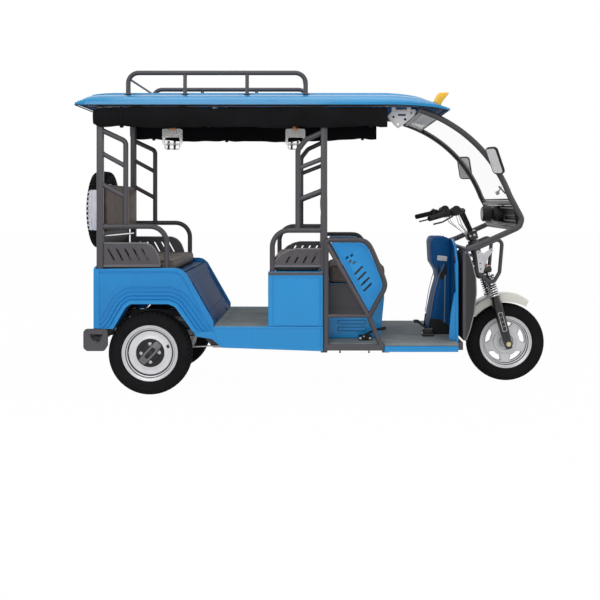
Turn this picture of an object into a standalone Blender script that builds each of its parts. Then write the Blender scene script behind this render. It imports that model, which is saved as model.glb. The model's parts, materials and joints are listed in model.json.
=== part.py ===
"""Electric rickshaw: a three-wheeled passenger vehicle, as separate pieces at real size.

Frame: +X is forward, +Y is the vehicle's left, +Z is up, and the origin is on the ground
under the middle of the vehicle. Every size is in metres.
"""
import math

import bmesh
import bpy
from mathutils import Matrix, Vector

# Clearances
GAP = 0.0003            # between two pieces that rest on each other
RUN_GAP = 0.008         # between a turning piece and its neighbour

# Body: width, sheet thickness and heights
BODY_HALF = 0.490
SHEET = 0.012
DRIVER_FLOOR_TOP = 0.313
PASSENGER_FLOOR_TOP = 0.410
SEAT_DECK_TOP = 0.725
SIDE_PANEL_TOP = 0.755
CENTRE_BOX_TOP = 0.732
BACK_PANEL_LOW = 0.398
BACK_PANEL_TOP = 0.985
APRON_TOP = 0.840
SKIRT_LOW = 0.266

# Posts and tubes of the body
POST_INSET = 0.040      # from the body's side to the middle of a post
POST_RADIUS = 0.0195
TUBE_RADIUS = 0.0158
RUNG_RADIUS = 0.0145
GUARD_RADIUS = 0.0148
HOOP_BEND = 0.100
TUBE_SIDES = 8
POST_Y = BODY_HALF - POST_INSET
POST_OUTER = POST_Y + POST_RADIUS + GAP
POST_INNER = POST_Y - POST_RADIUS - GAP

# Places along the vehicle
REAR_POST_X = -1.2645
CENTRE_POST_X = 0.0568
RAIL_FRONT_X = 0.890
REAR_END_X = REAR_POST_X - POST_RADIUS - GAP
REAR_AXLE_X = -0.973
FRONT_AXLE_X = 1.2195
KICK_UP_X = -0.600
KICK_UP_RUN = 0.100
PASSENGER_FLOOR_REAR = -0.592
CENTRE_BOX_REAR = -0.272

# Wheels and tyres
TYRE_RADIUS = 0.2475
TYRE_HALF_WIDTH = 0.050
TYRE_SEAT_RADIUS = 0.1655
TYRE_SEAT_HALF = 0.036
RIM_BARREL = 0.014
RIM_DISC_HALF = 0.008
HUB_RADIUS = 0.042
HUB_HALF = 0.030
AXLE_BORE = 0.0135
AXLE_PIN = 0.0128
WHEEL_SIDES = 32
WHEEL_INSET = 0.080     # from the body's side to the middle of a rear wheel
REAR_WHEEL_Y = BODY_HALF - WHEEL_INSET
DRUM_RADIUS = 0.088
DRUM_WIDTH = 0.026

# Ladder frame
RAIL_INSET = 0.140      # from the middle of a rear wheel to the middle of a rail
RAIL_Y = REAR_WHEEL_Y - RAIL_INSET
RAIL_WIDTH = 0.040
RAIL_HEIGHT = 0.045
REAR_RAIL_TOP = 0.420
CROSS_BAR = 0.045
RAIL_TOP = DRIVER_FLOOR_TOP - SHEET - GAP
RAIL_LOW = RAIL_TOP - RAIL_HEIGHT
REAR_RAIL_LOW = REAR_RAIL_TOP - RAIL_HEIGHT
PASSENGER_FLOOR_LOW = PASSENGER_FLOOR_TOP - SHEET
PANEL_INNER = BODY_HALF - SHEET

# Steering
RAKE = math.radians(15.5)
FORK_OFFSET = 0.0236
AXLE_DROP = FORK_OFFSET * math.tan(RAKE)
FORK_LEG_Y = 0.103
FORK_LEG_RADIUS = 0.026
SPRING_RADIUS = 0.031
STEM_RADIUS = 0.017
HEAD_BORE = 0.0225
HEAD_STEM = 0.0215
HEAD_RADIUS = 0.032
HEAD_LOW = 0.505
HEAD_HIGH = 0.672
HEAD_POST_Y = 0.120
HEAD_POST_SIZE = 0.028
HEAD_POST_TOP = 0.800
NOSE_GUARD_Y = 0.165
NOSE_GUARD_RADIUS = 0.012
BAR_GRIP = (0.693, 0.350, 1.042)     # left end of the handlebar
BAR_SWEEP = (0.850, 0.255, 1.082)
BAR_RISE = (0.938, 0.120, 1.086)
FENDER_RADIUS = 0.315
FENDER_DEPTH = 0.053
FENDER_WALL = 0.004
FENDER_FROM, FENDER_TO = 62, 140     # degrees round the axle, up from the front
FENDER_STEPS = 9

# Roof and rack
ROOF_OVERHANG = 0.055   # from the middle of a post to the roof's edge
ROOF_HALF = POST_Y + ROOF_OVERHANG
ROOF_REAR_X = REAR_POST_X - 0.144
ROOF_FRONT_X = 0.797
ROOF_RIM_Z = 1.712
ROOF_RIM_HEIGHT = 0.014
ROOF_SKIN = 0.008
ROOF_RAIL_Z = 1.718
ROOF_RAIL_RADIUS = 0.0125
CROWN_HALF = ROOF_HALF - 0.065
ROOF_VISOR_STATION = 4
BOW_X = (REAR_POST_X + 0.0395, KICK_UP_X, CENTRE_POST_X, CENTRE_POST_X + 0.3782)
BOW_LOW = ROOF_RAIL_Z - ROOF_RAIL_RADIUS
RACK_INSET = 0.125      # from the roof's edge to a rail of the rack
RACK_Y = ROOF_HALF - RACK_INSET
RACK_RISE = 0.132       # from the roof up to a rail of the rack
RACK_RADIUS = 0.014

# Front screen: both ends of its arc as (x, z), and the arc's radius
SCREEN_TOP = (0.6139, 1.6865)
SCREEN_FOOT = (1.1520, 1.1811)
SCREEN_RADIUS = 0.836
SCREEN_TUBE = 0.0175
SCREEN_SHEET = 0.005
SCREEN_STEPS = 9
LAMP_Z = 1.066
LAMP_RADIUS = 0.050

# Leg shield
SHIELD_HALF = POST_Y - 0.070
APRON_HALF = SHIELD_HALF + 0.020
TUNNEL_HALF = 0.130

# Seats
REAR_SEAT_HEIGHT = 0.080
CENTRE_SEAT_HEIGHT = 0.095
DRIVER_BASE_TOP = 0.647
DRIVER_SEAT_HEIGHT = 0.120
DRIVER_SEAT_HALF = 0.300
CUSHION_EDGE = 0.018

# Spare wheel
SPARE_X = REAR_END_X - 0.0727
SPARE_Z = 1.092

# name: (red, green, blue), roughness, metallic
FINISHES = {
    "body_blue": ((0.03, 0.26, 0.64), 0.30, 0.2),
    "frame_grey": ((0.065, 0.060, 0.070), 0.45, 0.3),
    "floor_mat": ((0.20, 0.24, 0.24), 0.80, 0.0),
    "seat_vinyl": ((0.13, 0.10, 0.08), 0.55, 0.0),
    "curtain_cloth": ((0.012, 0.012, 0.013), 0.85, 0.0),
    "tyre_rubber": ((0.018, 0.018, 0.019), 0.80, 0.0),
    "rim_silver": ((0.58, 0.58, 0.60), 0.35, 0.8),
    "black_plastic": ((0.015, 0.015, 0.016), 0.50, 0.0),
    "clear_sheet": ((0.80, 0.85, 0.85), 0.05, 0.0),
    "fender_cream": ((0.76, 0.75, 0.68), 0.35, 0.0),
    "amber_lens": ((0.95, 0.45, 0.02), 0.20, 0.0),
    "fork_black": ((0.02, 0.02, 0.022), 0.35, 0.5),
    "tie_orange": ((0.70, 0.22, 0.04), 0.60, 0.0),
}


def clear_scene():
    """Remove every object of the open file."""
    for item in list(bpy.data.objects):
        bpy.data.objects.remove(item, do_unlink=True)


def finish_material(name):
    """Return the material of a finish, made on its first use."""
    if name in bpy.data.materials:
        return bpy.data.materials[name]
    colour, roughness, metallic = FINISHES[name]
    material = bpy.data.materials.new(name)
    material.use_nodes = True
    shader = material.node_tree.nodes["Principled BSDF"]
    shader.inputs["Base Color"].default_value = (*colour, 1.0)
    shader.inputs["Roughness"].default_value = roughness
    shader.inputs["Metallic"].default_value = metallic
    return material


def shape(points, faces):
    """Return a new object with an outward-facing mesh."""
    mesh = bpy.data.meshes.new("shape")
    mesh.from_pydata([tuple(p) for p in points], [], faces)
    work = bmesh.new()
    work.from_mesh(mesh)
    bmesh.ops.recalc_face_normals(work, faces=work.faces)
    work.to_mesh(mesh)
    work.free()
    item = bpy.data.objects.new("shape", mesh)
    bpy.context.scene.collection.objects.link(item)
    return item


def loft(sections):
    """Join closed sections of equal point counts and cap both ends."""
    count = len(sections[0])
    points = [p for section in sections for p in section]
    faces = [list(range(count)), [(len(sections) - 1) * count + i for i in range(count)]]
    for row in range(len(sections) - 1):
        for i in range(count):
            j = (i + 1) % count
            faces.append([row * count + i, row * count + j,
                          (row + 1) * count + j, (row + 1) * count + i])
    return shape(points, faces)


def prism(outline, low, high, along="Y"):
    """Extrude an (x, z) outline along Y, or a (y, z) outline along X, from low to high."""
    if along == "Y":
        return loft([[(a, t, b) for a, b in outline] for t in (low, high)])
    return loft([[(t, a, b) for a, b in outline] for t in (low, high)])


def block(x, y, z):
    """Return a box between the low and high values of each axis."""
    return prism([(x[0], z[0]), (x[1], z[0]), (x[1], z[1]), (x[0], z[1])], y[0], y[1])


def turned(profile, centre, axis, sides):
    """Revolve a closed (axial, radial) profile around an axis through centre."""
    turn = Vector((0, 0, 1)).rotation_difference(Vector(axis)).to_matrix()
    middle = Vector(centre)
    rings = []
    for i in range(sides):
        angle = 2 * math.pi * i / sides
        rings.append([middle + turn @ Vector((r * math.cos(angle), r * math.sin(angle), a))
                      for a, r in profile])
    count = len(profile)
    faces = []
    for i in range(sides):
        j = (i + 1) % sides
        for k in range(count):
            m = (k + 1) % count
            faces.append([i * count + k, j * count + k, j * count + m, i * count + m])
    return shape([p for ring in rings for p in ring], faces)


def rod(start, end, radius, sides=TUBE_SIDES, end_radius=None):
    """Return a straight round bar, or a cone with an end radius of its own."""
    start, end = Vector(start), Vector(end)
    turn = (end - start).to_track_quat("Z", "Y").to_matrix()
    far = radius if end_radius is None else end_radius
    sections = []
    for middle, size in ((start, radius), (end, far)):
        sections.append([middle + turn @ Vector((size * math.cos(2 * math.pi * i / sides),
                                                 size * math.sin(2 * math.pi * i / sides), 0))
                         for i in range(sides)])
    return loft(sections)


def rounded_path(points, bend, steps=3):
    """Replace each inner corner of a path with an arc of the bend radius."""
    points = [Vector(p) for p in points]
    path = [points[0]]
    for before, corner, after in zip(points, points[1:], points[2:]):
        to_before, to_after = (before - corner).normalized(), (after - corner).normalized()
        half = to_before.angle(to_after) / 2
        reach = min(bend / math.tan(half), 0.45 * (before - corner).length,
                    0.45 * (after - corner).length)
        radius = reach * math.tan(half)
        middle = corner + (to_before + to_after).normalized() * radius / math.sin(half)
        first, last = corner + to_before * reach - middle, corner + to_after * reach - middle
        for i in range(steps + 1):
            path.append(middle + radius * first.slerp(last, i / steps))
    path.append(points[-1])
    return path


def tube(points, radius, sides=TUBE_SIDES, bend=0.0, steps=3):
    """Sweep a round section along a path, mitred at its corners."""
    path = rounded_path(points, bend, steps) if bend else [Vector(p) for p in points]
    runs = [(b - a).normalized() for a, b in zip(path, path[1:])]
    across = Vector((0, 1, 0)) if abs(runs[0].y) < 0.7 else Vector((1, 0, 0))
    side = (across - runs[0] * across.dot(runs[0])).normalized()
    sections = []
    for i, middle in enumerate(path):
        before, after = runs[max(i - 1, 0)], runs[min(i, len(runs) - 1)]
        cut = (before + after).normalized()
        side = (side - before * side.dot(before)).normalized()
        up = before.cross(side)
        ring = []
        for k in range(sides):
            angle = 2 * math.pi * (k + 0.5) / sides
            spoke = side * radius * math.cos(angle) + up * radius * math.sin(angle)
            ring.append(middle + spoke - before * spoke.dot(cut) / before.dot(cut))
        sections.append(ring)
    return loft(sections)


def ring_tube(points, radius, sides=6):
    """Sweep a round section along a closed path in one vertical plane along X."""
    path = [Vector(p) for p in points]
    count = len(path)
    across = Vector((0, 1, 0))
    sections = []
    for i, middle in enumerate(path):
        before = (middle - path[i - 1]).normalized()
        after = (path[(i + 1) % count] - middle).normalized()
        cut = (before + after).normalized()
        up = before.cross(across)
        ring = []
        for k in range(sides):
            angle = 2 * math.pi * k / sides
            spoke = across * radius * math.cos(angle) + up * radius * math.sin(angle)
            ring.append(middle + spoke - before * spoke.dot(cut) / before.dot(cut))
        sections.append(ring)
    faces = []
    for row in range(count):
        for k in range(sides):
            m, after = (k + 1) % sides, (row + 1) % count
            faces.append([row * sides + k, row * sides + m, after * sides + m, after * sides + k])
    return shape([p for ring in sections for p in ring], faces)


def combine(base, tool, operation):
    """Apply a Boolean of two closed shapes and drop the tool."""
    modifier = base.modifiers.new("combine", "BOOLEAN")
    modifier.operation = operation
    modifier.solver = "EXACT"
    modifier.object = tool
    depsgraph = bpy.context.evaluated_depsgraph_get()
    mesh = bpy.data.meshes.new_from_object(base.evaluated_get(depsgraph))
    base.modifiers.clear()
    base.data = mesh
    bpy.data.objects.remove(tool, do_unlink=True)


def piece(name, finish, shapes, cuts=()):
    """Join shapes into one solid, take the cuts out of it, name it and give it its finish."""
    base = shapes[0]
    for extra in shapes[1:]:
        combine(base, extra, "UNION")
    for tool in cuts:
        combine(base, tool, "DIFFERENCE")
    base.name = name
    base.data.name = name
    base.data.materials.clear()
    base.data.materials.append(finish_material(finish))
    base.data.shade_smooth()
    base.data.set_sharp_from_angle(angle=math.radians(35))
    return base


def both_sides():
    """Yield the name and the sign of Y of each side."""
    yield "left", 1.0
    yield "right", -1.0


def span(sign, low, high):
    """Return a Y range on the side of the sign, low before high."""
    return tuple(sorted((sign * low, sign * high)))


def inset(outline, distance):
    """Move the edges of a convex outline inward by a distance."""
    count = len(outline)
    centre = Vector((sum(p[0] for p in outline) / count, sum(p[1] for p in outline) / count))
    lines = []
    for i in range(count):
        a, b = Vector(outline[i]), Vector(outline[(i + 1) % count])
        normal = Vector((a.y - b.y, b.x - a.x)).normalized()
        if (centre - a).dot(normal) < 0:
            normal = -normal
        lines.append((normal, normal.dot(a) + distance))
    corners = []
    for i in range(count):
        (n1, d1), (n2, d2) = lines[i - 1], lines[i]
        det = n1.x * n2.y - n1.y * n2.x
        corners.append(((d1 * n2.y - d2 * n1.y) / det, (n1.x * d2 - n2.x * d1) / det))
    return corners


def steer_point(forward, across, up):
    """Return a point given in the raked frame of the steering axis."""
    foot_x = FRONT_AXLE_X - FORK_OFFSET * math.cos(RAKE) - AXLE_DROP * math.sin(RAKE)
    return Vector((foot_x + forward * math.cos(RAKE) - up * math.sin(RAKE), across,
                   TYRE_RADIUS + forward * math.sin(RAKE) + up * math.cos(RAKE)))


def steer_block(forward, across, up):
    """Return a box whose ranges are given in the raked frame."""
    corners = [(forward[0], up[0]), (forward[1], up[0]), (forward[1], up[1]), (forward[0], up[1])]
    return loft([[steer_point(f, y, u) for f, u in corners] for y in across])


def make_chassis_frame():
    """Ladder frame: two kicked-up rails and their cross bars."""
    rail_y = (RAIL_Y - RAIL_WIDTH / 2, RAIL_Y + RAIL_WIDTH / 2)
    top_x, slant = KICK_UP_X - KICK_UP_RUN, 0.020
    rail = [(RAIL_FRONT_X, RAIL_LOW), (RAIL_FRONT_X, RAIL_TOP), (KICK_UP_X, RAIL_TOP),
            (top_x, REAR_RAIL_TOP), (REAR_END_X, REAR_RAIL_TOP), (REAR_END_X, REAR_RAIL_LOW),
            (top_x - slant, REAR_RAIL_LOW), (KICK_UP_X - slant, RAIL_LOW)]
    shapes = [prism(rail, *span(1, *rail_y)), prism(rail, *span(-1, *rail_y))]
    wide, narrow = POST_Y + 0.0175, rail_y[1]
    bars = [  # x low, x high, half width, z low, z high
        (RAIL_FRONT_X - CROSS_BAR, RAIL_FRONT_X, SHIELD_HALF, RAIL_LOW, RAIL_TOP),
        (0.40, 0.44, wide, RAIL_LOW, RAIL_TOP),
        (CENTRE_POST_X - POST_RADIUS, CENTRE_POST_X + POST_RADIUS, wide, RAIL_LOW, RAIL_TOP),
        (-0.050, 0.000, narrow, RAIL_LOW, PASSENGER_FLOOR_LOW - GAP),
        (-0.580, -0.540, narrow, RAIL_LOW, PASSENGER_FLOOR_LOW - GAP),
        (top_x - 0.060, top_x - 0.020, narrow, REAR_RAIL_LOW, REAR_RAIL_TOP),
        (REAR_END_X, REAR_END_X + 0.040, wide, REAR_RAIL_LOW, REAR_RAIL_TOP),
    ]
    for low_x, high_x, half, low_z, high_z in bars:
        shapes.append(block((low_x, high_x), (-half, half), (low_z, high_z)))
    piece("chassis_frame", "frame_grey", shapes)


def make_steering_head():
    """Two front posts on the cross bar, the head tube between them and the nose guard."""
    shapes = [rod(steer_point(0, 0, HEAD_LOW), steer_point(0, 0, HEAD_HIGH), HEAD_RADIUS, 12)]
    half, strut = HEAD_POST_SIZE / 2, 0.014
    middle_x = RAIL_FRONT_X - half
    for _, sign in both_sides():
        shapes.append(block((RAIL_FRONT_X - HEAD_POST_SIZE, RAIL_FRONT_X),
                            span(sign, HEAD_POST_Y - half, HEAD_POST_Y + half),
                            (RAIL_TOP + GAP, HEAD_POST_TOP)))
        for below_top, head_up in ((0.100, HEAD_LOW + 0.030), (0.015, HEAD_HIGH - 0.040)):
            shapes.append(tube([(middle_x, sign * HEAD_POST_Y, HEAD_POST_TOP - below_top),
                                steer_point(-0.025, sign * 0.013, head_up)], strut, 6))
    # x and z from the front end of the rails and the top of the posts
    guard = [(0.113, 0.048), (0.282, 0.123), (0.263, -0.096), (0.219, -0.171), (0.119, -0.096)]
    for _, sign in both_sides():
        shapes.append(ring_tube([(RAIL_FRONT_X + x, sign * NOSE_GUARD_Y, HEAD_POST_TOP + z)
                                 for x, z in guard], NOSE_GUARD_RADIUS))
    bar_x = RAIL_FRONT_X + guard[0][0] + 0.001
    shapes.append(rod((bar_x, -NOSE_GUARD_Y, HEAD_POST_TOP), (bar_x, NOSE_GUARD_Y, HEAD_POST_TOP),
                      NOSE_GUARD_RADIUS * 0.8, 6))
    bore = rod(steer_point(0, 0, HEAD_LOW - 0.02), steer_point(0, 0, HEAD_HIGH + 0.02),
               HEAD_BORE, 12)
    piece("steering_head", "frame_grey", shapes, [bore])


def make_floors():
    """Passenger floor with its skirts and front step, and the lower driver floor."""
    skirt_x = CENTRE_POST_X - 0.0053
    skirt = [(PASSENGER_FLOOR_REAR, PASSENGER_FLOOR_TOP), (skirt_x, PASSENGER_FLOOR_TOP - 0.002),
             (skirt_x, SKIRT_LOW), (PASSENGER_FLOOR_REAR + 0.048, SKIRT_LOW + 0.021),
             (PASSENGER_FLOOR_REAR, PASSENGER_FLOOR_TOP - 0.031)]
    front_x = CENTRE_POST_X - POST_RADIUS - GAP
    shapes = [block((PASSENGER_FLOOR_REAR, front_x), (-BODY_HALF, BODY_HALF),
                    (PASSENGER_FLOOR_LOW, PASSENGER_FLOOR_TOP)),
              block((front_x - SHEET, front_x), (-BODY_HALF, BODY_HALF),
                    (RAIL_TOP + GAP, PASSENGER_FLOOR_TOP))]
    for _, sign in both_sides():
        shapes.append(prism(skirt, *span(sign, PANEL_INNER, BODY_HALF)))
    piece("passenger_floor", "body_blue", shapes)
    rear_x, front_x = CENTRE_POST_X + POST_RADIUS + GAP, RAIL_FRONT_X - CROSS_BAR - GAP
    half = POST_Y + POST_RADIUS
    shapes = [block((rear_x, front_x), (-half, half), (RAIL_TOP + GAP, DRIVER_FLOOR_TOP))]
    for _, sign in both_sides():
        shapes.append(block((0.4105, front_x), span(sign, half - 0.001, BODY_HALF),
                            (SKIRT_LOW - 0.004, DRIVER_FLOOR_TOP)))
    piece("driver_floor", "floor_mat", shapes)


def side_panel_outline():
    """Return the rear side panel's outline with its stepped wheel arch."""
    axle, top, low = REAR_AXLE_X, SIDE_PANEL_TOP, PASSENGER_FLOOR_TOP - 0.030
    arch_top = TYRE_RADIUS * 2 + 0.049
    return [(REAR_END_X - SHEET, BACK_PANEL_LOW), (REAR_END_X - SHEET, top - 0.006),
            (axle + 0.143, top), (axle + 0.188, top - 0.007), (axle + 0.221, top - 0.033),
            (PASSENGER_FLOOR_REAR - GAP, low + 0.060), (PASSENGER_FLOOR_REAR - GAP, low),
            (axle + 0.262, low), (axle + 0.157, arch_top - 0.017), (axle + 0.116, arch_top),
            (axle - 0.107, arch_top), (axle - 0.136, arch_top - 0.023),
            (axle - 0.207, BACK_PANEL_LOW)]


def make_rear_body():
    """Rear side panels with their arches, and the seat tub between them."""
    for side, sign in both_sides():
        piece(f"rear_side_panel_{side}", "body_blue",
              [prism(side_panel_outline(), *span(sign, PANEL_INNER, BODY_HALF))])
    half = PANEL_INNER - GAP
    deck_x = (REAR_POST_X + POST_RADIUS + GAP, REAR_AXLE_X + 0.208)
    riser_x, riser_low = PASSENGER_FLOOR_REAR - GAP, RAIL_TOP + 0.06
    riser = [(deck_x[1] - SHEET, SEAT_DECK_TOP), (deck_x[1], SEAT_DECK_TOP),
             (riser_x, REAR_RAIL_TOP - 0.01), (riser_x, riser_low),
             (riser_x - SHEET, riser_low), (riser_x - SHEET, REAR_RAIL_TOP - 0.01)]
    rail_y = (RAIL_Y - RAIL_WIDTH / 2 - GAP, RAIL_Y + RAIL_WIDTH / 2 + GAP)
    cuts = [block((KICK_UP_X - KICK_UP_RUN - SHEET, riser_x + SHEET), span(sign, *rail_y),
                  (RAIL_TOP, REAR_RAIL_TOP + GAP)) for _, sign in both_sides()]
    deck = block(deck_x, (-half, half), (SEAT_DECK_TOP - SHEET, SEAT_DECK_TOP))
    piece("rear_tub", "body_blue", [prism(riser, -half, half), deck], cuts)
    back = block((REAR_END_X - SHEET, REAR_END_X - GAP), (-half, half),
                 (BACK_PANEL_LOW, BACK_PANEL_TOP))
    shelf = block((REAR_END_X - 2 * GAP, deck_x[0] - GAP), (-POST_Y + 0.04, POST_Y - 0.04),
                  (SEAT_DECK_TOP - SHEET, SEAT_DECK_TOP))
    piece("back_panel", "body_blue", [back, shelf])


def make_seats():
    """Seat box, battery, seat base, cushions and backrests."""
    top, front_x = CENTRE_BOX_TOP, CENTRE_POST_X - POST_RADIUS - GAP
    half, wall = BODY_HALF - 0.008, SHEET + 0.006
    floor = PASSENGER_FLOOR_TOP + GAP
    shapes = [block((CENTRE_BOX_REAR, front_x), (-half, half), (floor, top))]
    for _, sign in both_sides():
        shapes.append(block((CENTRE_BOX_REAR, CENTRE_POST_X - 0.0053),
                            span(sign, POST_OUTER + 0.0027, half), (floor, top)))
    inner = block((CENTRE_BOX_REAR + SHEET, front_x - SHEET), (wall - half, half - wall),
                  (floor - 0.02, top - SHEET))
    piece("centre_seat_box", "body_blue", shapes, [inner])
    battery_room, battery_half = 0.040, half - 0.122
    piece("battery_pack", "black_plastic",
          [block((CENTRE_BOX_REAR + battery_room, front_x - battery_room),
                 (-battery_half, battery_half), (floor, top - 0.072))])
    seat_half = POST_Y - TUBE_RADIUS - 0.004
    back_half = (POST_RADIUS * 2 + 0.003) / 2
    cushions = [  # name, x low, x high, half width, z low, z high
        ("rear_bench_cushion", REAR_POST_X + 0.0495, REAR_AXLE_X + 0.136, seat_half,
         SEAT_DECK_TOP + GAP, SEAT_DECK_TOP + REAR_SEAT_HEIGHT),
        ("centre_bench_cushion", CENTRE_BOX_REAR + 0.027, front_x - 0.004, seat_half, top + GAP,
         top + CENTRE_SEAT_HEIGHT),
        ("centre_backrest", CENTRE_POST_X - back_half, CENTRE_POST_X + back_half, POST_INNER,
         top + 0.128, top + 0.458),
        ("driver_seat_cushion", CENTRE_POST_X + 0.0292, CENTRE_POST_X + 0.3732, DRIVER_SEAT_HALF,
         DRIVER_BASE_TOP + GAP, DRIVER_BASE_TOP + DRIVER_SEAT_HEIGHT),
    ]
    for name, low_x, high_x, half_y, low_z, high_z in cushions:
        soft = min(CUSHION_EDGE, (high_x - low_x) / 4)
        outline = [(low_x, low_z), (high_x, low_z), (high_x, high_z - soft),
                   (high_x - soft, high_z), (low_x + soft, high_z), (low_x, high_z - soft)]
        piece(name, "seat_vinyl", [prism(outline, -half_y, half_y)])
    rest_x, low, high = REAR_END_X + 2 * GAP, BACK_PANEL_TOP - 0.025, BACK_PANEL_TOP + 0.265
    outline = [(rest_x, low), (rest_x + 0.0617, low), (rest_x + 0.0577, low + 0.040),
               (rest_x + 0.0457, high - 0.015), (rest_x + 0.0317, high), (rest_x, high)]
    piece("rear_backrest", "seat_vinyl", [prism(outline, -POST_INNER, POST_INNER)])
    rear_x, front_x, floor = CENTRE_POST_X + 0.0232, CENTRE_POST_X + 0.3672, DRIVER_FLOOR_TOP + GAP
    base = [(rear_x, floor), (front_x - 0.024, floor), (front_x, DRIVER_BASE_TOP - 0.087),
            (front_x, DRIVER_BASE_TOP), (rear_x, DRIVER_BASE_TOP)]
    piece("driver_seat_base", "body_blue", [prism(base, -DRIVER_SEAT_HALF, DRIVER_SEAT_HALF)])


# distance in from the roof's edge, height above the rim
ROOF_PROFILE = [(0.000, 0.000), (0.000, ROOF_RIM_HEIGHT), (0.010, 0.030), (0.035, 0.050),
                (0.065, 0.062), (0.160, 0.078), (0.170, 0.088), (0.290, 0.096), (0.300, 0.106),
                (ROOF_HALF, 0.112)]
# x, share of the height kept, drop of the rim, half width lost
ROOF_STATIONS = [(ROOF_REAR_X, 0.02, 0.000, 0.030), (ROOF_REAR_X + 0.0205, 0.40, 0.000, 0.010),
                 (ROOF_REAR_X + 0.0735, 0.88, 0.000, 0.000),
                 (ROOF_REAR_X + 0.1685, 1.00, 0.000, 0.000),
                 (ROOF_FRONT_X - 0.347, 1.00, 0.000, 0.000),
                 (ROOF_FRONT_X - 0.197, 0.86, 0.006, 0.000),
                 (ROOF_FRONT_X - 0.097, 0.52, 0.015, 0.002),
                 (ROOF_FRONT_X - 0.037, 0.18, 0.026, 0.008), (ROOF_FRONT_X, 0.02, 0.034, 0.022)]


def roof_outer():
    """Return the (y, height) points of the roof's section, from its edge to the middle."""
    return [(ROOF_HALF - inward, height) for inward, height in ROOF_PROFILE]


def roof_top(y):
    """Return the height of the roof's outer face at a distance from the middle."""
    points = roof_outer()
    for (y0, h0), (y1, h1) in zip(points[1:], points[2:]):
        if y1 <= y <= y0:
            return ROOF_RIM_Z + h0 + (h1 - h0) * (y0 - y) / (y0 - y1)
    return ROOF_RIM_Z


def roof_point(share, drop, lost, y, height):
    """Return the (y, z) of one point of the roof's outer section."""
    rim = min(height, ROOF_RIM_HEIGHT)
    return (y * (ROOF_HALF - lost) / ROOF_HALF,
            ROOF_RIM_Z - drop + rim + (height - rim) * share)


def roof_height(x, y):
    """Return the height of the roof's outer face at any place on its upper side."""
    crown = roof_top(y) - ROOF_RIM_Z
    heights = [(x0, roof_point(share, drop, lost, y, crown)[1])
               for x0, share, drop, lost in ROOF_STATIONS]
    for (x0, z0), (x1, z1) in zip(heights, heights[1:]):
        if x0 <= x <= x1:
            return z0 + (z1 - z0) * (x - x0) / (x1 - x0)
    return ROOF_RIM_Z


def roof_inner(outer):
    """Return the inner points of a roof section, a skin inside its outer points."""
    flank = 0.3
    inner = [(y - ROOF_SKIN * min(y / flank, 1.0), z - ROOF_SKIN) for y, z in outer[1:]]
    inner.insert(0, (outer[0][0] - ROOF_SKIN, outer[0][1]))
    return inner


def make_roof():
    """Roof in three shells with long steps, and the tubes and bows that carry it."""
    front = ROOF_STATIONS[ROOF_VISOR_STATION][0]
    shell_sections, visor_sections = [], []
    for number, (x, share, drop, lost) in enumerate(ROOF_STATIONS):
        outer = [roof_point(share, drop, lost, y, h) for y, h in roof_outer()]
        inner = roof_inner(outer)
        section = outer + [(-y, z) for y, z in reversed(outer[:-1])]
        section += [(-y, z) for y, z in inner] + [(y, z) for y, z in reversed(inner[:-1])]
        if number <= ROOF_VISOR_STATION:
            shell_sections.append([(x, y, z) for y, z in section])
        if number >= ROOF_VISOR_STATION:
            visor_sections.append([(max(x, front + GAP), y, z) for y, z in section])
    crown_x = (ROOF_STATIONS[3][0], front)
    opening = block((crown_x[0] - GAP, crown_x[1] + 0.1),
                    (-CROWN_HALF - GAP, CROWN_HALF + GAP), (ROOF_RIM_Z - 0.1, ROOF_RIM_Z + 0.2))
    piece("roof_shell", "body_blue", [loft(shell_sections)], [opening])
    piece("roof_visor", "body_blue", [loft(visor_sections)])
    flat = roof_inner([roof_point(1.0, 0.0, 0.0, y, h) for y, h in roof_outer()])
    top = [(y, ROOF_RIM_Z + h) for y, h in roof_outer() if y <= CROWN_HALF + GAP]
    (y0, z0), (y1, z1) = flat[3], flat[4]
    under = [(CROWN_HALF, z0 + (z1 - z0) * (y0 - CROWN_HALF) / (y0 - y1))] + flat[4:]
    half = top + [(-y, z) for y, z in reversed(top[:-1])]
    half += [(-y, z) for y, z in under] + [(y, z) for y, z in reversed(under[:-1])]
    piece("roof_crown", "body_blue", [prism(half, crown_x[0], crown_x[1], "X")])
    crown = [(y, z - 3 * GAP) for y, z in flat[4:]]
    bow = crown + [(-y, z) for y, z in reversed(crown[:-1])]
    bow += [(-crown[0][0], BOW_LOW), (crown[0][0], BOW_LOW)]
    bow_half, tie_radius = 0.010, 0.009
    shapes = []
    for _, sign in both_sides():
        shapes.append(rod((ROOF_REAR_X + 0.0685, sign * POST_Y, ROOF_RAIL_Z),
                          (SCREEN_TOP[0] + 0.0081, sign * POST_Y, ROOF_RAIL_Z), ROOF_RAIL_RADIUS))
    for x in BOW_X:
        shapes.append(prism(bow, x - bow_half, x + bow_half, "X"))
        shapes.append(rod((x, -POST_Y, ROOF_RAIL_Z), (x, POST_Y, ROOF_RAIL_Z), tie_radius, 6))
    piece("roof_frame", "frame_grey", shapes)
    make_rack()


def make_rack():
    """Luggage rack: two bent rails, four inner posts and two cross rods."""
    seat = roof_top(RACK_Y - RACK_RADIUS) + 2 * GAP
    top = roof_top(RACK_Y) + RACK_RISE
    rear_x, front_x, bend, tie = BOW_X[0] + 0.110, CENTRE_POST_X - 0.1098, 0.095, 0.007
    shapes = []
    for _, sign in both_sides():
        y = sign * RACK_Y
        shapes.append(tube([(rear_x, y, seat), (rear_x, y, top), (front_x, y, top),
                            (front_x, y, seat)], RACK_RADIUS, 8, bend))
        for share in (0.32, 0.67):
            x = rear_x + share * (front_x - rear_x)
            shapes.append(rod((x, y, seat), (x, y, top), RACK_RADIUS * 0.8, 8))
    for x in (rear_x + 0.012, front_x - 0.012):
        shapes.append(rod((x, -RACK_Y, top - 0.040), (x, RACK_Y, top - 0.040), tie, 6))
    piece("roof_rack", "frame_grey", shapes)


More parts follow.
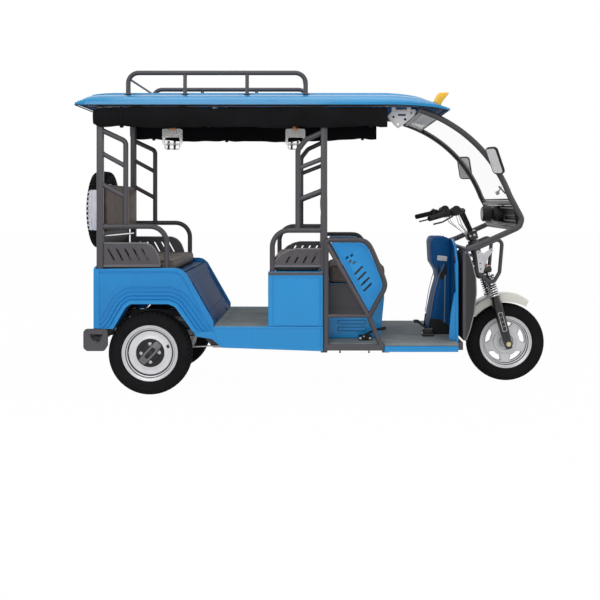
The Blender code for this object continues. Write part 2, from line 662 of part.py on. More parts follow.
def perforated(outline, slots, sign):
    """Return a thin panel at the post line and the cutters of its slots (x, z, length, lean)."""
    panel_half, slot_half, reach = 0.004, 0.006, 0.020
    panel = prism(outline, *span(sign, POST_Y - panel_half, POST_Y + panel_half))
    cuts = []
    for x, z, length, lean in slots:
        low, high = z - length / 2, z + length / 2
        shift = math.tan(lean) * length / 2
        quad = [(x - slot_half - shift, low), (x + slot_half - shift, low),
                (x + slot_half + shift, high), (x - slot_half + shift, high)]
        cuts.append(prism(quad, *span(sign, POST_Y - reach, POST_Y + reach)))
    return panel, cuts


def make_pillars():
    """Rear and centre posts with their slanting rungs, armrest hoops and pierced panels."""
    post_top = ROOF_RAIL_Z - ROOF_RAIL_RADIUS - GAP
    for side, sign in both_sides():
        make_rear_pillar(side, sign, post_top)
        make_centre_pillar(side, sign, post_top)


def make_rear_pillar(side, sign, post_top):
    """Rear post, the tube before it with two rungs, the armrest hoop and its panel."""
    y, bend = sign * POST_Y, 0.030
    tube_x, hoop_x = REAR_POST_X + 0.1505, REAR_POST_X + 0.3925
    hoop_z, panel_low, panel_high = SEAT_DECK_TOP + 0.273, SIDE_PANEL_TOP + 0.002, SIDE_PANEL_TOP + 0.144
    shapes = [rod((REAR_POST_X, y, REAR_RAIL_TOP + GAP), (REAR_POST_X, y, post_top), POST_RADIUS),
              tube([(REAR_POST_X, y, hoop_z + 0.572), (tube_x, y, hoop_z + 0.502), (tube_x, y, hoop_z)],
                   TUBE_RADIUS, TUBE_SIDES, bend, 2),
              tube([(REAR_POST_X, y, hoop_z), (hoop_x, y, hoop_z),
                    (hoop_x, y, SEAT_DECK_TOP + GAP)], TUBE_RADIUS, TUBE_SIDES, HOOP_BEND)]
    for above_hoop in (0.355, 0.173):
        low = hoop_z + above_hoop
        shapes.append(rod((REAR_POST_X, y, low + 0.082), (tube_x, y, low), RUNG_RADIUS, 6))
    panel = [(REAR_POST_X, panel_low), (hoop_x, panel_low), (hoop_x - 0.033, panel_high - 0.054),
             (hoop_x - 0.083, panel_high), (REAR_POST_X, panel_high)]
    slots = [(REAR_POST_X + 0.0645 + 0.05 * i, panel_low + 0.075, 0.070, -0.5) for i in range(5)]
    plate, cuts = perforated(panel, slots, sign)
    piece(f"rear_pillar_{side}", "frame_grey", shapes + [plate], cuts)


def make_centre_pillar(side, sign, post_top):
    """Centre post, the tube behind it with two rungs, the armrest hoop and its panel."""
    y, bend = sign * POST_Y, 0.030
    tube_x, hoop_x = CENTRE_POST_X - 0.1543, CENTRE_POST_X - 0.3053
    hoop_z, panel_low = CENTRE_BOX_TOP + 0.243, CENTRE_BOX_TOP + 0.025
    panel_high = panel_low + 0.110
    shapes = [rod((CENTRE_POST_X, y, RAIL_TOP + GAP), (CENTRE_POST_X, y, post_top), POST_RADIUS),
              tube([(CENTRE_POST_X, y, hoop_z + 0.585), (tube_x + 0.0475, y, hoop_z + 0.535),
                    (tube_x, y, hoop_z + 0.475), (tube_x, y, hoop_z)],
                   TUBE_RADIUS, TUBE_SIDES, bend, 2),
              tube([(CENTRE_POST_X, y, hoop_z), (hoop_x, y, hoop_z),
                    (hoop_x, y, CENTRE_BOX_TOP + GAP)], TUBE_RADIUS, TUBE_SIDES, HOOP_BEND)]
    for above_hoop in (0.365, 0.180):
        low = hoop_z + above_hoop
        shapes.append(rod((tube_x, y, low), (CENTRE_POST_X, y, low + 0.060), RUNG_RADIUS, 6))
    panel = [(hoop_x, panel_low), (CENTRE_POST_X, panel_low), (CENTRE_POST_X, panel_high),
             (hoop_x + 0.1305, panel_high), (hoop_x + 0.0585, panel_high - 0.032)]
    slots = [(hoop_x + 0.0985 + 0.05 * i, panel_low + 0.055, 0.060, 0.5) for i in range(4)]
    plate, cuts = perforated(panel, slots, sign)
    piece(f"centre_pillar_{side}", "frame_grey", shapes + [plate], cuts)


def make_driver_guards():
    """Side guards beside the driver: a tube loop and its slotted panel, on both sides."""
    flat = GUARD_RADIUS * math.cos(math.pi / TUBE_SIDES)
    guard_y = POST_OUTER + flat
    rear_x, top_z = CENTRE_POST_X + 0.013, 0.919
    bar_low, bar_top = SKIRT_LOW + 0.0055, SKIRT_LOW + 0.0405
    brace_z, leg_x = 0.474, rear_x + 0.3267
    brace_end = (rear_x + 0.2502, 0.468)
    # x from the rear tube, z
    curve = [(0.1972, top_z), (0.3032, 0.831), (0.3442, 0.714), (0.3502, 0.667)]
    curve = [(rear_x + x, z) for x, z in curve] + [brace_end]
    slot, square = (0.035, 0.0055), (0.0055, 0.0055)  # half length, half width
    holes = [(0.1892, 0.741, slot), (0.2086, 0.709, slot), (0.2286, 0.677, slot),
             (0.2422, 0.643, slot), (0.1217, 0.8155, square), (0.1487, 0.829, square),
             (0.1388, 0.7936, square), (0.1640, 0.7867, square)]  # x from the rear tube, z
    lean, reach, panel_half = math.radians(45), 0.030, 0.006
    along = Vector((math.cos(lean), math.sin(lean)))
    across = Vector((-along.y, along.x))
    for side, sign in both_sides():
        y = sign * guard_y
        outer = [(rear_x, y, bar_low + 0.015), (rear_x, y, top_z)] + [(x, y, z) for x, z in curve]
        outer.append((leg_x, y, bar_low + 0.015))
        shapes = [tube(outer, GUARD_RADIUS),
                  block((rear_x - GUARD_RADIUS * 0.8, leg_x + 0.011),
                        span(sign, POST_OUTER + 0.0004, guard_y + flat - 0.0006),
                        (bar_low, bar_top)),
                  rod((rear_x, y, brace_z), (rear_x + 0.2522, y, brace_z), GUARD_RADIUS * 0.75, 6),
                  tube([(rear_x, y, top_z), (brace_end[0], y, brace_end[1])],
                       GUARD_RADIUS * 0.9)]
        piece(f"driver_guard_{side}", "frame_grey", shapes)
        panel = inset([(rear_x, top_z)] + curve, flat + 2 * GAP)
        cuts = []
        for from_tube, z, (half_length, half_width) in holes:
            middle = Vector((rear_x + from_tube, z))
            quad = [middle + along * half_length * a + across * half_width * b
                    for a, b in ((-1, -1), (1, -1), (1, 1), (-1, 1))]
            cuts.append(prism(quad, *span(sign, guard_y - reach, guard_y + reach)))
        piece(f"driver_guard_panel_{side}", "body_blue",
              [prism(panel, *span(sign, guard_y - panel_half, guard_y + panel_half))], cuts)


def screen_point(share, inward=0.0):
    """Return the (x, z) of a point on the screen's arc, by its share of the way down."""
    top, foot = Vector(SCREEN_TOP), Vector(SCREEN_FOOT)
    half = (foot - top) / 2
    back = math.sqrt(SCREEN_RADIUS ** 2 - half.length_squared)
    centre = top + half + Vector((half.y, -half.x)).normalized() * back
    first, last = (math.atan2(end.y - centre.y, end.x - centre.x) for end in (top, foot))
    turn, radius = first + (last - first) * share, SCREEN_RADIUS - inward
    return (centre.x + radius * math.cos(turn), centre.y + radius * math.sin(turn))


def from_foot(x, z):
    """Return a point of the nose by its distance from the foot of the screen."""
    return (SCREEN_FOOT[0] + x, SCREEN_FOOT[1] + z)


def make_front_body():
    """Front screen in its tube frame, nose panel, headlamp, dial, leg shield and apron."""
    shares = [i / SCREEN_STEPS for i in range(SCREEN_STEPS + 1)]
    cross_bar, low_corner = from_foot(0.024, -0.045), from_foot(0.040, -0.195)
    pad_bar = (RAIL_FRONT_X + 0.014, APRON_TOP + 0.022)
    tail = [from_foot(0.064, -0.121), from_foot(0.072, -0.141), from_foot(0.060, -0.181), low_corner,
            (RAIL_FRONT_X + 0.096, APRON_TOP + 0.053), (RAIL_FRONT_X + 0.010, APRON_TOP + 0.022)]
    shapes = []
    for _, sign in both_sides():
        shapes.append(tube([(x, sign * POST_Y, z)
                            for x, z in [screen_point(share) for share in shares] + tail],
                           SCREEN_TUBE, 8))
    top = screen_point(0.0286)
    for (x, z), radius, sides in ((top, 0.012, TUBE_SIDES), (cross_bar, 0.014, TUBE_SIDES),
                                  (low_corner, 0.014, TUBE_SIDES), (pad_bar, 0.012, 6)):
        shapes.append(rod((x, -POST_Y, z), (x, POST_Y, z), radius, sides))
    for _, sign in both_sides():
        shapes.append(block((top[0] - 0.012, top[0] + 0.009), span(sign, POST_Y - 0.012, POST_Y + 0.012),
                            (top[1], BOW_LOW - GAP)))
        shapes.append(block((pad_bar[0] - 0.0128, pad_bar[0] - 0.001),
                            span(sign, SHIELD_HALF - 0.180, SHIELD_HALF),
                            (APRON_TOP + GAP, pad_bar[1] + 0.0023)))
    piece("windshield_frame", "frame_grey", shapes)
    half = POST_Y - SCREEN_TUBE * math.cos(math.pi / 8) - GAP
    low_edge = from_foot(0.011, -0.024)
    glass = [screen_point(share) for share in shares[1:]] + [low_edge]
    inner = [screen_point(share, SCREEN_SHEET) for share in shares[1:]]
    inner.append((low_edge[0] - SCREEN_SHEET, low_edge[1]))
    piece("windshield", "clear_sheet", [prism(glass + inner[::-1], -half, half)])
    make_nose(half)
    make_leg_shield()


def make_nose(half):
    """Nose panel, the headlamp through it and the instrument dial behind it."""
    panel, lamp_sides = 0.006, 20
    slope = [from_foot(0.030, -0.0606), from_foot(0.059, -0.1211), from_foot(0.064, -0.1411),
             from_foot(0.049, -0.1806)]
    inner = [(x - panel, z) for x, z in slope]
    lamp_face, lamp_rear = SCREEN_FOOT[0] + 0.080, SCREEN_FOOT[0] - 0.022
    hole = rod((lamp_rear - 0.1, 0, LAMP_Z), (lamp_face + 0.1, 0, LAMP_Z), LAMP_RADIUS + 0.0008,
               lamp_sides)
    piece("nose_panel", "black_plastic", [prism(slope + inner[::-1], -half, half)], [hole])
    piece("headlamp", "clear_sheet",
          [rod((lamp_rear, 0, LAMP_Z), (lamp_face - 0.010, 0, LAMP_Z), LAMP_RADIUS, lamp_sides),
           rod((lamp_face - 0.012, 0, LAMP_Z), (lamp_face, 0, LAMP_Z), LAMP_RADIUS * 0.98,
               lamp_sides, LAMP_RADIUS * 0.7)])
    dial_front, dial_rear = lamp_rear - GAP, lamp_rear - 0.055
    piece("instrument_dial", "black_plastic",
          [rod((dial_front, 0, LAMP_Z), (dial_rear, 0, LAMP_Z), LAMP_RADIUS + 0.002, 16,
               LAMP_RADIUS - 0.004)])


def make_leg_shield():
    """Blue leg shield with its centre tunnel, and the dark apron in front of it."""
    front_x = RAIL_FRONT_X - HEAD_POST_SIZE - GAP
    rear_x = front_x - SHEET
    low, floor = RAIL_TOP + GAP, DRIVER_FLOOR_TOP + GAP
    shoulder, top, bend = APRON_TOP - 0.057, APRON_TOP + 0.070, APRON_TOP + 0.040
    half = [(SHIELD_HALF, low), (SHIELD_HALF, shoulder), (SHIELD_HALF - 0.080, bend),
            (SHIELD_HALF - 0.180, top)]
    outline = half + [(-y, z) for y, z in reversed(half)]
    shapes = [prism(outline, rear_x, front_x, "X")]
    for _, sign in both_sides():
        curl = [(rear_x - 0.030, floor), (front_x, floor), (front_x, shoulder),
                (rear_x - 0.018, shoulder - 0.023)]
        shapes.append(prism(curl, *span(sign, SHIELD_HALF - SHEET, SHIELD_HALF)))
    join_x, tunnel_top = rear_x + 0.002, top - 0.005
    tunnel = [(join_x, floor), (front_x - 0.1167, floor), (front_x - 0.0717, 0.620),
              (front_x - 0.1017, APRON_TOP), (front_x - 0.0867, tunnel_top), (join_x, tunnel_top)]
    shapes.append(prism(tunnel, -TUNNEL_HALF, TUNNEL_HALF))
    piece("leg_shield", "body_blue", shapes)
    apron_x = (RAIL_FRONT_X + GAP, RAIL_FRONT_X + 0.014)
    notch, notch_low, apron_low = HEAD_POST_Y + 0.035, 0.660, low + SHEET
    half = [(APRON_HALF, apron_low), (APRON_HALF, APRON_TOP), (notch, APRON_TOP), (notch, notch_low)]
    shapes = [prism(half + [(-y, z) for y, z in reversed(half)], *apron_x, "X")]
    # x before the apron, z of the flank's curved front edge
    flank = [(0.030, APRON_TOP - 0.005), (0.053, 0.770), (0.073, 0.690), (0.076, 0.600),
             (0.063, 0.480), (0.038, 0.380), (0.015, DRIVER_FLOOR_TOP + 0.005)]
    flank = [(RAIL_FRONT_X + x, z) for x, z in flank]
    flank = [(apron_x[0], APRON_TOP)] + flank + [(apron_x[0], flank[-1][1])]
    for _, sign in both_sides():
        shapes.append(prism(flank, *span(sign, APRON_HALF - 0.015, APRON_HALF)))
    piece("front_apron", "frame_grey", shapes)


def make_curtains():
    """Rolled side curtains under the roof's edge; the left one hangs lower in the middle."""
    top, low = ROOF_RIM_Z - 0.007, ROOF_RIM_Z - 0.138
    rear_x, front_x, steps, sides, left_sag = REAR_POST_X - 0.0355, BOW_X[3] - 0.005, 6, 10, 0.020
    half_depth, middle_z, half_height = (ROOF_HALF - POST_OUTER) / 2, (top + low) / 2, (top - low) / 2
    for side, sign in both_sides():
        sag = left_sag if side == "left" else 0.0
        sections = []
        for step in range(steps + 1):
            share = step / steps
            drop = sag * math.sin(math.pi * share)
            ring = []
            for k in range(sides):
                angle = 2 * math.pi * k / sides
                rise = math.sin(angle)
                ring.append((rear_x + share * (front_x - rear_x),
                             sign * (POST_OUTER + half_depth * (1 + math.cos(angle))),
                             middle_z - drop * (1 - rise) + half_height * rise))
            sections.append(ring)
        piece(f"curtain_{side}", "curtain_cloth", [loft(sections)])


def make_fittings():
    """Roof lamps, mirrors, strap handles, brake lever and brake pedal."""
    for side, sign in both_sides():
        make_roof_lamp(side, sign)
        make_mirror(side, sign)
    make_strap_handles()
    make_brake_controls()


def make_roof_lamp(side, sign):
    """Wedge lamp that leans forward on the roof's sloping front."""
    lean, rise, seat = 0.046, 0.058, 0.0009
    base_x = (ROOF_FRONT_X - 0.091, ROOF_FRONT_X - 0.045)
    inner_y, outer_y = ROOF_HALF - 0.150, ROOF_HALF - 0.080
    top_z = roof_height(base_x[0], (inner_y + outer_y) / 2) + rise
    sections = []
    for y in (inner_y, outer_y):
        base = [(x, sign * y, roof_height(x, y) + seat) for x in base_x]
        sections.append(base + [(x + lean, sign * y, top_z) for x in reversed(base_x)])
    piece(f"roof_lamp_{side}", "amber_lens", [loft(sections)])


def make_mirror(side, sign):
    """Mirror case turned towards the driver, on a short arm from the screen's tube."""
    x, z = screen_point(0.7825)
    anchor = Vector((x, sign * (POST_Y + SCREEN_TUBE + 0.0006), z))
    centre = anchor + Vector((-0.0235, sign * 0.0619, 0.055))
    turn = Matrix.Rotation(sign * math.radians(35), 3, "Z") @ Matrix.Rotation(
        math.radians(-14), 3, "Y")
    half_width, half_height, corner, half_depth, arm = 0.048, 0.085, 0.012, 0.012, 0.006
    corners = [(half_width - corner, half_height), (half_width, half_height - 2 * corner)]
    outline = []
    for across, up in ((-1, -1), (1, -1), (1, 1), (-1, 1)):
        pair = [(across * a, up * b) for a, b in corners]
        outline += pair if across * up < 0 else pair[::-1]
    slab = loft([[centre + turn @ Vector((t, a, b)) for a, b in outline]
                 for t in (-half_depth, half_depth)])
    bend = anchor + Vector((0, sign * 0.020, 0.004))
    piece(f"mirror_{side}", "black_plastic", [slab, tube([anchor, bend, centre], arm, 6)])


def make_strap_handles():
    """Rail hung from the roof bows on the right, with two belts and their hand grips."""
    y, rail_z, grip_top = POST_RADIUS - POST_Y + 0.009, BOW_LOW - 0.0555, 1.500
    rail, hanger, grip = 0.005, 0.0055, 0.007
    shapes = [rod((BOW_X[0] - 0.003, y, rail_z), (BOW_X[2] + 0.003, y, rail_z), rail, 6)]
    for x in BOW_X[:3]:
        shapes.append(rod((x, y, rail_z), (x, y, BOW_LOW - GAP), hanger, 6))
    for x in (BOW_X[1] - 0.244, BOW_X[2] - 0.1698):
        shapes.append(block((x - 0.020, x + 0.020), (y - 0.004, y + 0.004),
                            (grip_top, rail_z + 0.003)))
        shapes.append(ring_tube([(x - 0.055, y, grip_top), (x + 0.055, y, grip_top),
                                 (x + 0.040, y, grip_top - 0.050), (x - 0.040, y, grip_top - 0.050)],
                                grip))
    piece("strap_handles", "tie_orange", shapes)


def make_brake_controls():
    """Hand brake lever beside the driver's seat and brake pedal before it."""
    floor = DRIVER_FLOOR_TOP + GAP
    y, x = 0.085 - POST_Y, BOW_X[3] - 0.150
    piece("hand_brake", "black_plastic",
          [block((x - 0.020, x + 0.060), (y - 0.015, y + 0.015), (floor, floor + 0.0317)),
           tube([(x, y, floor + 0.0217), (x + 0.080, y, floor + 0.0617),
                 (x + 0.140, y, floor + 0.0717)], 0.009, 6)])
    y, x = -0.190, RAIL_FRONT_X - 0.190
    piece("brake_pedal", "black_plastic",
          [block((x - 0.035, x + 0.035), (y - 0.040, y + 0.040), (floor, floor + 0.0467)),
           tube([(x, y, floor + 0.0367), (x - 0.040, y, floor + 0.0717),
                 (x - 0.060, y, floor + 0.0867)], 0.008, 6),
           block((x - 0.085, x - 0.050), (y - 0.035, y + 0.035), (floor + 0.0817, floor + 0.0957))])


def tyre_profile():
    """Return the closed (axial, radial) section of a tyre."""
    wide, high = TYRE_HALF_WIDTH, TYRE_RADIUS
    half = [(TYRE_SEAT_HALF - 0.001, TYRE_SEAT_RADIUS + 3 * GAP), (wide - 0.002, high - 0.0615),
            (wide, high - 0.0415), (wide - 0.004, high - 0.0185), (wide - 0.016, high - 0.0055)]
    return half + [(0.0, TYRE_RADIUS)] + [(-a, r) for a, r in reversed(half)]


def rim_profile():
    """Return the closed (axial, radial) section of a wheel rim with its bored hub."""
    barrel = TYRE_SEAT_RADIUS - RIM_BARREL
    side = [(TYRE_SEAT_HALF, TYRE_SEAT_RADIUS), (TYRE_SEAT_HALF, barrel),
            (RIM_DISC_HALF, barrel - 0.012), (RIM_DISC_HALF, HUB_RADIUS + 0.004),
            (HUB_HALF, HUB_RADIUS), (HUB_HALF, AXLE_BORE)]
    return side + [(-a, r) for a, r in reversed(side)]


def make_wheel(name, centre, axis=(0, 1, 0)):
    """Tyre and rim of one wheel, a corner of each pointing straight down."""
    piece(name.format("tyre"), "tyre_rubber", [turned(tyre_profile(), centre, axis, WHEEL_SIDES)])
    piece(name.format("rim"), "rim_silver", [turned(rim_profile(), centre, axis, WHEEL_SIDES)])


def make_wheels():
    """Front, rear and spare wheels."""
    make_wheel("front_{}", (FRONT_AXLE_X, 0, TYRE_RADIUS))
    for side, sign in both_sides():
        make_wheel("rear_{}_" + side, (REAR_AXLE_X, sign * REAR_WHEEL_Y, TYRE_RADIUS))
    make_wheel("spare_{}", (SPARE_X, 0, SPARE_Z), (1, 0, 0))
    hub_front = SPARE_X + HUB_HALF + GAP
    back = REAR_END_X - SHEET - GAP
    plate_half, hub_half, plate_low, washer = 0.060, 0.050, SPARE_Z - 0.292, 0.034
    piece("spare_carrier", "frame_grey",
          [block((SPARE_X + TYRE_HALF_WIDTH + GAP, back), (-plate_half, plate_half),
                 (plate_low, SPARE_Z + 0.045)),
           block((hub_front, back), (-hub_half, hub_half), (SPARE_Z - 0.045, SPARE_Z + 0.045)),
           rod((SPARE_X - 0.110, 0, SPARE_Z), (hub_front + 0.004, 0, SPARE_Z), AXLE_PIN, 16),
           rod((SPARE_X - 0.045, 0, SPARE_Z), (SPARE_X - HUB_HALF - GAP, 0, SPARE_Z), washer, 8)])


def make_rear_axle():
    """Rear axle beam with drums, motor block and leaf springs up to the frame."""
    z = TYRE_RADIUS
    drum_end = REAR_WHEEL_Y - HUB_HALF - RUN_GAP
    tube_end = drum_end - DRUM_WIDTH / 2
    shapes = [rod((REAR_AXLE_X, -tube_end, z), (REAR_AXLE_X, tube_end, z), 0.028),
              block((REAR_AXLE_X - 0.115, REAR_AXLE_X + 0.125), (-0.120, 0.140),
                    (z - 0.0825, z + 0.0875))]
    span_x, eye_z, seat_z, leaf, leaf_steps = 0.270, z + 0.0905, z + 0.0245, 0.018, 6
    for _, sign in both_sides():
        shapes.append(rod((REAR_AXLE_X, sign * (drum_end - DRUM_WIDTH), z),
                          (REAR_AXLE_X, sign * drum_end, z), DRUM_RADIUS, 16))
        shapes.append(rod((REAR_AXLE_X, sign * (drum_end - 0.01), z),
                          (REAR_AXLE_X, sign * (REAR_WHEEL_Y + HUB_HALF + 0.006), z),
                          AXLE_PIN, 16))
        lower = []
        for step in range(leaf_steps + 1):
            share = 2 * step / leaf_steps - 1
            lower.append((REAR_AXLE_X + share * span_x,
                          seat_z + (eye_z - seat_z - 0.010) * share * share))
        outline = lower + [(x, height + leaf) for x, height in reversed(lower)]
        shapes.append(prism(outline, *span(sign, RAIL_Y - 0.025, RAIL_Y + 0.025)))
        for end in (-1, 1):
            x = REAR_AXLE_X + end * (span_x - 0.008)
            low = RAIL_LOW + (KICK_UP_X - 0.02 - x) / KICK_UP_RUN * (REAR_RAIL_LOW - RAIL_LOW)
            top = min(REAR_RAIL_LOW, low) - GAP - (0.0125 if end > 0 else 0.0)
            shapes.append(block((x - 0.010, x + 0.010), span(sign, RAIL_Y - 0.018, RAIL_Y + 0.018),
                                (eye_z - 0.008, top)))
    piece("rear_axle", "fork_black", shapes)


def make_bumper():
    """Rear bumper: a cross bar, two pierced corner plates and brackets to the frame."""
    rear_x, front_x = REAR_END_X - 0.0702, REAR_END_X + 0.0713
    low, top = BACK_PANEL_LOW - 0.130, BACK_PANEL_LOW - GAP
    shapes = [block((rear_x, rear_x + 0.040), (-BODY_HALF, BODY_HALF), (low + 0.017, low + 0.097))]
    cuts = []
    for _, sign in both_sides():
        corner = [(rear_x, low + 0.017), (rear_x + 0.020, low), (front_x - 0.019, low),
                  (front_x, low + 0.032), (front_x, top), (rear_x + 0.012, top),
                  (rear_x, top - 0.0177)]
        shapes.append(prism(corner, *span(sign, BODY_HALF - 0.018, BODY_HALF)))
        hole = [(rear_x + 0.0545, low + 0.097), (rear_x + 0.1145, low + 0.097),
                (rear_x + 0.0845, low + 0.052)]
        cuts.append(prism(hole, *span(sign, BODY_HALF - 0.050, BODY_HALF + 0.050)))
        shapes.append(block((rear_x + 0.010, REAR_END_X + 0.030),
                            span(sign, RAIL_Y - 0.015, RAIL_Y + 0.015),
                            (low + 0.052, REAR_RAIL_LOW - GAP)))
    piece("rear_bumper", "frame_grey", shapes, cuts)


def make_steering():
    """Fork with its springs and clamps, handlebar and front mudguard."""
    shapes = []
    for _, sign in both_sides():
        y = sign * FORK_LEG_Y
        runs = [(-0.040, 0.302, FORK_LEG_RADIUS), (0.300, 0.440, SPRING_RADIUS),
                (0.438, 0.492, STEM_RADIUS)]
        for low, high, radius in runs:
            shapes.append(rod(steer_point(FORK_OFFSET, y, low), steer_point(FORK_OFFSET, y, high),
                              radius, 10))
    clamp_y = FORK_LEG_Y + 0.028
    clamp_top = HEAD_LOW - RUN_GAP
    shapes.append(steer_block((-0.028, 0.050), (-clamp_y, clamp_y), (clamp_top - 0.030, clamp_top)))
    head_top = HEAD_HIGH + RUN_GAP
    shapes.append(rod(steer_point(0, 0, clamp_top - 0.01), steer_point(0, 0, head_top + 0.01),
                      HEAD_STEM, 12))
    shapes.append(steer_block((-0.034, 0.034), (-0.058, 0.058), (head_top, head_top + 0.055)))
    axle_z = TYRE_RADIUS
    shapes.append(rod((FRONT_AXLE_X, -FORK_LEG_Y, axle_z), (FRONT_AXLE_X, FORK_LEG_Y, axle_z),
                      AXLE_PIN, 16))
    piece("fork", "fork_black", shapes)
    foot = head_top + 0.055 + GAP
    grip, sweep, rise = BAR_GRIP, BAR_SWEEP, BAR_RISE
    bar = [(grip[0], -grip[1], grip[2]), (sweep[0], -sweep[1], sweep[2]), (rise[0], -rise[1], rise[2]),
           rise, sweep, grip]
    shapes = [tube(bar, 0.0115, 8, 0.05, 2)]
    for _, sign in both_sides():
        shapes.append(tube([steer_point(0, sign * 0.035, foot), steer_point(0, sign * 0.035, foot + 0.01),
                            (rise[0], sign * 0.060, rise[2])], 0.012, 8))
        hub = Vector(sweep).lerp(Vector(rise), 0.15)
        hub.y *= sign
        along = (Vector((rise[0], sign * rise[1], rise[2])) - Vector((sweep[0], sign * sweep[1],
                                                                     sweep[2]))).normalized()
        shapes.append(rod(hub - along * 0.022, hub + along * 0.022, 0.027, 8))
        end = Vector((grip[0], sign * grip[1], grip[2]))
        back = (Vector((sweep[0], sign * sweep[1], sweep[2])) - end).normalized()
        shapes.append(rod(end - back * 0.005, end + back * 0.115, 0.017, 8))
    piece("handlebar", "black_plastic", shapes)
    outer, inner, drop = FENDER_RADIUS, FENDER_RADIUS - FENDER_WALL, FENDER_RADIUS - FENDER_DEPTH
    half = FORK_LEG_Y - SPRING_RADIUS - 0.0006
    lip = half - FENDER_WALL
    section = [(-half, drop), (-half, outer), (half, outer), (half, drop), (lip, drop),
               (lip, inner), (-lip, inner), (-lip, drop)]
    sections = []
    for step in range(FENDER_STEPS + 1):
        turn = math.radians(FENDER_FROM + (FENDER_TO - FENDER_FROM) * step / FENDER_STEPS)
        sections.append([(FRONT_AXLE_X + r * math.cos(turn), y, axle_z + r * math.sin(turn))
                         for y, r in section])
    piece("front_fender", "fender_cream", [loft(sections)])


def main():
    """Build every piece."""
    clear_scene()
    make_chassis_frame()
    make_steering_head()
    make_floors()
    make_rear_body()
    make_seats()
    make_roof()
    make_pillars()
    make_driver_guards()
    make_front_body()
    make_curtains()
    make_fittings()
    make_wheels()
    make_rear_axle()
    make_bumper()
    make_steering()


main()
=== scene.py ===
"""Looks of an electric passenger rickshaw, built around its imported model.

Frame: +X is forward, +Y is the vehicle's left, +Z is up, in metres, with the origin on the
ground under the middle of the vehicle. The camera looks at the right side.
"""
import json
import logging
import math
from collections.abc import Callable, Sequence
from dataclasses import dataclass, field
from enum import Enum

import bmesh
import bpy
from mathutils import Matrix, Vector
from mathutils.geometry import delaunay_2d_cdt

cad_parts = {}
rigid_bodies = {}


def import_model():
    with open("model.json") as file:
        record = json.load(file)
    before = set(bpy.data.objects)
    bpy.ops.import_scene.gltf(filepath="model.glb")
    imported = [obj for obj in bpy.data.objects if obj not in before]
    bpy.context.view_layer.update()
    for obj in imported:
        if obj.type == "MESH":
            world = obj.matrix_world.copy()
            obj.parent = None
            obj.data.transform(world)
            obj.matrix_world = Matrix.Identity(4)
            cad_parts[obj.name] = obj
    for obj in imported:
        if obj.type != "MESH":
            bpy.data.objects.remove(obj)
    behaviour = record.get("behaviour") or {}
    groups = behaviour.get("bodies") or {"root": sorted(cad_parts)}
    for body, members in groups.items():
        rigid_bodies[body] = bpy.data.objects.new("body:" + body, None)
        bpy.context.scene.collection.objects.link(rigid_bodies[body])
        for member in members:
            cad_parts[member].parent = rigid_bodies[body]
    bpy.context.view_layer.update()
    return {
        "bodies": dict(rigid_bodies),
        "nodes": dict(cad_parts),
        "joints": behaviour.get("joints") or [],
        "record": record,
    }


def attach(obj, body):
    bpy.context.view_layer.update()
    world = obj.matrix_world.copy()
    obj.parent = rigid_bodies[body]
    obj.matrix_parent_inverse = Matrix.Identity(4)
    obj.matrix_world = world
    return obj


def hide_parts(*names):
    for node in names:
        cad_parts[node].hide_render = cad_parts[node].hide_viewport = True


LOG = logging.getLogger("rickshaw")

Point = Sequence[float]
Outline = Sequence[Point]

# a 2-D point and a depth as a point in space, by the axis across the plate
PLACES: dict[str, Callable[[Point, float], tuple[float, float, float]]] = {
    "X": lambda p, d: (d, p[0], p[1]), "Y": lambda p, d: (p[0], d, p[1]), "Z": lambda p, d: (p[0], p[1], d)}
SIGNS = (1.0, -1.0)  # the sign of Y on the left and on the right


class Side(Enum):
    """Side of the vehicle, with the sign of Y there."""

    LEFT = 1.0
    RIGHT = -1.0

    @property
    def label(self) -> str:
        """Return the word used in piece names."""
        return self.name.lower()


class Grain(Enum):
    """Surface relief of a finish."""

    PAINT = "fine orange peel of sprayed paint"
    POWDER = "coarser pebbling of powder coat"
    HIDE = "pebbled grain of seat covering"
    WEAVE = "woven cloth"
    RUBBER = "soft matt rubber"
    MOULDED = "fine sand texture of moulded plastic"
    CLEAR = "smooth clear material"


class Body(Enum):
    """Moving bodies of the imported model."""

    CHASSIS = "chassis"
    STEERING = "steering"
    FRONT_WHEEL = "front_wheel"
    REAR_LEFT = "rear_wheel_left"
    REAR_RIGHT = "rear_wheel_right"


def add_node(tree: bpy.types.NodeTree, kind: str, **values: float) -> bpy.types.Node:
    """Add a node with constants on its inputs.

    Args:
        tree: Node tree that grows.
        kind: Kind of the node, without its leading ShaderNode.
        values: Constants by the input's name, with a low line for each space.

    Returns:
        The new node.
    """
    node = tree.nodes.new(f"ShaderNode{kind}")
    for name, value in values.items():
        node.inputs[name.replace("_", " ")].default_value = value
    return node


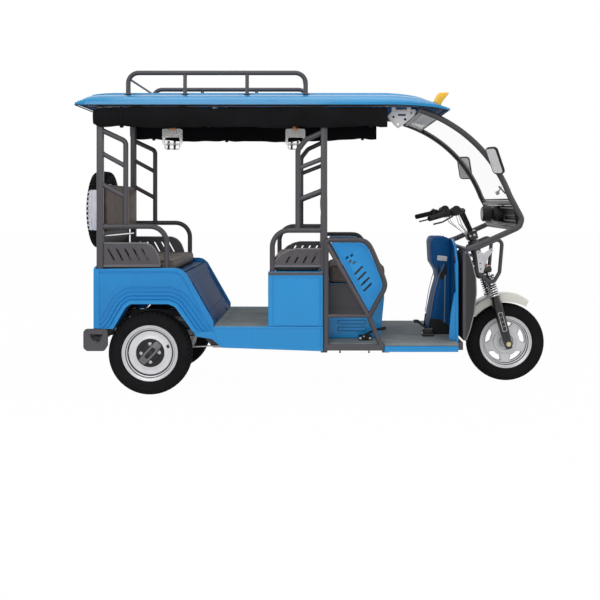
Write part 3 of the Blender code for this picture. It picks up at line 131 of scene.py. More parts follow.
@dataclass(frozen=True)
class Finish:
    """One surface finish as a node-based material."""

    name: str
    slot: str
    colour: tuple[float, float, float]
    roughness: float
    metallic: float = 0.0
    coat: float = 0.0
    grain: Grain = Grain.PAINT
    relief: float = 0.15
    scale: float = 400.0
    mottle: float = 0.06
    patch: float = 3.0
    clear: float = 0.0
    alpha: float = 1.0
    worn: float = 0.0
    shine: float = 0.5

    def material(self) -> bpy.types.Material:
        """Make the material on first use.

        Returns:
            The Blender material of this finish.
        """
        if self.name in bpy.data.materials:
            return bpy.data.materials[self.name]
        made = bpy.data.materials.new(self.name)
        made.use_nodes = True
        shader = made.node_tree.nodes["Principled BSDF"]
        for name, value in (("Metallic", self.metallic), ("Specular IOR Level", self.shine),
                            ("Coat Weight", self.coat), ("Coat Roughness", 0.08),
                            ("Transmission Weight", self.clear), ("Alpha", self.alpha)):
            shader.inputs[name].default_value = value
        self._tint(made.node_tree, shader)
        if self.grain is not Grain.CLEAR:
            self._relief(made.node_tree, shader)
        return made

    def _tint(self, tree: bpy.types.NodeTree, shader: bpy.types.Node) -> None:
        """Vary colour and roughness slowly over the surface, and pale it along worn edges.

        Args:
            tree: Node tree of the material.
            shader: Its surface shader.
        """
        place = add_node(tree, "TexCoord")
        cloud = add_node(tree, "TexNoise", Scale=self.patch, Detail=5.0)
        tree.links.new(place.outputs["Object"], cloud.inputs["Vector"])
        tint = add_node(tree, "ValToRGB")
        low, high = tint.color_ramp.elements
        low.position, high.position = 0.3, 0.7
        low.color = (*(max(c * (1 - self.mottle), 0.0) for c in self.colour), 1.0)
        high.color = (*(min(c * (1 + self.mottle), 1.0) for c in self.colour), 1.0)
        tree.links.new(cloud.outputs["Fac"], tint.inputs["Fac"])
        colour = tint.outputs["Color"]
        if self.worn:
            form = add_node(tree, "NewGeometry")
            edge = add_node(tree, "MapRange", From_Min=0.52, From_Max=0.62, To_Max=self.worn)
            tree.links.new(form.outputs["Pointiness"], edge.inputs["Value"])
            pale = add_node(tree, "MixRGB", Color2=(*(min(c * 2.2 + 0.03, 1.0) for c in self.colour), 1.0))
            tree.links.new(edge.outputs["Result"], pale.inputs["Fac"])
            tree.links.new(colour, pale.inputs["Color1"])
            colour = pale.outputs["Color"]
        tree.links.new(colour, shader.inputs["Base Color"])
        gloss = add_node(tree, "MapRange", To_Min=max(self.roughness - 0.05, 0.02),
            To_Max=min(self.roughness + 0.05, 1.0))
        tree.links.new(cloud.outputs["Fac"], gloss.inputs["Value"])
        tree.links.new(gloss.outputs["Result"], shader.inputs["Roughness"])

    def _relief(self, tree: bpy.types.NodeTree, shader: bpy.types.Node) -> None:
        """Add the fine relief of the grain.

        Args:
            tree: Node tree of the material.
            shader: Its surface shader.
        """
        place = add_node(tree, "TexCoord")
        if self.grain is Grain.WEAVE:
            height = self._weave(tree, place)
        elif self.grain is Grain.HIDE:
            cells = add_node(tree, "TexVoronoi", Scale=self.scale)
            tree.links.new(place.outputs["Object"], cells.inputs["Vector"])
            height = cells.outputs["Distance"]
        else:
            noise = add_node(tree, "TexNoise", Scale=self.scale, Detail=3.0)
            tree.links.new(place.outputs["Object"], noise.inputs["Vector"])
            height = noise.outputs["Fac"]
        bump = add_node(tree, "Bump", Strength=self.relief, Distance=0.001)
        tree.links.new(height, bump.inputs["Height"])
        tree.links.new(bump.outputs["Normal"], shader.inputs["Normal"])

    def _weave(self, tree: bpy.types.NodeTree, place: bpy.types.Node) -> bpy.types.NodeSocket:
        """Cross two wave patterns into a weave.

        Args:
            tree: Node tree of the material.
            place: Texture coordinates of the material.

        Returns:
            The height of the weave.
        """
        waves = []
        for direction in ("X", "Z"):
            wave = add_node(tree, "TexWave", Scale=self.scale, Distortion=0.6)
            wave.bands_direction = direction
            tree.links.new(place.outputs["Object"], wave.inputs["Vector"])
            waves.append(wave)
        both = add_node(tree, "Math")
        both.operation = "MULTIPLY"
        for wave, socket in zip(waves, both.inputs):
            tree.links.new(wave.outputs["Fac"], socket)
        return both.outputs["Value"]


BLUE = Finish("blue_gloss_paint", "body_blue", (0.01, 0.235, 0.6), 0.26, 0.0, 0.25, relief=0.02, scale=90.0,
    mottle=0.06, worn=0.25, shine=0.25)
ROOF_BLUE = Finish("blue_roof_gelcoat", "body_blue", (0.004, 0.245, 0.53), 0.24, 0.0, 0.35, relief=0.02,
    scale=90.0, mottle=0.08, shine=0.3)
# darker copy of the blue paint: painted shade for inner faces, undersides and recesses
BLUE_SHADE = Finish("blue_paint_painted_shade", "body_blue", (0.004, 0.075, 0.23), 0.55, relief=0.03, scale=90.0,
    mottle=0.1, shine=0.12)
GREY = Finish("dark_grey_powder_coat", "frame_grey", (0.058, 0.054, 0.061), 0.45, 0.1, 0.15, Grain.POWDER,
    0.15, 900.0, 0.1, worn=0.35, shine=0.25)
FORK_BLACK = Finish("black_gloss_enamel", "fork_black", (0.012, 0.012, 0.013), 0.28, 0.2, 0.4, relief=0.03,
    scale=200.0, worn=0.2, shine=0.35)
CHROME = Finish("bright_chrome_plate", "fork_black", (0.72, 0.72, 0.74), 0.12, 1.0, relief=0.02,
    scale=300.0, mottle=0.03)
SILVER = Finish("silver_wheel_paint", "rim_silver", (0.62, 0.62, 0.64), 0.36, 0.35, 0.2, relief=0.05,
    scale=500.0, mottle=0.05, patch=9.0)
PALE = Finish("pale_wheel_disc", "rim_silver", (0.76, 0.76, 0.79), 0.45, 0.15, 0.1, relief=0.1, scale=260.0,
    mottle=0.06, patch=16.0)
DARK = Finish("dark_wheel_hub", "rim_silver", (0.022, 0.022, 0.024), 0.42, 0.1, 0.1, relief=0.12,
    scale=500.0, mottle=0.15, shine=0.2)
HUB_PLATE = Finish("dull_grey_hub_plate", "rim_silver", (0.17, 0.17, 0.18), 0.45, 0.3, relief=0.1,
    scale=500.0, mottle=0.15)
CREAM = Finish("cream_white_paint", "fender_cream", (0.78, 0.77, 0.7), 0.32, 0.0, 0.4, relief=0.03,
    scale=200.0)
TYRE = Finish("tyre_rubber_black", "tyre_rubber", (0.01, 0.01, 0.011), 0.8, grain=Grain.RUBBER, relief=0.25,
    scale=700.0, mottle=0.25, patch=14.0, shine=0.1)
WRAP = Finish("pale_wrapping_band", "tyre_rubber", (0.78, 0.76, 0.84), 0.4, grain=Grain.RUBBER, relief=0.2,
    scale=60.0, mottle=0.08, patch=20.0, shine=0.3)
MAT = Finish("grey_green_floor_mat", "floor_mat", (0.215, 0.24, 0.245), 0.75, grain=Grain.RUBBER,
    relief=0.35, scale=500.0, mottle=0.22, patch=7.0)
PLASTIC = Finish("black_moulded_plastic", "black_plastic", (0.012, 0.012, 0.013), 0.45, grain=Grain.MOULDED,
    relief=0.12, scale=1200.0, mottle=0.15, shine=0.18)
SMOKED = Finish("smoked_grey_plastic", "black_plastic", (0.085, 0.085, 0.095), 0.25, coat=0.3,
    grain=Grain.MOULDED, relief=0.05, scale=600.0, mottle=0.15, alpha=0.86)
BAND = Finish("grey_trim_band", "black_plastic", (0.24, 0.24, 0.26), 0.35, 0.2, grain=Grain.MOULDED,
    relief=0.08, scale=800.0)
STEEL = Finish("bare_zinc_steel", "black_plastic", (0.52, 0.53, 0.55), 0.3, 0.9, relief=0.08, scale=350.0,
    mottle=0.1, patch=30.0)
# pale, nearly matt face: the white surroundings painted on as the mirror's reflection
MIRROR = Finish("mirror_glass", "black_plastic", (0.93, 0.94, 0.95), 0.2, 0.1, 0.5, grain=Grain.CLEAR,
    mottle=0.02)
# lighter grey painted as the highlight along the panels' rolled and folded edges
GREY_HIGHLIGHT = Finish("grey_painted_highlight", "frame_grey", (0.135, 0.13, 0.142), 0.4, 0.2, 0.2, Grain.POWDER, 0.15,
    900.0, 0.12)
ZINC = Finish("yellow_zinc_plate", "fork_black", (0.62, 0.58, 0.3), 0.32, 0.8, relief=0.06, scale=400.0)
LINER = Finish("light_grey_liner", "frame_grey", (0.6, 0.6, 0.62), 0.5, grain=Grain.MOULDED, relief=0.1,
    scale=500.0, mottle=0.08, patch=12.0)
TAUPE = Finish("taupe_seat_covering", "seat_vinyl", (0.135, 0.105, 0.085), 0.55, grain=Grain.HIDE,
    relief=0.35, scale=450.0, mottle=0.16, patch=10.0, shine=0.2)
BROWN = Finish("brown_seat_covering", "seat_vinyl", (0.095, 0.055, 0.04), 0.52, grain=Grain.HIDE,
    relief=0.35, scale=450.0, mottle=0.18, patch=10.0, shine=0.2)
CURTAIN = Finish("black_coated_cloth", "curtain_cloth", (0.007, 0.007, 0.008), 0.7, grain=Grain.WEAVE,
    relief=0.25, scale=500.0, mottle=0.3, patch=6.0, shine=0.06)
SCREEN = Finish("clear_front_screen", "screen_clear", (0.97, 0.99, 1.0), 0.04, grain=Grain.CLEAR,
    mottle=0.01, alpha=0.05)
HAZE = Finish("hazy_screen_top", "screen_clear", (0.95, 0.96, 0.97), 0.6, grain=Grain.CLEAR, mottle=0.12,
    patch=14.0, alpha=0.55)
LENS = Finish("clear_lamp_lens", "lamp_lens", (0.92, 0.95, 0.95), 0.08, clear=0.9, grain=Grain.CLEAR,
    mottle=0.01)
AMBER = Finish("amber_lamp_plastic", "amber_lens", (0.95, 0.52, 0.02), 0.25, coat=0.4, grain=Grain.MOULDED,
    relief=0.05, scale=250.0)
RED = Finish("red_lamp_plastic", "amber_lens", (0.45, 0.015, 0.012), 0.22, coat=0.5, grain=Grain.MOULDED,
    relief=0.05, scale=250.0)
ORANGE = Finish("orange_belt_webbing", "strap_orange", (0.72, 0.22, 0.03), 0.65, grain=Grain.WEAVE,
    relief=0.3, scale=700.0)
CLEAR_GRIP = Finish("clear_hand_grip", "strap_orange", (0.8, 0.8, 0.8), 0.15, clear=0.7, grain=Grain.CLEAR,
    mottle=0.02, alpha=0.7)


def inset(outline: Outline, by: float, closed: bool = True) -> list[Vector]:
    """Move a 2-D path sideways with mitred corners.

    Args:
        outline: Path points; a closed one counter-clockwise for an inward move.
        by: Distance to the left of the direction of travel.
        closed: Whether the path closes on itself.

    Returns:
        The moved points.
    """
    spots = [Vector(p[:2]) for p in outline]
    count, moved = len(spots), []
    for i, spot in enumerate(spots):
        before = spots[i - 1] if closed or i else None
        after = spots[(i + 1) % count] if closed or i < count - 1 else None
        turns = [(b - a).normalized() for a, b in ((before, spot), (spot, after)) if a is not None
            and b is not None]
        left = [Vector((-t.y, t.x)) for t in turns]
        middle = sum(left, Vector((0.0, 0.0))).normalized()
        moved.append(spot + middle * by / max(middle.dot(left[0]), 0.35))
    return moved


def anticlockwise(outline: Outline) -> list[Vector]:
    """Turn a closed 2-D path counter-clockwise.

    Args:
        outline: Points of the path.

    Returns:
        The points in counter-clockwise order.
    """
    spots = [Vector(p[:2]) for p in outline]
    area = sum(a.x * b.y - b.x * a.y for a, b in zip(spots, spots[1:] + spots[:1]))
    return spots if area > 0 else spots[::-1]


def fillet(path: Sequence[Point], radius: float, steps: int = 6, closed: bool = False) -> list[Vector]:
    """Round the corners of a path.

    Args:
        path: Points of the path, all of the same dimension.
        radius: Radius of each corner, cut down where the runs are short.
        steps: Segments of each corner.
        closed: Whether the path closes on itself.

    Returns:
        The points of the rounded path.
    """
    spots = [Vector(p) for p in path]
    count, made = len(spots), []
    for i, spot in enumerate(spots):
        if not closed and i in (0, count - 1):
            made.append(spot)
            continue
        back, ahead = spots[i - 1] - spot, spots[(i + 1) % count] - spot
        half = back.angle(ahead) / 2
        if half > math.radians(88.5) or half < 0.02:
            made.append(spot)
            continue
        cut = min(radius / math.tan(half), back.length * 0.48, ahead.length * 0.48)
        size = cut * math.tan(half)
        centre = spot + (back.normalized() + ahead.normalized()).normalized() * size / math.sin(half)
        first = spot + back.normalized() * cut - centre
        last = spot + ahead.normalized() * cut - centre
        sweep = first.angle(last)
        for step in range(steps + 1):
            share = step / steps
            made.append(centre + (first * math.sin((1 - share) * sweep) + last * math.sin(share * sweep))
                / math.sin(sweep))
    return made


def about(middle: float, half: float) -> tuple[float, float]:
    """Return the two ends of a span."""
    return middle - half, middle + half


def oblong(x: Point, z: Point) -> list[tuple[float, float]]:
    """Return the corners of a rectangle."""
    return [(x[0], z[0]), (x[1], z[0]), (x[1], z[1]), (x[0], z[1])]


def rounded(x: Point, z: Point, radius: float, steps: int) -> list[Vector]:
    """Return the outline of a rectangle with rounded corners."""
    return fillet(oblong(x, z), radius, steps, True)


def spoke(angle: float, radius: float = 1.0, axial: float = 0.0) -> Vector:
    """Return a point by its angle and distance round the Z axis."""
    return Vector((radius * math.cos(angle), radius * math.sin(angle), axial))


def arc(centre: Point, radius: float, first: float, last: float, steps: int) -> list[Vector]:
    """Return 2-D points of an arc between two angles in degrees."""
    turns = [math.radians(first + (last - first) * i / steps) for i in range(steps + 1)]
    return [Vector(centre) + spoke(turn, radius).to_2d() for turn in turns]


def inside(spot: Vector, loop: Sequence[Vector]) -> bool:
    """Tell whether a 2-D spot lies inside a closed loop.

    Args:
        spot: The spot.
        loop: Points of the loop.

    Returns:
        True when the spot lies inside.
    """
    crossings = False
    for a, b in zip(loop, list(loop[1:]) + [loop[0]]):
        if (a.y > spot.y) != (b.y > spot.y):
            if spot.x < (b.x - a.x) * (spot.y - a.y) / (b.y - a.y) + a.x:
                crossings = not crossings
    return crossings


def fill(loops: Sequence[Outline], lines: Sequence[Outline] = ()) -> tuple[list[Vector],
        list[tuple[int, ...]]]:
    """Triangulate the area inside the first loop and outside the other loops.

    Args:
        loops: The outer loop, then the holes.
        lines: Open paths that the triangles follow.

    Returns:
        The points, and the corner numbers of each triangle.
    """
    spots: list[Vector] = []
    edges: list[tuple[int, int]] = []
    loops = [[Vector(p[:2]) for p in loop] for loop in loops]
    for number, path in enumerate([*loops, *[[Vector(p[:2]) for p in line] for line in lines]]):
        first = len(spots)
        spots += path
        edges += [(first + i, first + i + 1) for i in range(len(path) - 1)]
        if number < len(loops):
            edges.append((len(spots) - 1, first))
    made = delaunay_2d_cdt(spots, edges, [], 0, 1e-6)
    points = [Vector(p) for p in made[0]]
    kept = []
    for corners in made[2]:
        middle = sum((points[c] for c in corners), Vector((0.0, 0.0))) / 3
        if inside(middle, loops[0]) and not any(inside(middle, hole) for hole in loops[1:]):
            kept.append(tuple(corners))
    return points, kept


def away(spot: Vector, path: Sequence[Vector]) -> float:
    """Measure how far a 2-D spot lies from a path.

    Args:
        spot: The spot.
        path: Points of the open path.

    Returns:
        The shortest distance.
    """
    best = 1e9
    for a, b in zip(path, path[1:]):
        run = b - a
        share = min(max((spot - a).dot(run) / max(run.length_squared, 1e-12), 0.0), 1.0)
        best = min(best, (spot - a - run * share).length)
    return best


def between(table: Sequence[tuple[float, float]], at: float) -> float:
    """Read a table on straight lines between its rows.

    Args:
        table: (place, value) pairs, by place.
        at: The place.

    Returns:
        The value at the place.
    """
    for (x0, y0), (x1, y1) in zip(table, table[1:]):
        if at <= x1:
            return y0 + (y1 - y0) * max(at - x0, 0.0) / (x1 - x0)
    return table[-1][1]


@dataclass
class Mould:
    """Mesh under construction, with a finish number for each face."""

    corners: list[Vector] = field(default_factory=list)
    faces: list[tuple[int, ...]] = field(default_factory=list)
    tones: list[int] = field(default_factory=list)
    tone: int = 0

    def put(self, points: Sequence[Point]) -> list[int]:
        """Add points.

        Args:
            points: The points.

        Returns:
            Their numbers in the mould.
        """
        first = len(self.corners)
        self.corners += [Vector(p) for p in points]
        return list(range(first, len(self.corners)))

    def face(self, corners: Sequence[int]) -> None:
        """Add one face in the current finish."""
        self.faces.append(tuple(corners))
        self.tones.append(self.tone)

    def loft(self, sections: Sequence[Sequence[Point]], around: bool = True, caps: bool = True,
            ring: bool = False) -> None:
        """Join sections of equal point counts with faces.

        Args:
            sections: The sections in order.
            around: Whether each section closes on itself.
            caps: Whether the first and last section get a face.
            ring: Whether the last section joins the first.
        """
        rows = [self.put(section) for section in sections]
        for low, high in zip(rows, rows[1:] + (rows[:1] if ring else [])):
            count = len(low)
            for i in range(count if around else count - 1):
                j = (i + 1) % count
                self.face((low[i], low[j], high[j], high[i]))
        if caps and around and not ring:
            self.face(rows[0][::-1])
            self.face(rows[-1])

    def tube(self, path: Sequence[Point], radius: float | Sequence[float], sides: int = 16,
            ring: bool = False) -> None:
        """Sweep a round section along a path.

        Args:
            path: Points of the path.
            radius: One radius, or one for each point.
            sides: Sides of the section.
            ring: Whether the path closes on itself.
        """
        spots = [Vector(p) for p in path]
        count = len(spots)
        sizes = radius if isinstance(radius, Sequence) else [radius] * count
        runs = []
        for i in range(count):
            ahead = spots[(i + 1) % count] if ring or i < count - 1 else spots[i]
            back = spots[i - 1] if ring or i else spots[i]
            runs.append((ahead - back).normalized())
        across = Vector((0, 1, 0)) if abs(runs[0].y) < 0.7 else Vector((1, 0, 0))
        sections = []
        for spot, run, size in zip(spots, runs, sizes):
            across = (across - run * across.dot(run)).normalized()
            up = run.cross(across)
            sections.append([spot + across * size * math.cos(turn) + up * size * math.sin(turn)
                for turn in (2 * math.pi * (k + 0.5) / sides for k in range(sides))])
        self.loft(sections, ring=ring)

    def rod(self, start: Point, end: Point, radius: float, sides: int = 16) -> None:
        """Add a round bar with small chamfers.

        Args:
            start: Centre of one end.
            end: Centre of the other end.
            radius: Radius of the bar.
            sides: Sides of its section.
        """
        first, last = Vector(start), Vector(end)
        along = (last - first).normalized()
        edge = min(radius * 0.15, 0.0012)
        self.tube([first, first + along * edge, last - along * edge, last],
            [radius - edge, radius, radius, radius - edge], sides)

    def turn(self, profile: Sequence[Point], centre: Point = (0, 0, 0), axis: Point = (0, 0, 1),
            sides: int = 64, tones: Sequence[int] = ()) -> None:
        """Turn a closed (axial, radial) profile about an axis.

        Args:
            profile: Points of the closed profile.
            centre: Point on the axis that is axial zero.
            axis: Direction of the axis.
            sides: Segments around the axis.
            tones: Finish number of each side of the profile, where they differ.
        """
        along = Vector(axis).normalized()
        across = Vector((0, 0, 1)) if abs(along.z) < 0.7 else Vector((1, 0, 0))
        up = along.cross(across).normalized()
        across = up.cross(along)
        rows = []
        for k in range(sides):
            angle = 2 * math.pi * k / sides
            spoke = across * math.cos(angle) + up * math.sin(angle)
            rows.append(self.put([Vector(centre) + along * a + spoke * r for a, r in profile]))
        count, kept = len(profile), self.tone
        for low, high in zip(rows, rows[1:] + rows[:1]):
            for i in range(count):
                j = (i + 1) % count
                self.tone = tones[i] if tones else kept
                self.face((low[i], low[j], high[j], high[i]))
        self.tone = kept

    def slab(self, outline: Outline, low: float, high: float, along: str = "Y", edge: float = 0.0012,
            holes: Sequence[Outline] = ()) -> None:
        """Add a flat plate with chamfered edges.

        Args:
            outline: The plate's outline in the two other axes.
            low: One face of the plate along the axis.
            high: The other face.
            along: Name of the axis across the plate.
            edge: Size of the chamfer.
            holes: Outlines of the holes; a plate with holes has none of the chamfers.
        """
        low, high = min(low, high), max(low, high)
        place = PLACES[along]
        around = anticlockwise(outline)
        if holes:
            self.sheet([around, *[anticlockwise(h) for h in holes]], lambda p: low, lambda p: high, along)
            return
        edge = min(edge, (high - low) / 3)
        tight = inset(around, edge)
        self.loft([[place(p, low) for p in tight], [place(p, low + edge) for p in around],
            [place(p, high - edge) for p in around], [place(p, high) for p in tight]])

    def sheet(self, loops: Sequence[Outline], low: Callable[[Vector], float],
            high: Callable[[Vector], float], along: str = "Y", lines: Sequence[Outline] = ()) -> None:
        """Add a plate whose two faces have heights of their own, such as a pressed panel.

        Args:
            loops: The outline and the holes.
            low: Height of the back at a 2-D point.
            high: Height of the front at a 2-D point.
            along: Name of the axis across the plate.
            lines: Paths that the mesh follows, such as the edges of a pressing.
        """
        place = PLACES[along]
        points, triangles = fill(loops, lines)
        back = self.put([place(p, low(p)) for p in points])
        front = self.put([place(p, high(p)) for p in points])
        seen: dict[tuple[int, int], tuple[int, int]] = {}
        for corners in triangles:
            self.face([back[c] for c in reversed(corners)])
            self.face([front[c] for c in corners])
            for a, b in zip(corners, corners[1:] + corners[:1]):
                key = (min(a, b), max(a, b))
                if key in seen:
                    del seen[key]
                else:
                    seen[key] = (a, b)
        for a, b in seen.values():
            self.face((back[a], back[b], front[b], front[a]))

    def box(self, x: Point, y: Point, z: Point, edge: float = 0.002) -> None:
        """Add a block with chamfered edges."""
        self.slab(oblong(x, z), y[0], y[1], "Y", edge)

    def bead(self, path: Sequence[Vector], y: float, radius: float, sides: int = 8,
            ring: bool = True) -> None:
        """Run a round bead along an (x, z) path at a place across the vehicle."""
        self.tube([(p.x, y, p.y) for p in path], radius, sides, ring)

    def bolt(self, place: Point, normal: Point, radius: float, height: float | None = None) -> None:
        """Add a hexagon head on a washer.

        Args:
            place: Middle of the washer, on the surface.
            normal: Direction away from the surface.
            radius: Radius of the head.
            height: Height of the head, or None for the usual one.
        """
        out, foot = Vector(normal).normalized(), Vector(place)
        tall = radius * 0.7 if height is None else height
        self.tube([foot, foot + out * tall * 0.25], radius * 1.45, 14)
        self.tube([foot + out * tall * 0.2, foot + out * tall * 0.85, foot + out * tall],
            [radius, radius, radius * 0.8], 6)

    def coil(self, start: Point, end: Point, radius: float, wire: float, turns: float,
            sides: int = 8) -> None:
        """Add a spring as a wire wound from start to end.

        Args:
            start: Middle of the first turn.
            end: Middle of the last turn.
            radius: Radius of the turns.
            wire: Radius of the wire.
            turns: Number of turns.
            sides: Sides of the wire's section.
        """
        first, run = Vector(start), Vector(end) - Vector(start)
        across = run.orthogonal().normalized()
        up = run.normalized().cross(across)
        count = int(turns * 20)
        path = []
        for i in range(count + 1):
            angle = 2 * math.pi * turns * i / count
            path.append(first + run * i / count + across * radius * math.cos(angle) + up * radius
                * math.sin(angle))
        self.tube(path, wire, sides)


def cast(name: str, mould: Mould, finishes: Sequence[Finish], body: Body = Body.CHASSIS,
        replaces: Sequence[str] = (), angle: float = 32.0) -> bpy.types.Object:
    """Turn a mould into a piece of the scene.

    Args:
        name: Name of the piece.
        mould: Its mesh.
        finishes: Its finishes, in the order of the mould's finish numbers.
        body: The body that it rides on.
        replaces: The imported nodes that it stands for.
        angle: Faces that meet at more than this, in degrees, keep a sharp edge.

    Returns:
        The new object.
    """
    mesh = bpy.data.meshes.new(name)
    mesh.from_pydata([tuple(c) for c in mould.corners], [], mould.faces)
    for finish in finishes:
        mesh.materials.append(finish.material())
    mesh.polygons.foreach_set("material_index", mould.tones)
    work = bmesh.new()
    work.from_mesh(mesh)
    bmesh.ops.remove_doubles(work, verts=work.verts, dist=1e-6)
    bmesh.ops.dissolve_degenerate(work, edges=work.edges, dist=1e-6)
    bmesh.ops.recalc_face_normals(work, faces=work.faces)
    work.to_mesh(mesh)
    work.free()
    mesh.shade_smooth()
    mesh.set_sharp_from_angle(angle=math.radians(angle))
    piece = bpy.data.objects.new(name, mesh)
    bpy.context.scene.collection.objects.link(piece)
    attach(piece, body.value)
    if replaces:
        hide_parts(*replaces)
    LOG.info("%s: %d faces on %s", name, len(mesh.polygons), body.value)
    return piece


@dataclass(frozen=True)
class Plan:
    """Sizes that several sub-assemblies share, in metres."""

    body_half: float = 0.49
    panel_inner: float = 0.478
    post_y: float = 0.45
    post_outer: float = 0.4698
    inner_half: float = 0.4775
    post_half: float = 0.0192
    tube: float = 0.0155
    rung: float = 0.014
    rear_post_x: float = -1.2645
    centre_post_x: float = 0.0568
    rear_end_x: float = -1.2843
    riser_x: float = -0.5923
    rear_axle_x: float = -0.973
    front_axle_x: float = 1.2195
    rail_front_x: float = 0.89
    tyre_radius: float = 0.2475
    rear_wheel_y: float = 0.41
    skirt_low: float = 0.266
    rail_top: float = 0.301
    post_top: float = 1.7052
    driver_floor: float = 0.313
    passenger_floor: float = 0.41
    seat_deck: float = 0.725
    side_panel_top: float = 0.755
    centre_box_top: float = 0.732
    back_top: float = 0.985
    apron_top: float = 0.84
    roof_rail_z: float = 1.718
    bow_x: tuple[float, ...] = (-1.225, -0.6, 0.0568, 0.435)
    rake: float = math.radians(15.5)
    fork_offset: float = 0.0236
    screen_top: tuple[float, float] = (0.6139, 1.6865)
    screen_foot: tuple[float, float] = (1.152, 1.1811)
    screen_radius: float = 0.836
    spare_at: tuple[float, float, float] = (-1.357, 0.0, 1.092)

    def steer(self, forward: float, across: float, up: float) -> Vector:
        """Place a point of the raked frame of the steering axis.

        Args:
            forward: Distance ahead of the axis.
            across: Distance to the left.
            up: Distance up the axis from the wheel's level.

        Returns:
            The point in the vehicle.
        """
        drop = self.fork_offset * math.tan(self.rake)
        cos, sin = math.cos(self.rake), math.sin(self.rake)
        foot = self.front_axle_x - self.fork_offset * cos - drop * sin
        return Vector((foot + forward * cos - up * sin, across,
            self.tyre_radius + forward * sin + up * cos))

    def screen(self, share: float, inward: float = 0.0) -> Vector:
        """Place a point on the screen's arc.

        Args:
            share: Its share of the way down.
            inward: Distance inside the arc.

        Returns:
            The (x, z) of the point.
        """
        top, foot = Vector(self.screen_top), Vector(self.screen_foot)
        half = (foot - top) / 2
        back = math.sqrt(self.screen_radius ** 2 - half.length_squared)
        centre = top + half + Vector((half.y, -half.x)).normalized() * back
        first, last = (math.atan2(end.y - centre.y, end.x - centre.x) for end in (top, foot))
        turn = first + (last - first) * share
        return centre + (self.screen_radius - inward) * Vector((math.cos(turn), math.sin(turn)))

    def nose(self, x: float, z: float) -> Vector:
        """Return a point by its distance from the foot of the screen."""
        return Vector((self.screen_foot[0] + x, self.screen_foot[1] + z))


PLAN = Plan()


def add_placed(mould: Mould, part: Mould, matrix: Matrix) -> None:
    """Add a mould made in a local frame to another mould.

    Args:
        mould: The mould that grows.
        part: The mould in its local frame.
        matrix: Placement of the local frame.
    """
    first = len(mould.corners)
    mould.corners += [matrix @ corner for corner in part.corners]
    mould.faces += [tuple(first + c for c in face) for face in part.faces]
    mould.tones += part.tones


def frame_matrix(origin: Point, x_axis: Point, y_axis: Point) -> Matrix:
    """Make the placement of a local frame.

    Args:
        origin: Origin of the frame.
        x_axis: Its first axis.
        y_axis: Its second axis.

    Returns:
        The placement.
    """
    x, y = Vector(x_axis).normalized(), Vector(y_axis).normalized()
    matrix = Matrix((x, y, x.cross(y))).transposed().to_4x4()
    matrix.translation = Vector(origin)
    return matrix


@dataclass
class Tyre:
    """Road tyre with shoulder and crown blocks."""

    radius: float = 0.2475
    pitches: int = 50
    sides: int = 100

    def carcass(self) -> list[tuple[float, float]]:
        """List the closed (axial, radial) profile under the tread.

        Returns:
            The points of the profile.
        """
        wall = [(0.0355, 0.1655), (0.0375, 0.1665), (0.0405, 0.17), (0.0425, 0.173), (0.0425, 0.1745),
            (0.045, 0.18), (0.0472, 0.187), (0.048, 0.188), (0.0482, 0.19), (0.049, 0.199), (0.0493, 0.208),
            (0.0491, 0.214), (0.0497, 0.215), (0.0497, 0.2162), (0.0488, 0.2175), (0.0475, 0.224),
            (0.0445, 0.2305), (0.04, 0.2355), (0.033, 0.2385), (0.015, 0.2405)]
        return wall + [(-a, r) for a, r in reversed(wall)]

    def make(self) -> Mould:
        """Make the tyre in the wheel's own frame, with its axis along Z.

        Returns:
            The mould of the tyre.
        """
        mould = Mould()
        mould.turn(self.carcass(), sides=self.sides)
        step = 2 * math.pi / self.pitches
        rows = (  # axial low, axial high, share of the pitch, shift, skew
            (0.003, 0.0165, 0.62, 0.0, 0.1), (-0.0165, -0.003, 0.62, 0.5, -0.1),
            (0.02, 0.033, 0.6, 0.3, 0.16), (-0.033, -0.02, 0.6, 0.8, -0.16))
        for pitch in range(self.pitches):
            for low, high, share, shift, skew in rows:
                self._block(mould, (pitch + shift) * step, step * share, low, high, step * skew)
            for sign, shift in ((1, 0.05), (-1, 0.55)):
                self._shoulder(mould, (pitch + shift) * step, step * 0.58, sign)
        return mould

    def _crown(self, axial: float) -> float:
        """Return the radius of the tread's face at an axial place."""
        return self.radius - 0.0003 - 2.6 * axial * axial

    def _block(self, mould: Mould, start: float, sweep: float, low: float, high: float,
            skew: float) -> None:
        """Add one crown block.

        Args:
            mould: The mould that takes it.
            start: Angle where it starts.
            sweep: Angle that it takes up.
            low: Its inner edge along the axis.
            high: Its outer edge along the axis.
            skew: Angle by which the outer edge runs ahead.
        """
        sections = []
        for depth, edge in ((0.0085, 0.0), (0.001, 0.0), (0.0, 0.001)):
            ring = []
            for axial, turn, side in ((low + edge, start, 1), (high - edge, start + skew, 1),
                                      (high - edge, start + skew + sweep, -1),
                                      (low + edge, start + sweep, -1)):
                angle = turn + side * edge / self.radius
                ring.append(spoke(angle, self._crown(axial) - depth, axial))
            sections.append(ring)
        mould.loft(sections)

    def _shoulder(self, mould: Mould, start: float, sweep: float, sign: int) -> None:
        """Add one block that wraps over the shoulder.

        Args:
            mould: The mould that takes it.
            start: Angle where it starts.
            sweep: Angle that it takes up.
            sign: Sign of the axis on its side.
        """
        face = [(0.036, 0.2436), (0.043, 0.2412), (0.0474, 0.237), (0.0493, 0.231), (0.0499, 0.2235)]
        foot = [(0.048, 0.2225), (0.04, 0.23), (0.034, 0.234)]
        sections = []
        for k in range(3):
            angle = start + sweep * k / 2
            sections.append([spoke(angle, r, sign * a) for a, r in face + foot])
        mould.loft(sections)


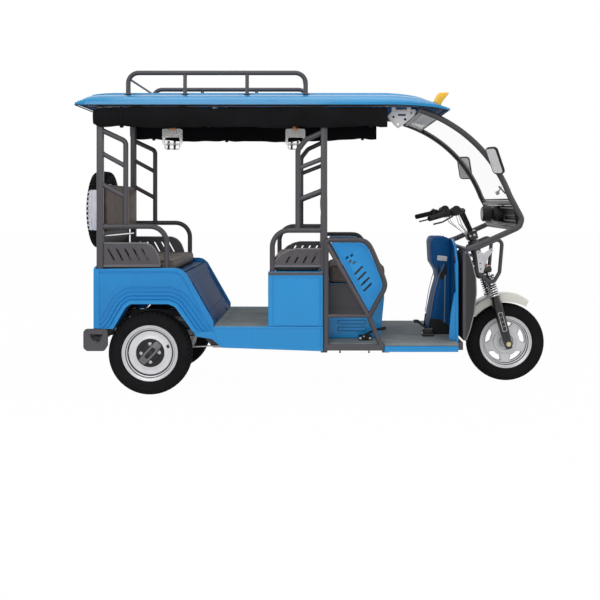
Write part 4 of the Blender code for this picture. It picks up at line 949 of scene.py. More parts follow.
@dataclass
class Wheel:
    """A wheel: tyre, rim and hub, made in its own frame with the axis along Z."""

    name: str
    tyre_node: str
    rim_node: str
    body: Body
    origin: tuple[float, float, float]
    across: tuple[float, float, float]
    axle_bore: float = 0.0135
    nut_circle: float = 0.0515
    bridge_lean: float = 47.0
    sides: int = 96

    def matrix(self) -> Matrix:
        """Return the placement of the wheel's frame; its Z points outward."""
        return frame_matrix(self.origin, self.across, (0, 0, 1))

    def build(self) -> None:
        """Cast the tyre and the rim."""
        tyre = Mould()
        add_placed(tyre, Tyre().make(), self.matrix())
        cast(f"{self.name}_tyre", tyre, [TYRE], self.body, [self.tyre_node])
        rim = Mould()
        add_placed(rim, self.rim(), self.matrix())
        cast(f"{self.name}_rim", rim, [SILVER, PALE, DARK, STEEL, HUB_PLATE], self.body, [self.rim_node])

    def flange(self, mould: Mould) -> None:
        """Turn the rolled flanges, the stepped well and the bead seats.

        Args:
            mould: The mould that takes it.
        """
        near = [(0.0366, 0.1652), (0.0385, 0.1662), (0.04, 0.1655), (0.0402, 0.163), (0.039, 0.1595),
            (0.036, 0.1565), (0.034, 0.152), (0.0335, 0.1465), (0.03, 0.1445), (0.0245, 0.143),
            (0.023, 0.1405), (0.0225, 0.1365), (0.0205, 0.1345), (0.015, 0.1335)]
        tones = [0, 0, 0, 0, 0, 0, 0, 2, 2, 0, 0, 2, 2]
        far = [(-a, r) for a, r in reversed(near)]
        outer = [(-0.0345, 0.1645), (-0.032, 0.156), (-0.018, 0.138), (0.018, 0.138), (0.032, 0.156),
            (0.0345, 0.1645)]
        mould.turn(near + far + outer, sides=self.sides, tones=tones + [2] + tones[::-1] + [0] * 7)

    def nuts(self, mould: Mould, face: float, count: int, size: float, first: float = 90.0) -> None:
        """Set wheel nuts on studs round the hub.

        Args:
            mould: The mould that takes it.
            face: Height of the hub under them.
            count: Number of nuts.
            size: Radius of a nut.
            first: Angle of the first one in degrees.
        """
        for k in range(count):
            angle = math.radians(first + 360 * k / count)
            spot = spoke(angle, self.nut_circle, face)
            mould.bolt(spot, (0, 0, 1), size, size * 1.1)
            mould.rod(spot, (spot[0], spot[1], face + size * 1.9), size * 0.45, 8)

    def rim(self) -> Mould:
        """Make the pressed steel rim of a rear wheel, with its dark hub and its bridge.

        Returns:
            The mould of the rim.
        """
        mould = Mould()
        self.flange(mould)
        disc = [(0.0155, 0.1345), (0.0175, 0.13), (0.0205, 0.128), (0.0215, 0.124), (0.019, 0.115),
            (0.019, 0.099), (0.0225, 0.092), (0.0235, 0.086), (0.0235, 0.0845), (0.0195, 0.0845),
            (0.0195, 0.03), (0.014, 0.03), (0.014, 0.085), (0.01, 0.115), (0.012, 0.1345)]
        mould.turn(disc, sides=self.sides, tones=[2, 0, 0, 1, 1, 1, 1, 0, 2, 2, 2, 2, 1, 1, 2])
        mould.tone = 1
        for k in range(40):  # faint radial pressing marks
            angle = 2 * math.pi * k / 40
            mould.tube([spoke(angle, r, 0.0183) for r in (0.1, 0.114)], 0.0012, 6)
        mould.tone = 2
        self._hub(mould)
        vent = spoke(math.radians(20), 0.113, 0.0186)
        mould.tone = 2
        mould.tube([vent, vent + Vector((0, 0, 0.0014))], 0.0112, 20)
        mould.tone = 1
        mould.turn([(0.0, 0.0112), (0.0024, 0.0112), (0.0024, 0.0132), (0.0, 0.0138)], vent, (0, 0, 1), 20)
        mould.tone = 3
        mould.rod((-0.131, 0.004, 0.016), (-0.124, 0.004, 0.044), 0.0032, 10)
        self.nuts(mould, 0.0215, 4, 0.0082, self.bridge_lean + 45)
        return mould

    def _hub(self, mould: Mould) -> None:
        """Add the dark hub cup, the ribs on it and the slotted bridge across it.

        Args:
            mould: The mould that takes it.
        """
        bore = self.axle_bore
        hub = [(0.0215, 0.083), (0.0215, 0.056), (0.0255, 0.053), (0.029, 0.042), (0.0295, 0.03),
            (0.0295, bore), (-0.028, bore), (-0.028, 0.04), (0.015, 0.042), (0.015, 0.082)]
        mould.turn(hub)
        lean = math.radians(self.bridge_lean)
        along, across = spoke(lean), spoke(lean + math.pi / 2)
        outline = fillet([(-0.078, -0.02), (-0.052, -0.025), (0.052, -0.025), (0.078, -0.02), (0.078, 0.02),
            (0.052, 0.025), (-0.052, 0.025), (-0.078, 0.02)], 0.008, 4, True)
        slot = rounded((-0.04, 0.04), (-0.0135, 0.0135), 0.0132, 6)
        bridge = Mould()
        bridge.tone = 4
        bridge.sheet([outline, slot], lambda p: 0.0225 + 0.0075 * (abs(p.x) < 0.052),
            lambda p: 0.0255 + 0.0075 * (abs(p.x) < 0.052), "Z")
        bridge.tone = 2
        bridge.slab(inset(slot, -0.001), 0.0285, 0.0312, "Z", 0.0008)
        add_placed(mould, bridge, Matrix((along, across, (0, 0, 1))).transposed().to_4x4())
        mould.tone = 2
        for k in range(24):
            angle = 2 * math.pi * (k + 0.5) / 24
            if abs(spoke(angle).dot(across)) > 0.35:
                mould.tube([spoke(angle, r, 0.021) for r in (0.06, 0.079)], 0.0016, 6)
        mould.rod((0, 0, 0.029), (0, 0, 0.034), 0.01, 24)


@dataclass
class FrontWheel(Wheel):
    """Front wheel with five windows in its pressed disc."""

    windows: int = 5
    window_low: float = 0.0935
    window_high: float = 0.1265
    window_half: float = 0.42
    taper: float = 0.55
    skin: float = 0.0015
    first_window: float = 90.0

    def rim(self) -> Mould:
        """Make the front rim with windows, a raised border round each, and the hub.

        Returns:
            The mould of the rim.
        """
        mould = Mould()
        self.flange(mould)
        for face in (1, -1):
            self._disc(mould, face)
        mould.tone = 0
        barrel = [(-0.0295, self.axle_bore), (-0.0295, 0.029), (-0.015, 0.04), (0.015, 0.04),
            (0.0295, 0.029), (0.0295, self.axle_bore)]
        mould.turn(barrel, sides=48)
        for face in (1, -1):
            ring = [(face * 0.01, 0.078), (face * 0.018, 0.074), (face * 0.02, 0.064), (face * 0.02, 0.052),
                (face * 0.013, 0.05), (face * 0.006, 0.078)]
            mould.turn(ring, sides=72, tones=[0, 0, 0, 2, 0, 0])
        mould.tone = 3
        mould.rod((0.128, 0.012, 0.004), (0.12, 0.012, 0.036), 0.0032, 10)
        return mould

    def _window(self, number: int, grow: float) -> list[Vector]:
        """Make one window's outline.

        Args:
            number: Number of the window.
            grow: Distance to grow it on all sides.

        Returns:
            The points of the outline.
        """
        middle = math.radians(self.first_window + 360 * number / self.windows)
        points = []
        for share in (-1, -0.5, 0, 0.5, 1):
            points.append(spoke(middle + share * self.window_half, self.window_high).to_2d())
        for share in (1, 0.5, 0, -0.5, -1):
            points.append(spoke(middle + share * self.window_half * self.taper, self.window_low).to_2d())
        return inset(anticlockwise(fillet(points, 0.012, 4, True)), -grow)

    def _disc(self, mould: Mould, face: int) -> None:
        """Add one skin of the disc with its windows and their rolled borders.

        Args:
            mould: The mould that takes it.
            face: Sign of the axis on its side.
        """
        def rise(spot: Vector) -> float:
            """Return the height of the disc's skin at a spot."""
            return between([(0.03, 0.015), (0.078, 0.011), (0.086, 0.007), (0.13, 0.01), (0.136, 0.015)],
                spot.length)
        circle = arc((0, 0), 0.1345, 0, 360, 90)[:-1]
        core = arc((0, 0), 0.038, 0, 360, 40)[:-1]
        hub = arc((0, 0), 0.078, 0, 360, 72)
        holes = [self._window(n, 0.0) for n in range(self.windows)]
        mould.tone = 1
        mould.sheet([circle, core, *holes], lambda p: face * (rise(p) - self.skin),
            lambda p: face * rise(p), "Z", [hub])
        mould.tone = 0
        for n in range(self.windows):
            edge = self._window(n, 0.0022)
            path = [(p.x, p.y, face * (rise(p) + 0.0006)) for p in edge]
            mould.tube(path, 0.0026, 8, ring=True)


@dataclass
class SpareWheel(Wheel):
    """Spare wheel on the back, with a pale band wrapped round the tyre's near side."""

    band_half: float = math.radians(30.0)

    def build(self) -> None:
        """Cast the wheel, then the wrapping band."""
        super().build()
        profile = [(a, r) for a, r in Tyre().carcass() if r > 0.178]
        outer = []
        for a, r in profile:
            share = max(0.0, 1 - abs(a) / 0.046)
            outer.append((a * 1.06 + math.copysign(0.0012, a), r + 0.002 + 0.0062 * share))
        for a in (0.018, 0.0, -0.018):
            outer.insert(len(outer) // 2, (a, 0.2502))
        outer.sort(key=lambda p: -p[0])
        mould = Mould()
        sections = []
        steps = 36
        for k in range(steps + 1):
            angle = self.band_half * (2 * k / steps - 1)
            wave = 0.0006 * math.sin(k * 2.3)  # slight puckers of the band
            lap = [spoke(angle, r + wave, a) for a, r in outer]
            under = [spoke(angle, r - 0.0012, a * 0.98) for a, r in reversed(outer)]
            sections.append(lap + under)
        mould.loft(sections)
        placed = Mould()
        add_placed(placed, mould, self.matrix())
        cast("spare_band", placed, [WRAP], self.body)


@dataclass
class Roof:
    """Moulded roof shell with long steps, a crease above its rim and a drooping visor."""

    half: float = 0.505
    rim_z: float = 1.712
    rim: float = 0.014
    skin: float = 0.008
    # distance in from the edge, height above the rim
    profile: tuple[tuple[float, float], ...] = ((0.0, 0.0), (0.0, 0.013), (0.0004, 0.016), (0.003, 0.0185),
        (0.0036, 0.02), (0.0036, 0.0215), (0.005, 0.024), (0.01, 0.0305), (0.02, 0.04), (0.035, 0.05),
        (0.048, 0.056), (0.065, 0.0618), (0.11, 0.0702), (0.157, 0.0768), (0.16, 0.078), (0.1635, 0.085),
        (0.166, 0.0872), (0.17, 0.088), (0.23, 0.0922), (0.287, 0.0955), (0.29, 0.0966), (0.294, 0.1035),
        (0.2965, 0.1053), (0.301, 0.106), (0.37, 0.1085), (0.44, 0.1105), (0.505, 0.1115))
    # x, share of the height kept, drop of the rim, half width lost
    stations: tuple[tuple[float, float, float, float], ...] = ((-1.4085, 0.03, 0.0, 0.03),
        (-1.406, 0.12, 0.0, 0.021), (-1.399, 0.24, 0.0, 0.015), (-1.388, 0.4, 0.0, 0.01),
        (-1.374, 0.57, 0.0, 0.006), (-1.356, 0.73, 0.0, 0.003), (-1.335, 0.87, 0.0, 0.001),
        (-1.308, 0.93, 0.0, 0.0), (-1.275, 0.975, 0.0, 0.0), (-1.24, 1.0, 0.0, 0.0), (-0.8, 1.0, 0.0, 0.0),
        (-0.4, 1.0, 0.0, 0.0), (0.0, 1.0, 0.0, 0.0), (0.45, 1.0, 0.0, 0.0), (0.5, 0.965, 0.001, 0.0),
        (0.55, 0.92, 0.003, 0.0), (0.6, 0.855, 0.006, 0.0), (0.64, 0.76, 0.0092, 0.0005),
        (0.675, 0.635, 0.0125, 0.001), (0.7, 0.52, 0.015, 0.002), (0.725, 0.395, 0.0185, 0.004),
        (0.745, 0.28, 0.0225, 0.006), (0.76, 0.18, 0.026, 0.008), (0.776, 0.1, 0.0295, 0.012),
        (0.789, 0.05, 0.0325, 0.017), (0.797, 0.025, 0.034, 0.022))

    def point(self, station: tuple[float, float, float, float], inward: float,
            height: float) -> tuple[float, float]:
        """Place one outer point of a section.

        Args:
            station: Row of the stations.
            inward: Distance in from the edge.
            height: Height above the rim in the full section.

        Returns:
            The (y, z) of the point.
        """
        _, share, drop, lost = station
        rim = min(height, self.rim)
        return ((self.half - inward) * (self.half - lost) / self.half,
            self.rim_z - drop + rim + (height - rim) * share)

    def height(self, x: float, y: float) -> float:
        """Measure the outer face at a place on the roof.

        Args:
            x: X of the place.
            y: Y of the place.

        Returns:
            The height there.
        """
        crown = between(self.profile[1:], self.half - abs(y))
        table = [(s[0], self.point(s, self.half - abs(y), crown)[1]) for s in self.stations]
        return between(table, x)

    def build(self) -> None:
        """Cast the shell and the rubber edging along its rim."""
        mould = Mould()
        sections = []
        for station in self.stations:
            outer = [self.point(station, inward, height) for inward, height in self.profile]
            inner = [(y - self.skin * min(y / 0.3, 1.0), z - self.skin) for y, z in outer[1:]]
            inner.insert(0, (outer[0][0] - self.skin, outer[0][1]))
            loop = outer + [(-y, z) for y, z in reversed(outer[:-1])]
            loop += [(-y, z) for y, z in inner] + [(y, z) for y, z in reversed(inner[:-1])]
            sections.append([(station[0], y, z) for y, z in loop])
        mould.loft(sections)
        # the shell's inner faces and the ribs under its ends take the darker blue: painted shade
        wide = 2 * len(self.profile) - 1
        for number, face in enumerate(mould.faces):
            if all((c % (2 * wide)) >= wide for c in face) and len(face) == 4:
                mould.tones[number] = 1
        mould.tone = 1
        for end in (0, -1):  # cross ribs under the two ends
            x = self.stations[end][0] + (0.012 if end == 0 else -0.014)
            z = self.height(x, 0.0) - 0.014
            mould.tube([(x, y, z) for y in (-0.44, 0.0, 0.44)], 0.005, 10)
        cast("roof", mould, [ROOF_BLUE, BLUE_SHADE], replaces=["roof_shell", "roof_crown", "roof_visor"],
            angle=24)
        edging = Mould()
        for sign in SIGNS:
            path = []
            for station in self.stations[1:-1]:
                y, z = self.point(station, 0.004, 0.0)
                path.append((station[0], sign * y, z + 0.0005))
            edging.tube(path, 0.004, 10)
        first, last = self.stations[1], self.stations[-2]
        for station in (first, last):
            y, z = self.point(station, 0.004, 0.0)
            edging.tube([(station[0], -y, z + 0.0005), (station[0], y, z + 0.0005)], 0.0036, 10)
        cast("roof_edging", edging, [PLASTIC])
        self._frame()

    def _frame(self) -> None:
        """Cast the roof's side rails, its bent bows and their cross tubes."""
        mould = Mould()
        rail = PLAN.roof_rail_z
        for sign in SIGNS:
            y = sign * PLAN.post_y
            mould.rod((-1.34, y, rail), (0.622, y, rail), 0.0125)
        for x in PLAN.bow_x:
            path = []
            for k in range(-8, 9):
                y = PLAN.post_y * k / 8
                z = min(self.height(x, y) - self.skin - 0.0115, rail + 0.105)
                path.append((x, y, max(z, rail)))
            mould.tube(path, 0.01, 12)
            mould.rod((x, -PLAN.post_y, rail), (x, PLAN.post_y, rail), 0.0088, 12)
        cast("roof_tubes", mould, [GREY], replaces=["roof_frame"])


@dataclass
class Rack:
    """Luggage rack of bent tube on the roof."""

    y: float = 0.38
    radius: float = 0.014
    top: float = 1.915
    rear_x: float = -1.115
    front_x: float = -0.053
    bend: float = 0.095
    inner: tuple[float, ...] = (0.32, 0.67)

    def build(self, roof: Roof) -> None:
        """Cast the two rails, the inner posts, the cross rods and the feet.

        Args:
            roof: The roof that carries the rack.
        """
        mould = Mould()
        ends = []
        for sign in SIGNS:
            y = sign * self.y
            seat = roof.height(-0.5, self.y) + 0.0006
            path = [(self.rear_x, y, seat), (self.rear_x, y, self.top), (self.front_x, y, self.top),
                (self.front_x, y, seat)]
            mould.tube(fillet(path, self.bend, 10), self.radius, 20)
            for share in self.inner:
                x = self.rear_x + share * (self.front_x - self.rear_x)
                mould.rod((x, y, seat), (x, y, self.top), self.radius * 0.8)
                ends.append((x, y, seat))
            ends += [(self.rear_x, y, seat), (self.front_x, y, seat)]
        for x in (self.rear_x + 0.012, self.front_x - 0.012):
            mould.rod((x, -self.y, self.top - 0.04), (x, self.y, self.top - 0.04), 0.0068, 12)
        for x, y, z in ends:
            mould.turn([(0.0, 0.001), (0.0, 0.0235), (0.0022, 0.0235), (0.003, 0.022), (0.004, 0.0165),
                (0.0055, 0.0155), (0.006, 0.001)], (x, y, z), (0, 0, 1), 24)
            for sign in (-1, 1):
                mould.bolt((x + sign * 0.019, y, z + 0.002), (0, 0, 1), 0.0032)
        cast("roof_rack_tubes", mould, [GREY], replaces=["roof_rack"])


@dataclass
class Sided:
    """A sub-assembly that stands once on each side of the vehicle."""

    side: Side

    @property
    def sign(self) -> float:
        """Return the sign of Y on this side."""
        return self.side.value


@dataclass
class Ladder(Sided):
    """A post, the tube beside it with slanting rungs, an armrest hoop and its pierced panel."""

    panel_half: float = 0.0035
    slot_half: float = 0.0062
    hoop_bend: float = 0.1

    @property
    def y(self) -> float:
        """Return the Y of the ladder's middle plane."""
        return self.sign * PLAN.post_y

    def frame(self, mould: Mould) -> None:
        """Add the post, the inner tube, the hoop and the welded rungs.

        Args:
            mould: The mould that takes it.
        """
        x0, y, z = self.post_x, self.y, self.hoop_z
        tube_x, hoop_x = x0 + self.tube_run, x0 + self.hoop_run
        self.square_post(mould, x0, self.foot_z, PLAN.post_top)
        slant = [(x0 + x, y, z + up) for x, up in self.slant] + [(tube_x, y, z)]
        mould.tube(fillet(slant, self.slant_bend, 8), PLAN.tube, 18)
        hoop = [(x0, y, z), (hoop_x, y, z), (hoop_x, y, self.hoop_foot)]
        mould.tube(fillet(hoop, self.hoop_bend, 14), PLAN.tube, 20)
        for above in self.rungs:
            low = z + above
            ends = [(x, y, low + up) for x, up in zip((x0, tube_x), self.rung_ends)]
            mould.rod(*(ends if self.tube_run > 0 else reversed(ends)), PLAN.rung)
            for x, up, along, rise in self.welds:
                self.weld(mould, (x0 + x, y, low + up), PLAN.rung, (along, 0, rise))
        out = math.copysign(1.0, self.hoop_run)
        self.weld(mould, (x0 + out * 0.0182, y, z), PLAN.tube, (out, 0, 0))

    def finish(self, mould: Mould, foot: list[tuple[float, float]], top: list[tuple[float, float]],
            slots: Sequence[tuple[float, float, float, float]]) -> None:
        """Add the pierced panel with its rolled top, and cast the ladder.

        Args:
            mould: The mould with the ladder's tubes.
            foot: (x, z) ends of the panel's lower edge.
            top: (x, z) points of its upper edge.
            slots: x, z, length and lean of each slot.
        """
        self.pierced(mould, [*foot, *top], slots, self.flange)
        # rolled top in the lighter grey: painted highlight
        mould.tone = 1
        mould.bead(fillet(top, self.rolled_bend, 4), self.y, self.rolled, 12, False)
        cast(f"{self.name}_ladder_{self.side.label}", mould, [GREY, GREY_HIGHLIGHT],
            replaces=[f"{self.name}_pillar_{self.side.label}"])

    def square_post(self, mould: Mould, x: float, low: float, high: float) -> None:
        """Add an upright of square tube with rounded corners.

        Args:
            mould: The mould that takes it.
            x: X of its middle.
            low: Its lower end.
            high: Its upper end.
        """
        half, y = PLAN.post_half, self.y
        corners = oblong((-half, half), (-half, half))
        ring = fillet(corners, 0.0065, 4, True)
        tight = inset(ring, 0.001)
        mould.loft([[(x + p.x, y + p.y, z) for p in loop] for loop,
            z in ((tight, low), (ring, low + 0.001), (ring, high - 0.001), (tight, high))])

    def weld(self, mould: Mould, spot: Point, radius: float, normal: Point) -> None:
        """Add a small weld bead round the end of a tube."""
        mould.turn([(-0.001, radius - 0.001), (-0.001, radius + 0.0022), (0.0008, radius + 0.0026),
            (0.0022, radius + 0.0012), (0.003, radius - 0.001)], spot, normal, 20)

    def pierced(self, mould: Mould, outline: Outline, slots: Sequence[tuple[float, float, float, float]],
            flange: float) -> None:
        """Add a pierced panel with a rolled upper edge and a folded lower flange.

        Args:
            mould: The mould that takes it.
            outline: (x, z) outline, its first side along the bottom.
            slots: x, z, length and lean of each slot.
            flange: Height of the folded strip along the bottom.
        """
        y, loops = self.y, [anticlockwise(outline)]
        for x, z, length, lean in slots:
            shift = math.tan(lean) * length / 2
            quad = [(x - self.slot_half - shift, z - length / 2),
                (x + self.slot_half - shift, z - length / 2), (x + self.slot_half + shift, z + length / 2),
                (x - self.slot_half + shift, z + length / 2)]
            loops.append(fillet(anticlockwise(quad), 0.005, 4, True))
        mould.sheet(loops, lambda p: y - self.panel_half, lambda p: y + self.panel_half)
        for slot in loops[1:]:
            for face in (-1, 1):
                mould.bead(slot, y + face * self.panel_half, 0.0012, 6)
        low = min(p[1] for p in outline)
        xs = [p[0] for p in outline if p[1] < low + 0.001]
        out = self.sign * (PLAN.post_y + self.panel_half)
        strip = [(min(xs), low), (max(xs), low), (max(xs), low + flange), (min(xs), low + flange)]
        # folded strip in the lighter grey: painted highlight
        mould.tone = 1
        mould.slab(strip, out - self.sign * 0.001, out + self.sign * 0.0045, "Y", 0.0012)
        mould.tone = 0


@dataclass
class RearLadder(Ladder):
    """The ladder at the passenger bench, on the rear post."""

    name: str = "rear"
    post_x: float = PLAN.rear_post_x
    foot_z: float = 0.4203
    tube_run: float = 0.1505
    hoop_run: float = 0.3925
    hoop_foot: float = PLAN.seat_deck + 0.0003
    hoop_z: float = PLAN.seat_deck + 0.273
    slant: tuple[tuple[float, float], ...] = ((0.0, 0.572), (0.1505, 0.502))
    slant_bend: float = 0.035
    rungs: tuple[float, ...] = (0.355, 0.173)
    rung_ends: tuple[float, float] = (0.082, 0.0)
    # x from the post, height above the rung's lower end, and the direction of each weld
    welds: tuple[tuple[float, float, float, float], ...] = ((0.137, 0.0078, -0.878, 0.478),
        (0.0165, 0.073, 0.878, -0.478))
    rolled: float = 0.0062
    rolled_bend: float = 0.05
    flange: float = 0.016

    def build(self) -> None:
        """Cast the ladder, with a weld where the inner tube stands on the hoop."""
        mould = Mould()
        self.frame(mould)
        self.weld(mould, (self.post_x + self.tube_run, self.y, self.hoop_z + 0.0145), PLAN.tube, (0, 0, 1))
        x0, hoop_x, low = self.post_x, self.post_x + self.hoop_run, PLAN.side_panel_top + 0.002
        top = [(hoop_x - x, low + z) for x, z in ((0.038, 0.01), (0.046, 0.05), (0.064, 0.096),
            (0.092, 0.128), (0.128, 0.141))] + [(x0, low + 0.142)]
        slots = [(x0 + 0.0645 + 0.05 * i, low + 0.075, 0.07, -0.5) for i in range(5)]
        self.finish(mould, [(x0, low), (hoop_x - 0.036, low)], top, slots)


@dataclass
class CentreLadder(Ladder):
    """The ladder at the centre bench, on the centre post."""

    name: str = "centre"
    post_x: float = PLAN.centre_post_x
    foot_z: float = PLAN.rail_top
    tube_run: float = -0.1543
    hoop_run: float = -0.3053
    hoop_foot: float = PLAN.centre_box_top + 0.0003
    hoop_z: float = PLAN.centre_box_top + 0.243
    slant: tuple[tuple[float, float], ...] = ((0.0, 0.585), (-0.1068, 0.535), (-0.1543, 0.475))
    slant_bend: float = 0.045
    rungs: tuple[float, ...] = (0.365, 0.18)
    rung_ends: tuple[float, float] = (0.06, 0.0)
    # x from the post, height above the rung's lower end, and the direction of each weld
    welds: tuple[tuple[float, float, float, float], ...] = ((-0.1403, 0.0055, 0.932, 0.363),
        (-0.017, 0.0535, -0.932, -0.363))
    rolled: float = 0.0058
    rolled_bend: float = 0.03
    flange: float = 0.013

    def build(self) -> None:
        """Cast the ladder."""
        mould = Mould()
        self.frame(mould)
        x0, hoop_x, low = self.post_x, self.post_x + self.hoop_run, PLAN.centre_box_top + 0.025
        top = [(x0, low + 0.108)] + [(hoop_x + x, low + z) for x,
            z in ((0.14, 0.108), (0.098, 0.098), (0.056, 0.076), (0.02, 0.04), (0.0, 0.014))]
        slots = [(hoop_x + 0.0985 + 0.05 * i, low + 0.055, 0.06, 0.5) for i in range(4)]
        self.finish(mould, [(hoop_x, low), (x0, low)], top, slots)


@dataclass
class DriverGuard(Sided):
    """Tube loop beside the driver with its slotted blue panel."""

    radius: float = 0.0144
    rear_x: float = 0.0698
    top_z: float = 0.919

    def build(self) -> None:
        """Cast the tubes and the panel."""
        sign = self.sign
        y = sign * (PLAN.post_outer + 0.0145)
        leg_x, brace = self.rear_x + 0.3267, (self.rear_x + 0.2502, 0.468)
        mould = Mould()
        outer = [(self.rear_x, y, 0.2865), (self.rear_x, y, self.top_z), (brace[0], y, brace[1]),
            (leg_x, y, 0.2865)]
        bow = self.bow(y)
        path = fillet([*outer[:2], bow[0]], 0.022, 5)[:-1] + fillet([*bow, *outer[2:]], 0.03, 5)
        mould.tube(path, self.radius, 18)
        mould.tube([(self.rear_x, y, self.top_z - 0.02), (brace[0], y, brace[1])], self.radius * 0.88, 16)
        mould.rod((self.rear_x, y, 0.474), (self.rear_x + 0.2522, y, 0.474), self.radius * 0.75)
        bar = oblong((self.rear_x - 0.0115, leg_x + 0.011), (0.2718, 0.3062))
        mould.slab(bar, sign * (PLAN.post_outer + 0.0005), sign * (PLAN.post_outer + 0.0285), "Y", 0.003)
        for x in (self.rear_x, leg_x):
            spot = (x, sign * (PLAN.post_outer + 0.0285), 0.289)
            mould.bolt(spot, (0, sign, 0), 0.0062, 0.0016)
        for x in (0.15, 0.32):
            mould.rod((x, y, 0.272), (x, y, 0.256), 0.0035, 10)
            mould.tube([(x, y, 0.259), (x, y, 0.264)], 0.0065, 6)
        cast(f"guard_tubes_{self.side.label}", mould, [GREY], replaces=[f"driver_guard_{self.side.label}"])
        self._panel(y, brace)

    def bow(self, y: float) -> list[tuple[float, float, float]]:
        """Make the smooth front curve of the loop, by cutting the corners twice.

        Args:
            y: Y of the loop.

        Returns:
            The points of the curve.
        """
        points = ((0.165, 0.919), (0.215, 0.918), (0.25, 0.896), (0.275, 0.845), (0.304, 0.776),
            (0.334, 0.7), (0.346, 0.66), (0.34, 0.63), (0.328, 0.608))
        curve = [Vector(p) for p in points]
        for _ in range(2):
            cut = [a.lerp(b, t) for a, b in zip(curve, curve[1:]) for t in (0.25, 0.75)]
            curve = [curve[0], *cut, curve[-1]]
        return [(self.rear_x + p.x, y, p.y) for p in curve]

    def _panel(self, y: float, brace: tuple[float, float]) -> None:
        """Cast the pierced panel inside the loop.

        Args:
            y: Middle of the panel's thickness.
            brace: (x, z) where the slanting tube meets the front leg.
        """
        whole = [(self.rear_x, self.top_z), *[(p[0], p[2]) for p in self.bow(y)], brace]
        outline = inset(anticlockwise(whole), 0.015)
        outline = fillet(outline, 0.004, 3, True)
        lean = math.radians(45)
        along = Vector((math.cos(lean), math.sin(lean)))
        across = Vector((-along.y, along.x))
        loops = [outline]
        slots = ((0.1892, 0.741), (0.2086, 0.709), (0.2286, 0.677), (0.2422, 0.643))
        squares = ((0.1217, 0.8155), (0.1487, 0.829), (0.1388, 0.7936), (0.164, 0.7867))
        for places, long, wide, bend in ((slots, 0.035, 0.0068, 0.005), (squares, 0.011, 0.0074, 0.0018)):
            for x, z in places:
                middle = Vector((self.rear_x + x, z))
                quad = [middle + along * long * a + across * wide * b for a,
                    b in ((-1, -1), (1, -1), (1, 1), (-1, 1))]
                loops.append(fillet(quad, bend, 4, True))
        mould = Mould()
        crown = inset(outline, 0.018)
        lip = inset(outline, 0.012)
        sign = self.sign

        def face(spot: Vector) -> float:
            """Return the height of the panel's outer face."""
            return y + sign * (0.0035 + 0.002 * inside(spot, crown))

        def back(spot: Vector) -> float:
            """Return the height of the panel's back."""
            return y - sign * 0.0035
        rings = [[*lip, lip[0]], [*crown, crown[0]]]
        mould.sheet(loops, back, face, "Y", rings)
        for loop in loops[1:]:
            mould.bead(loop, y + sign * 0.0052, 0.0013, 6)
        for x, z in ((0.137, 0.883), (0.28, 0.774), (0.274, 0.59)):
            mould.bolt((self.rear_x + x, y + sign * 0.005, z), (0, sign, 0), 0.0036, 0.0024)
        cast(f"guard_panel_{self.side.label}", mould, [BLUE],
            replaces=[f"driver_guard_panel_{self.side.label}"])


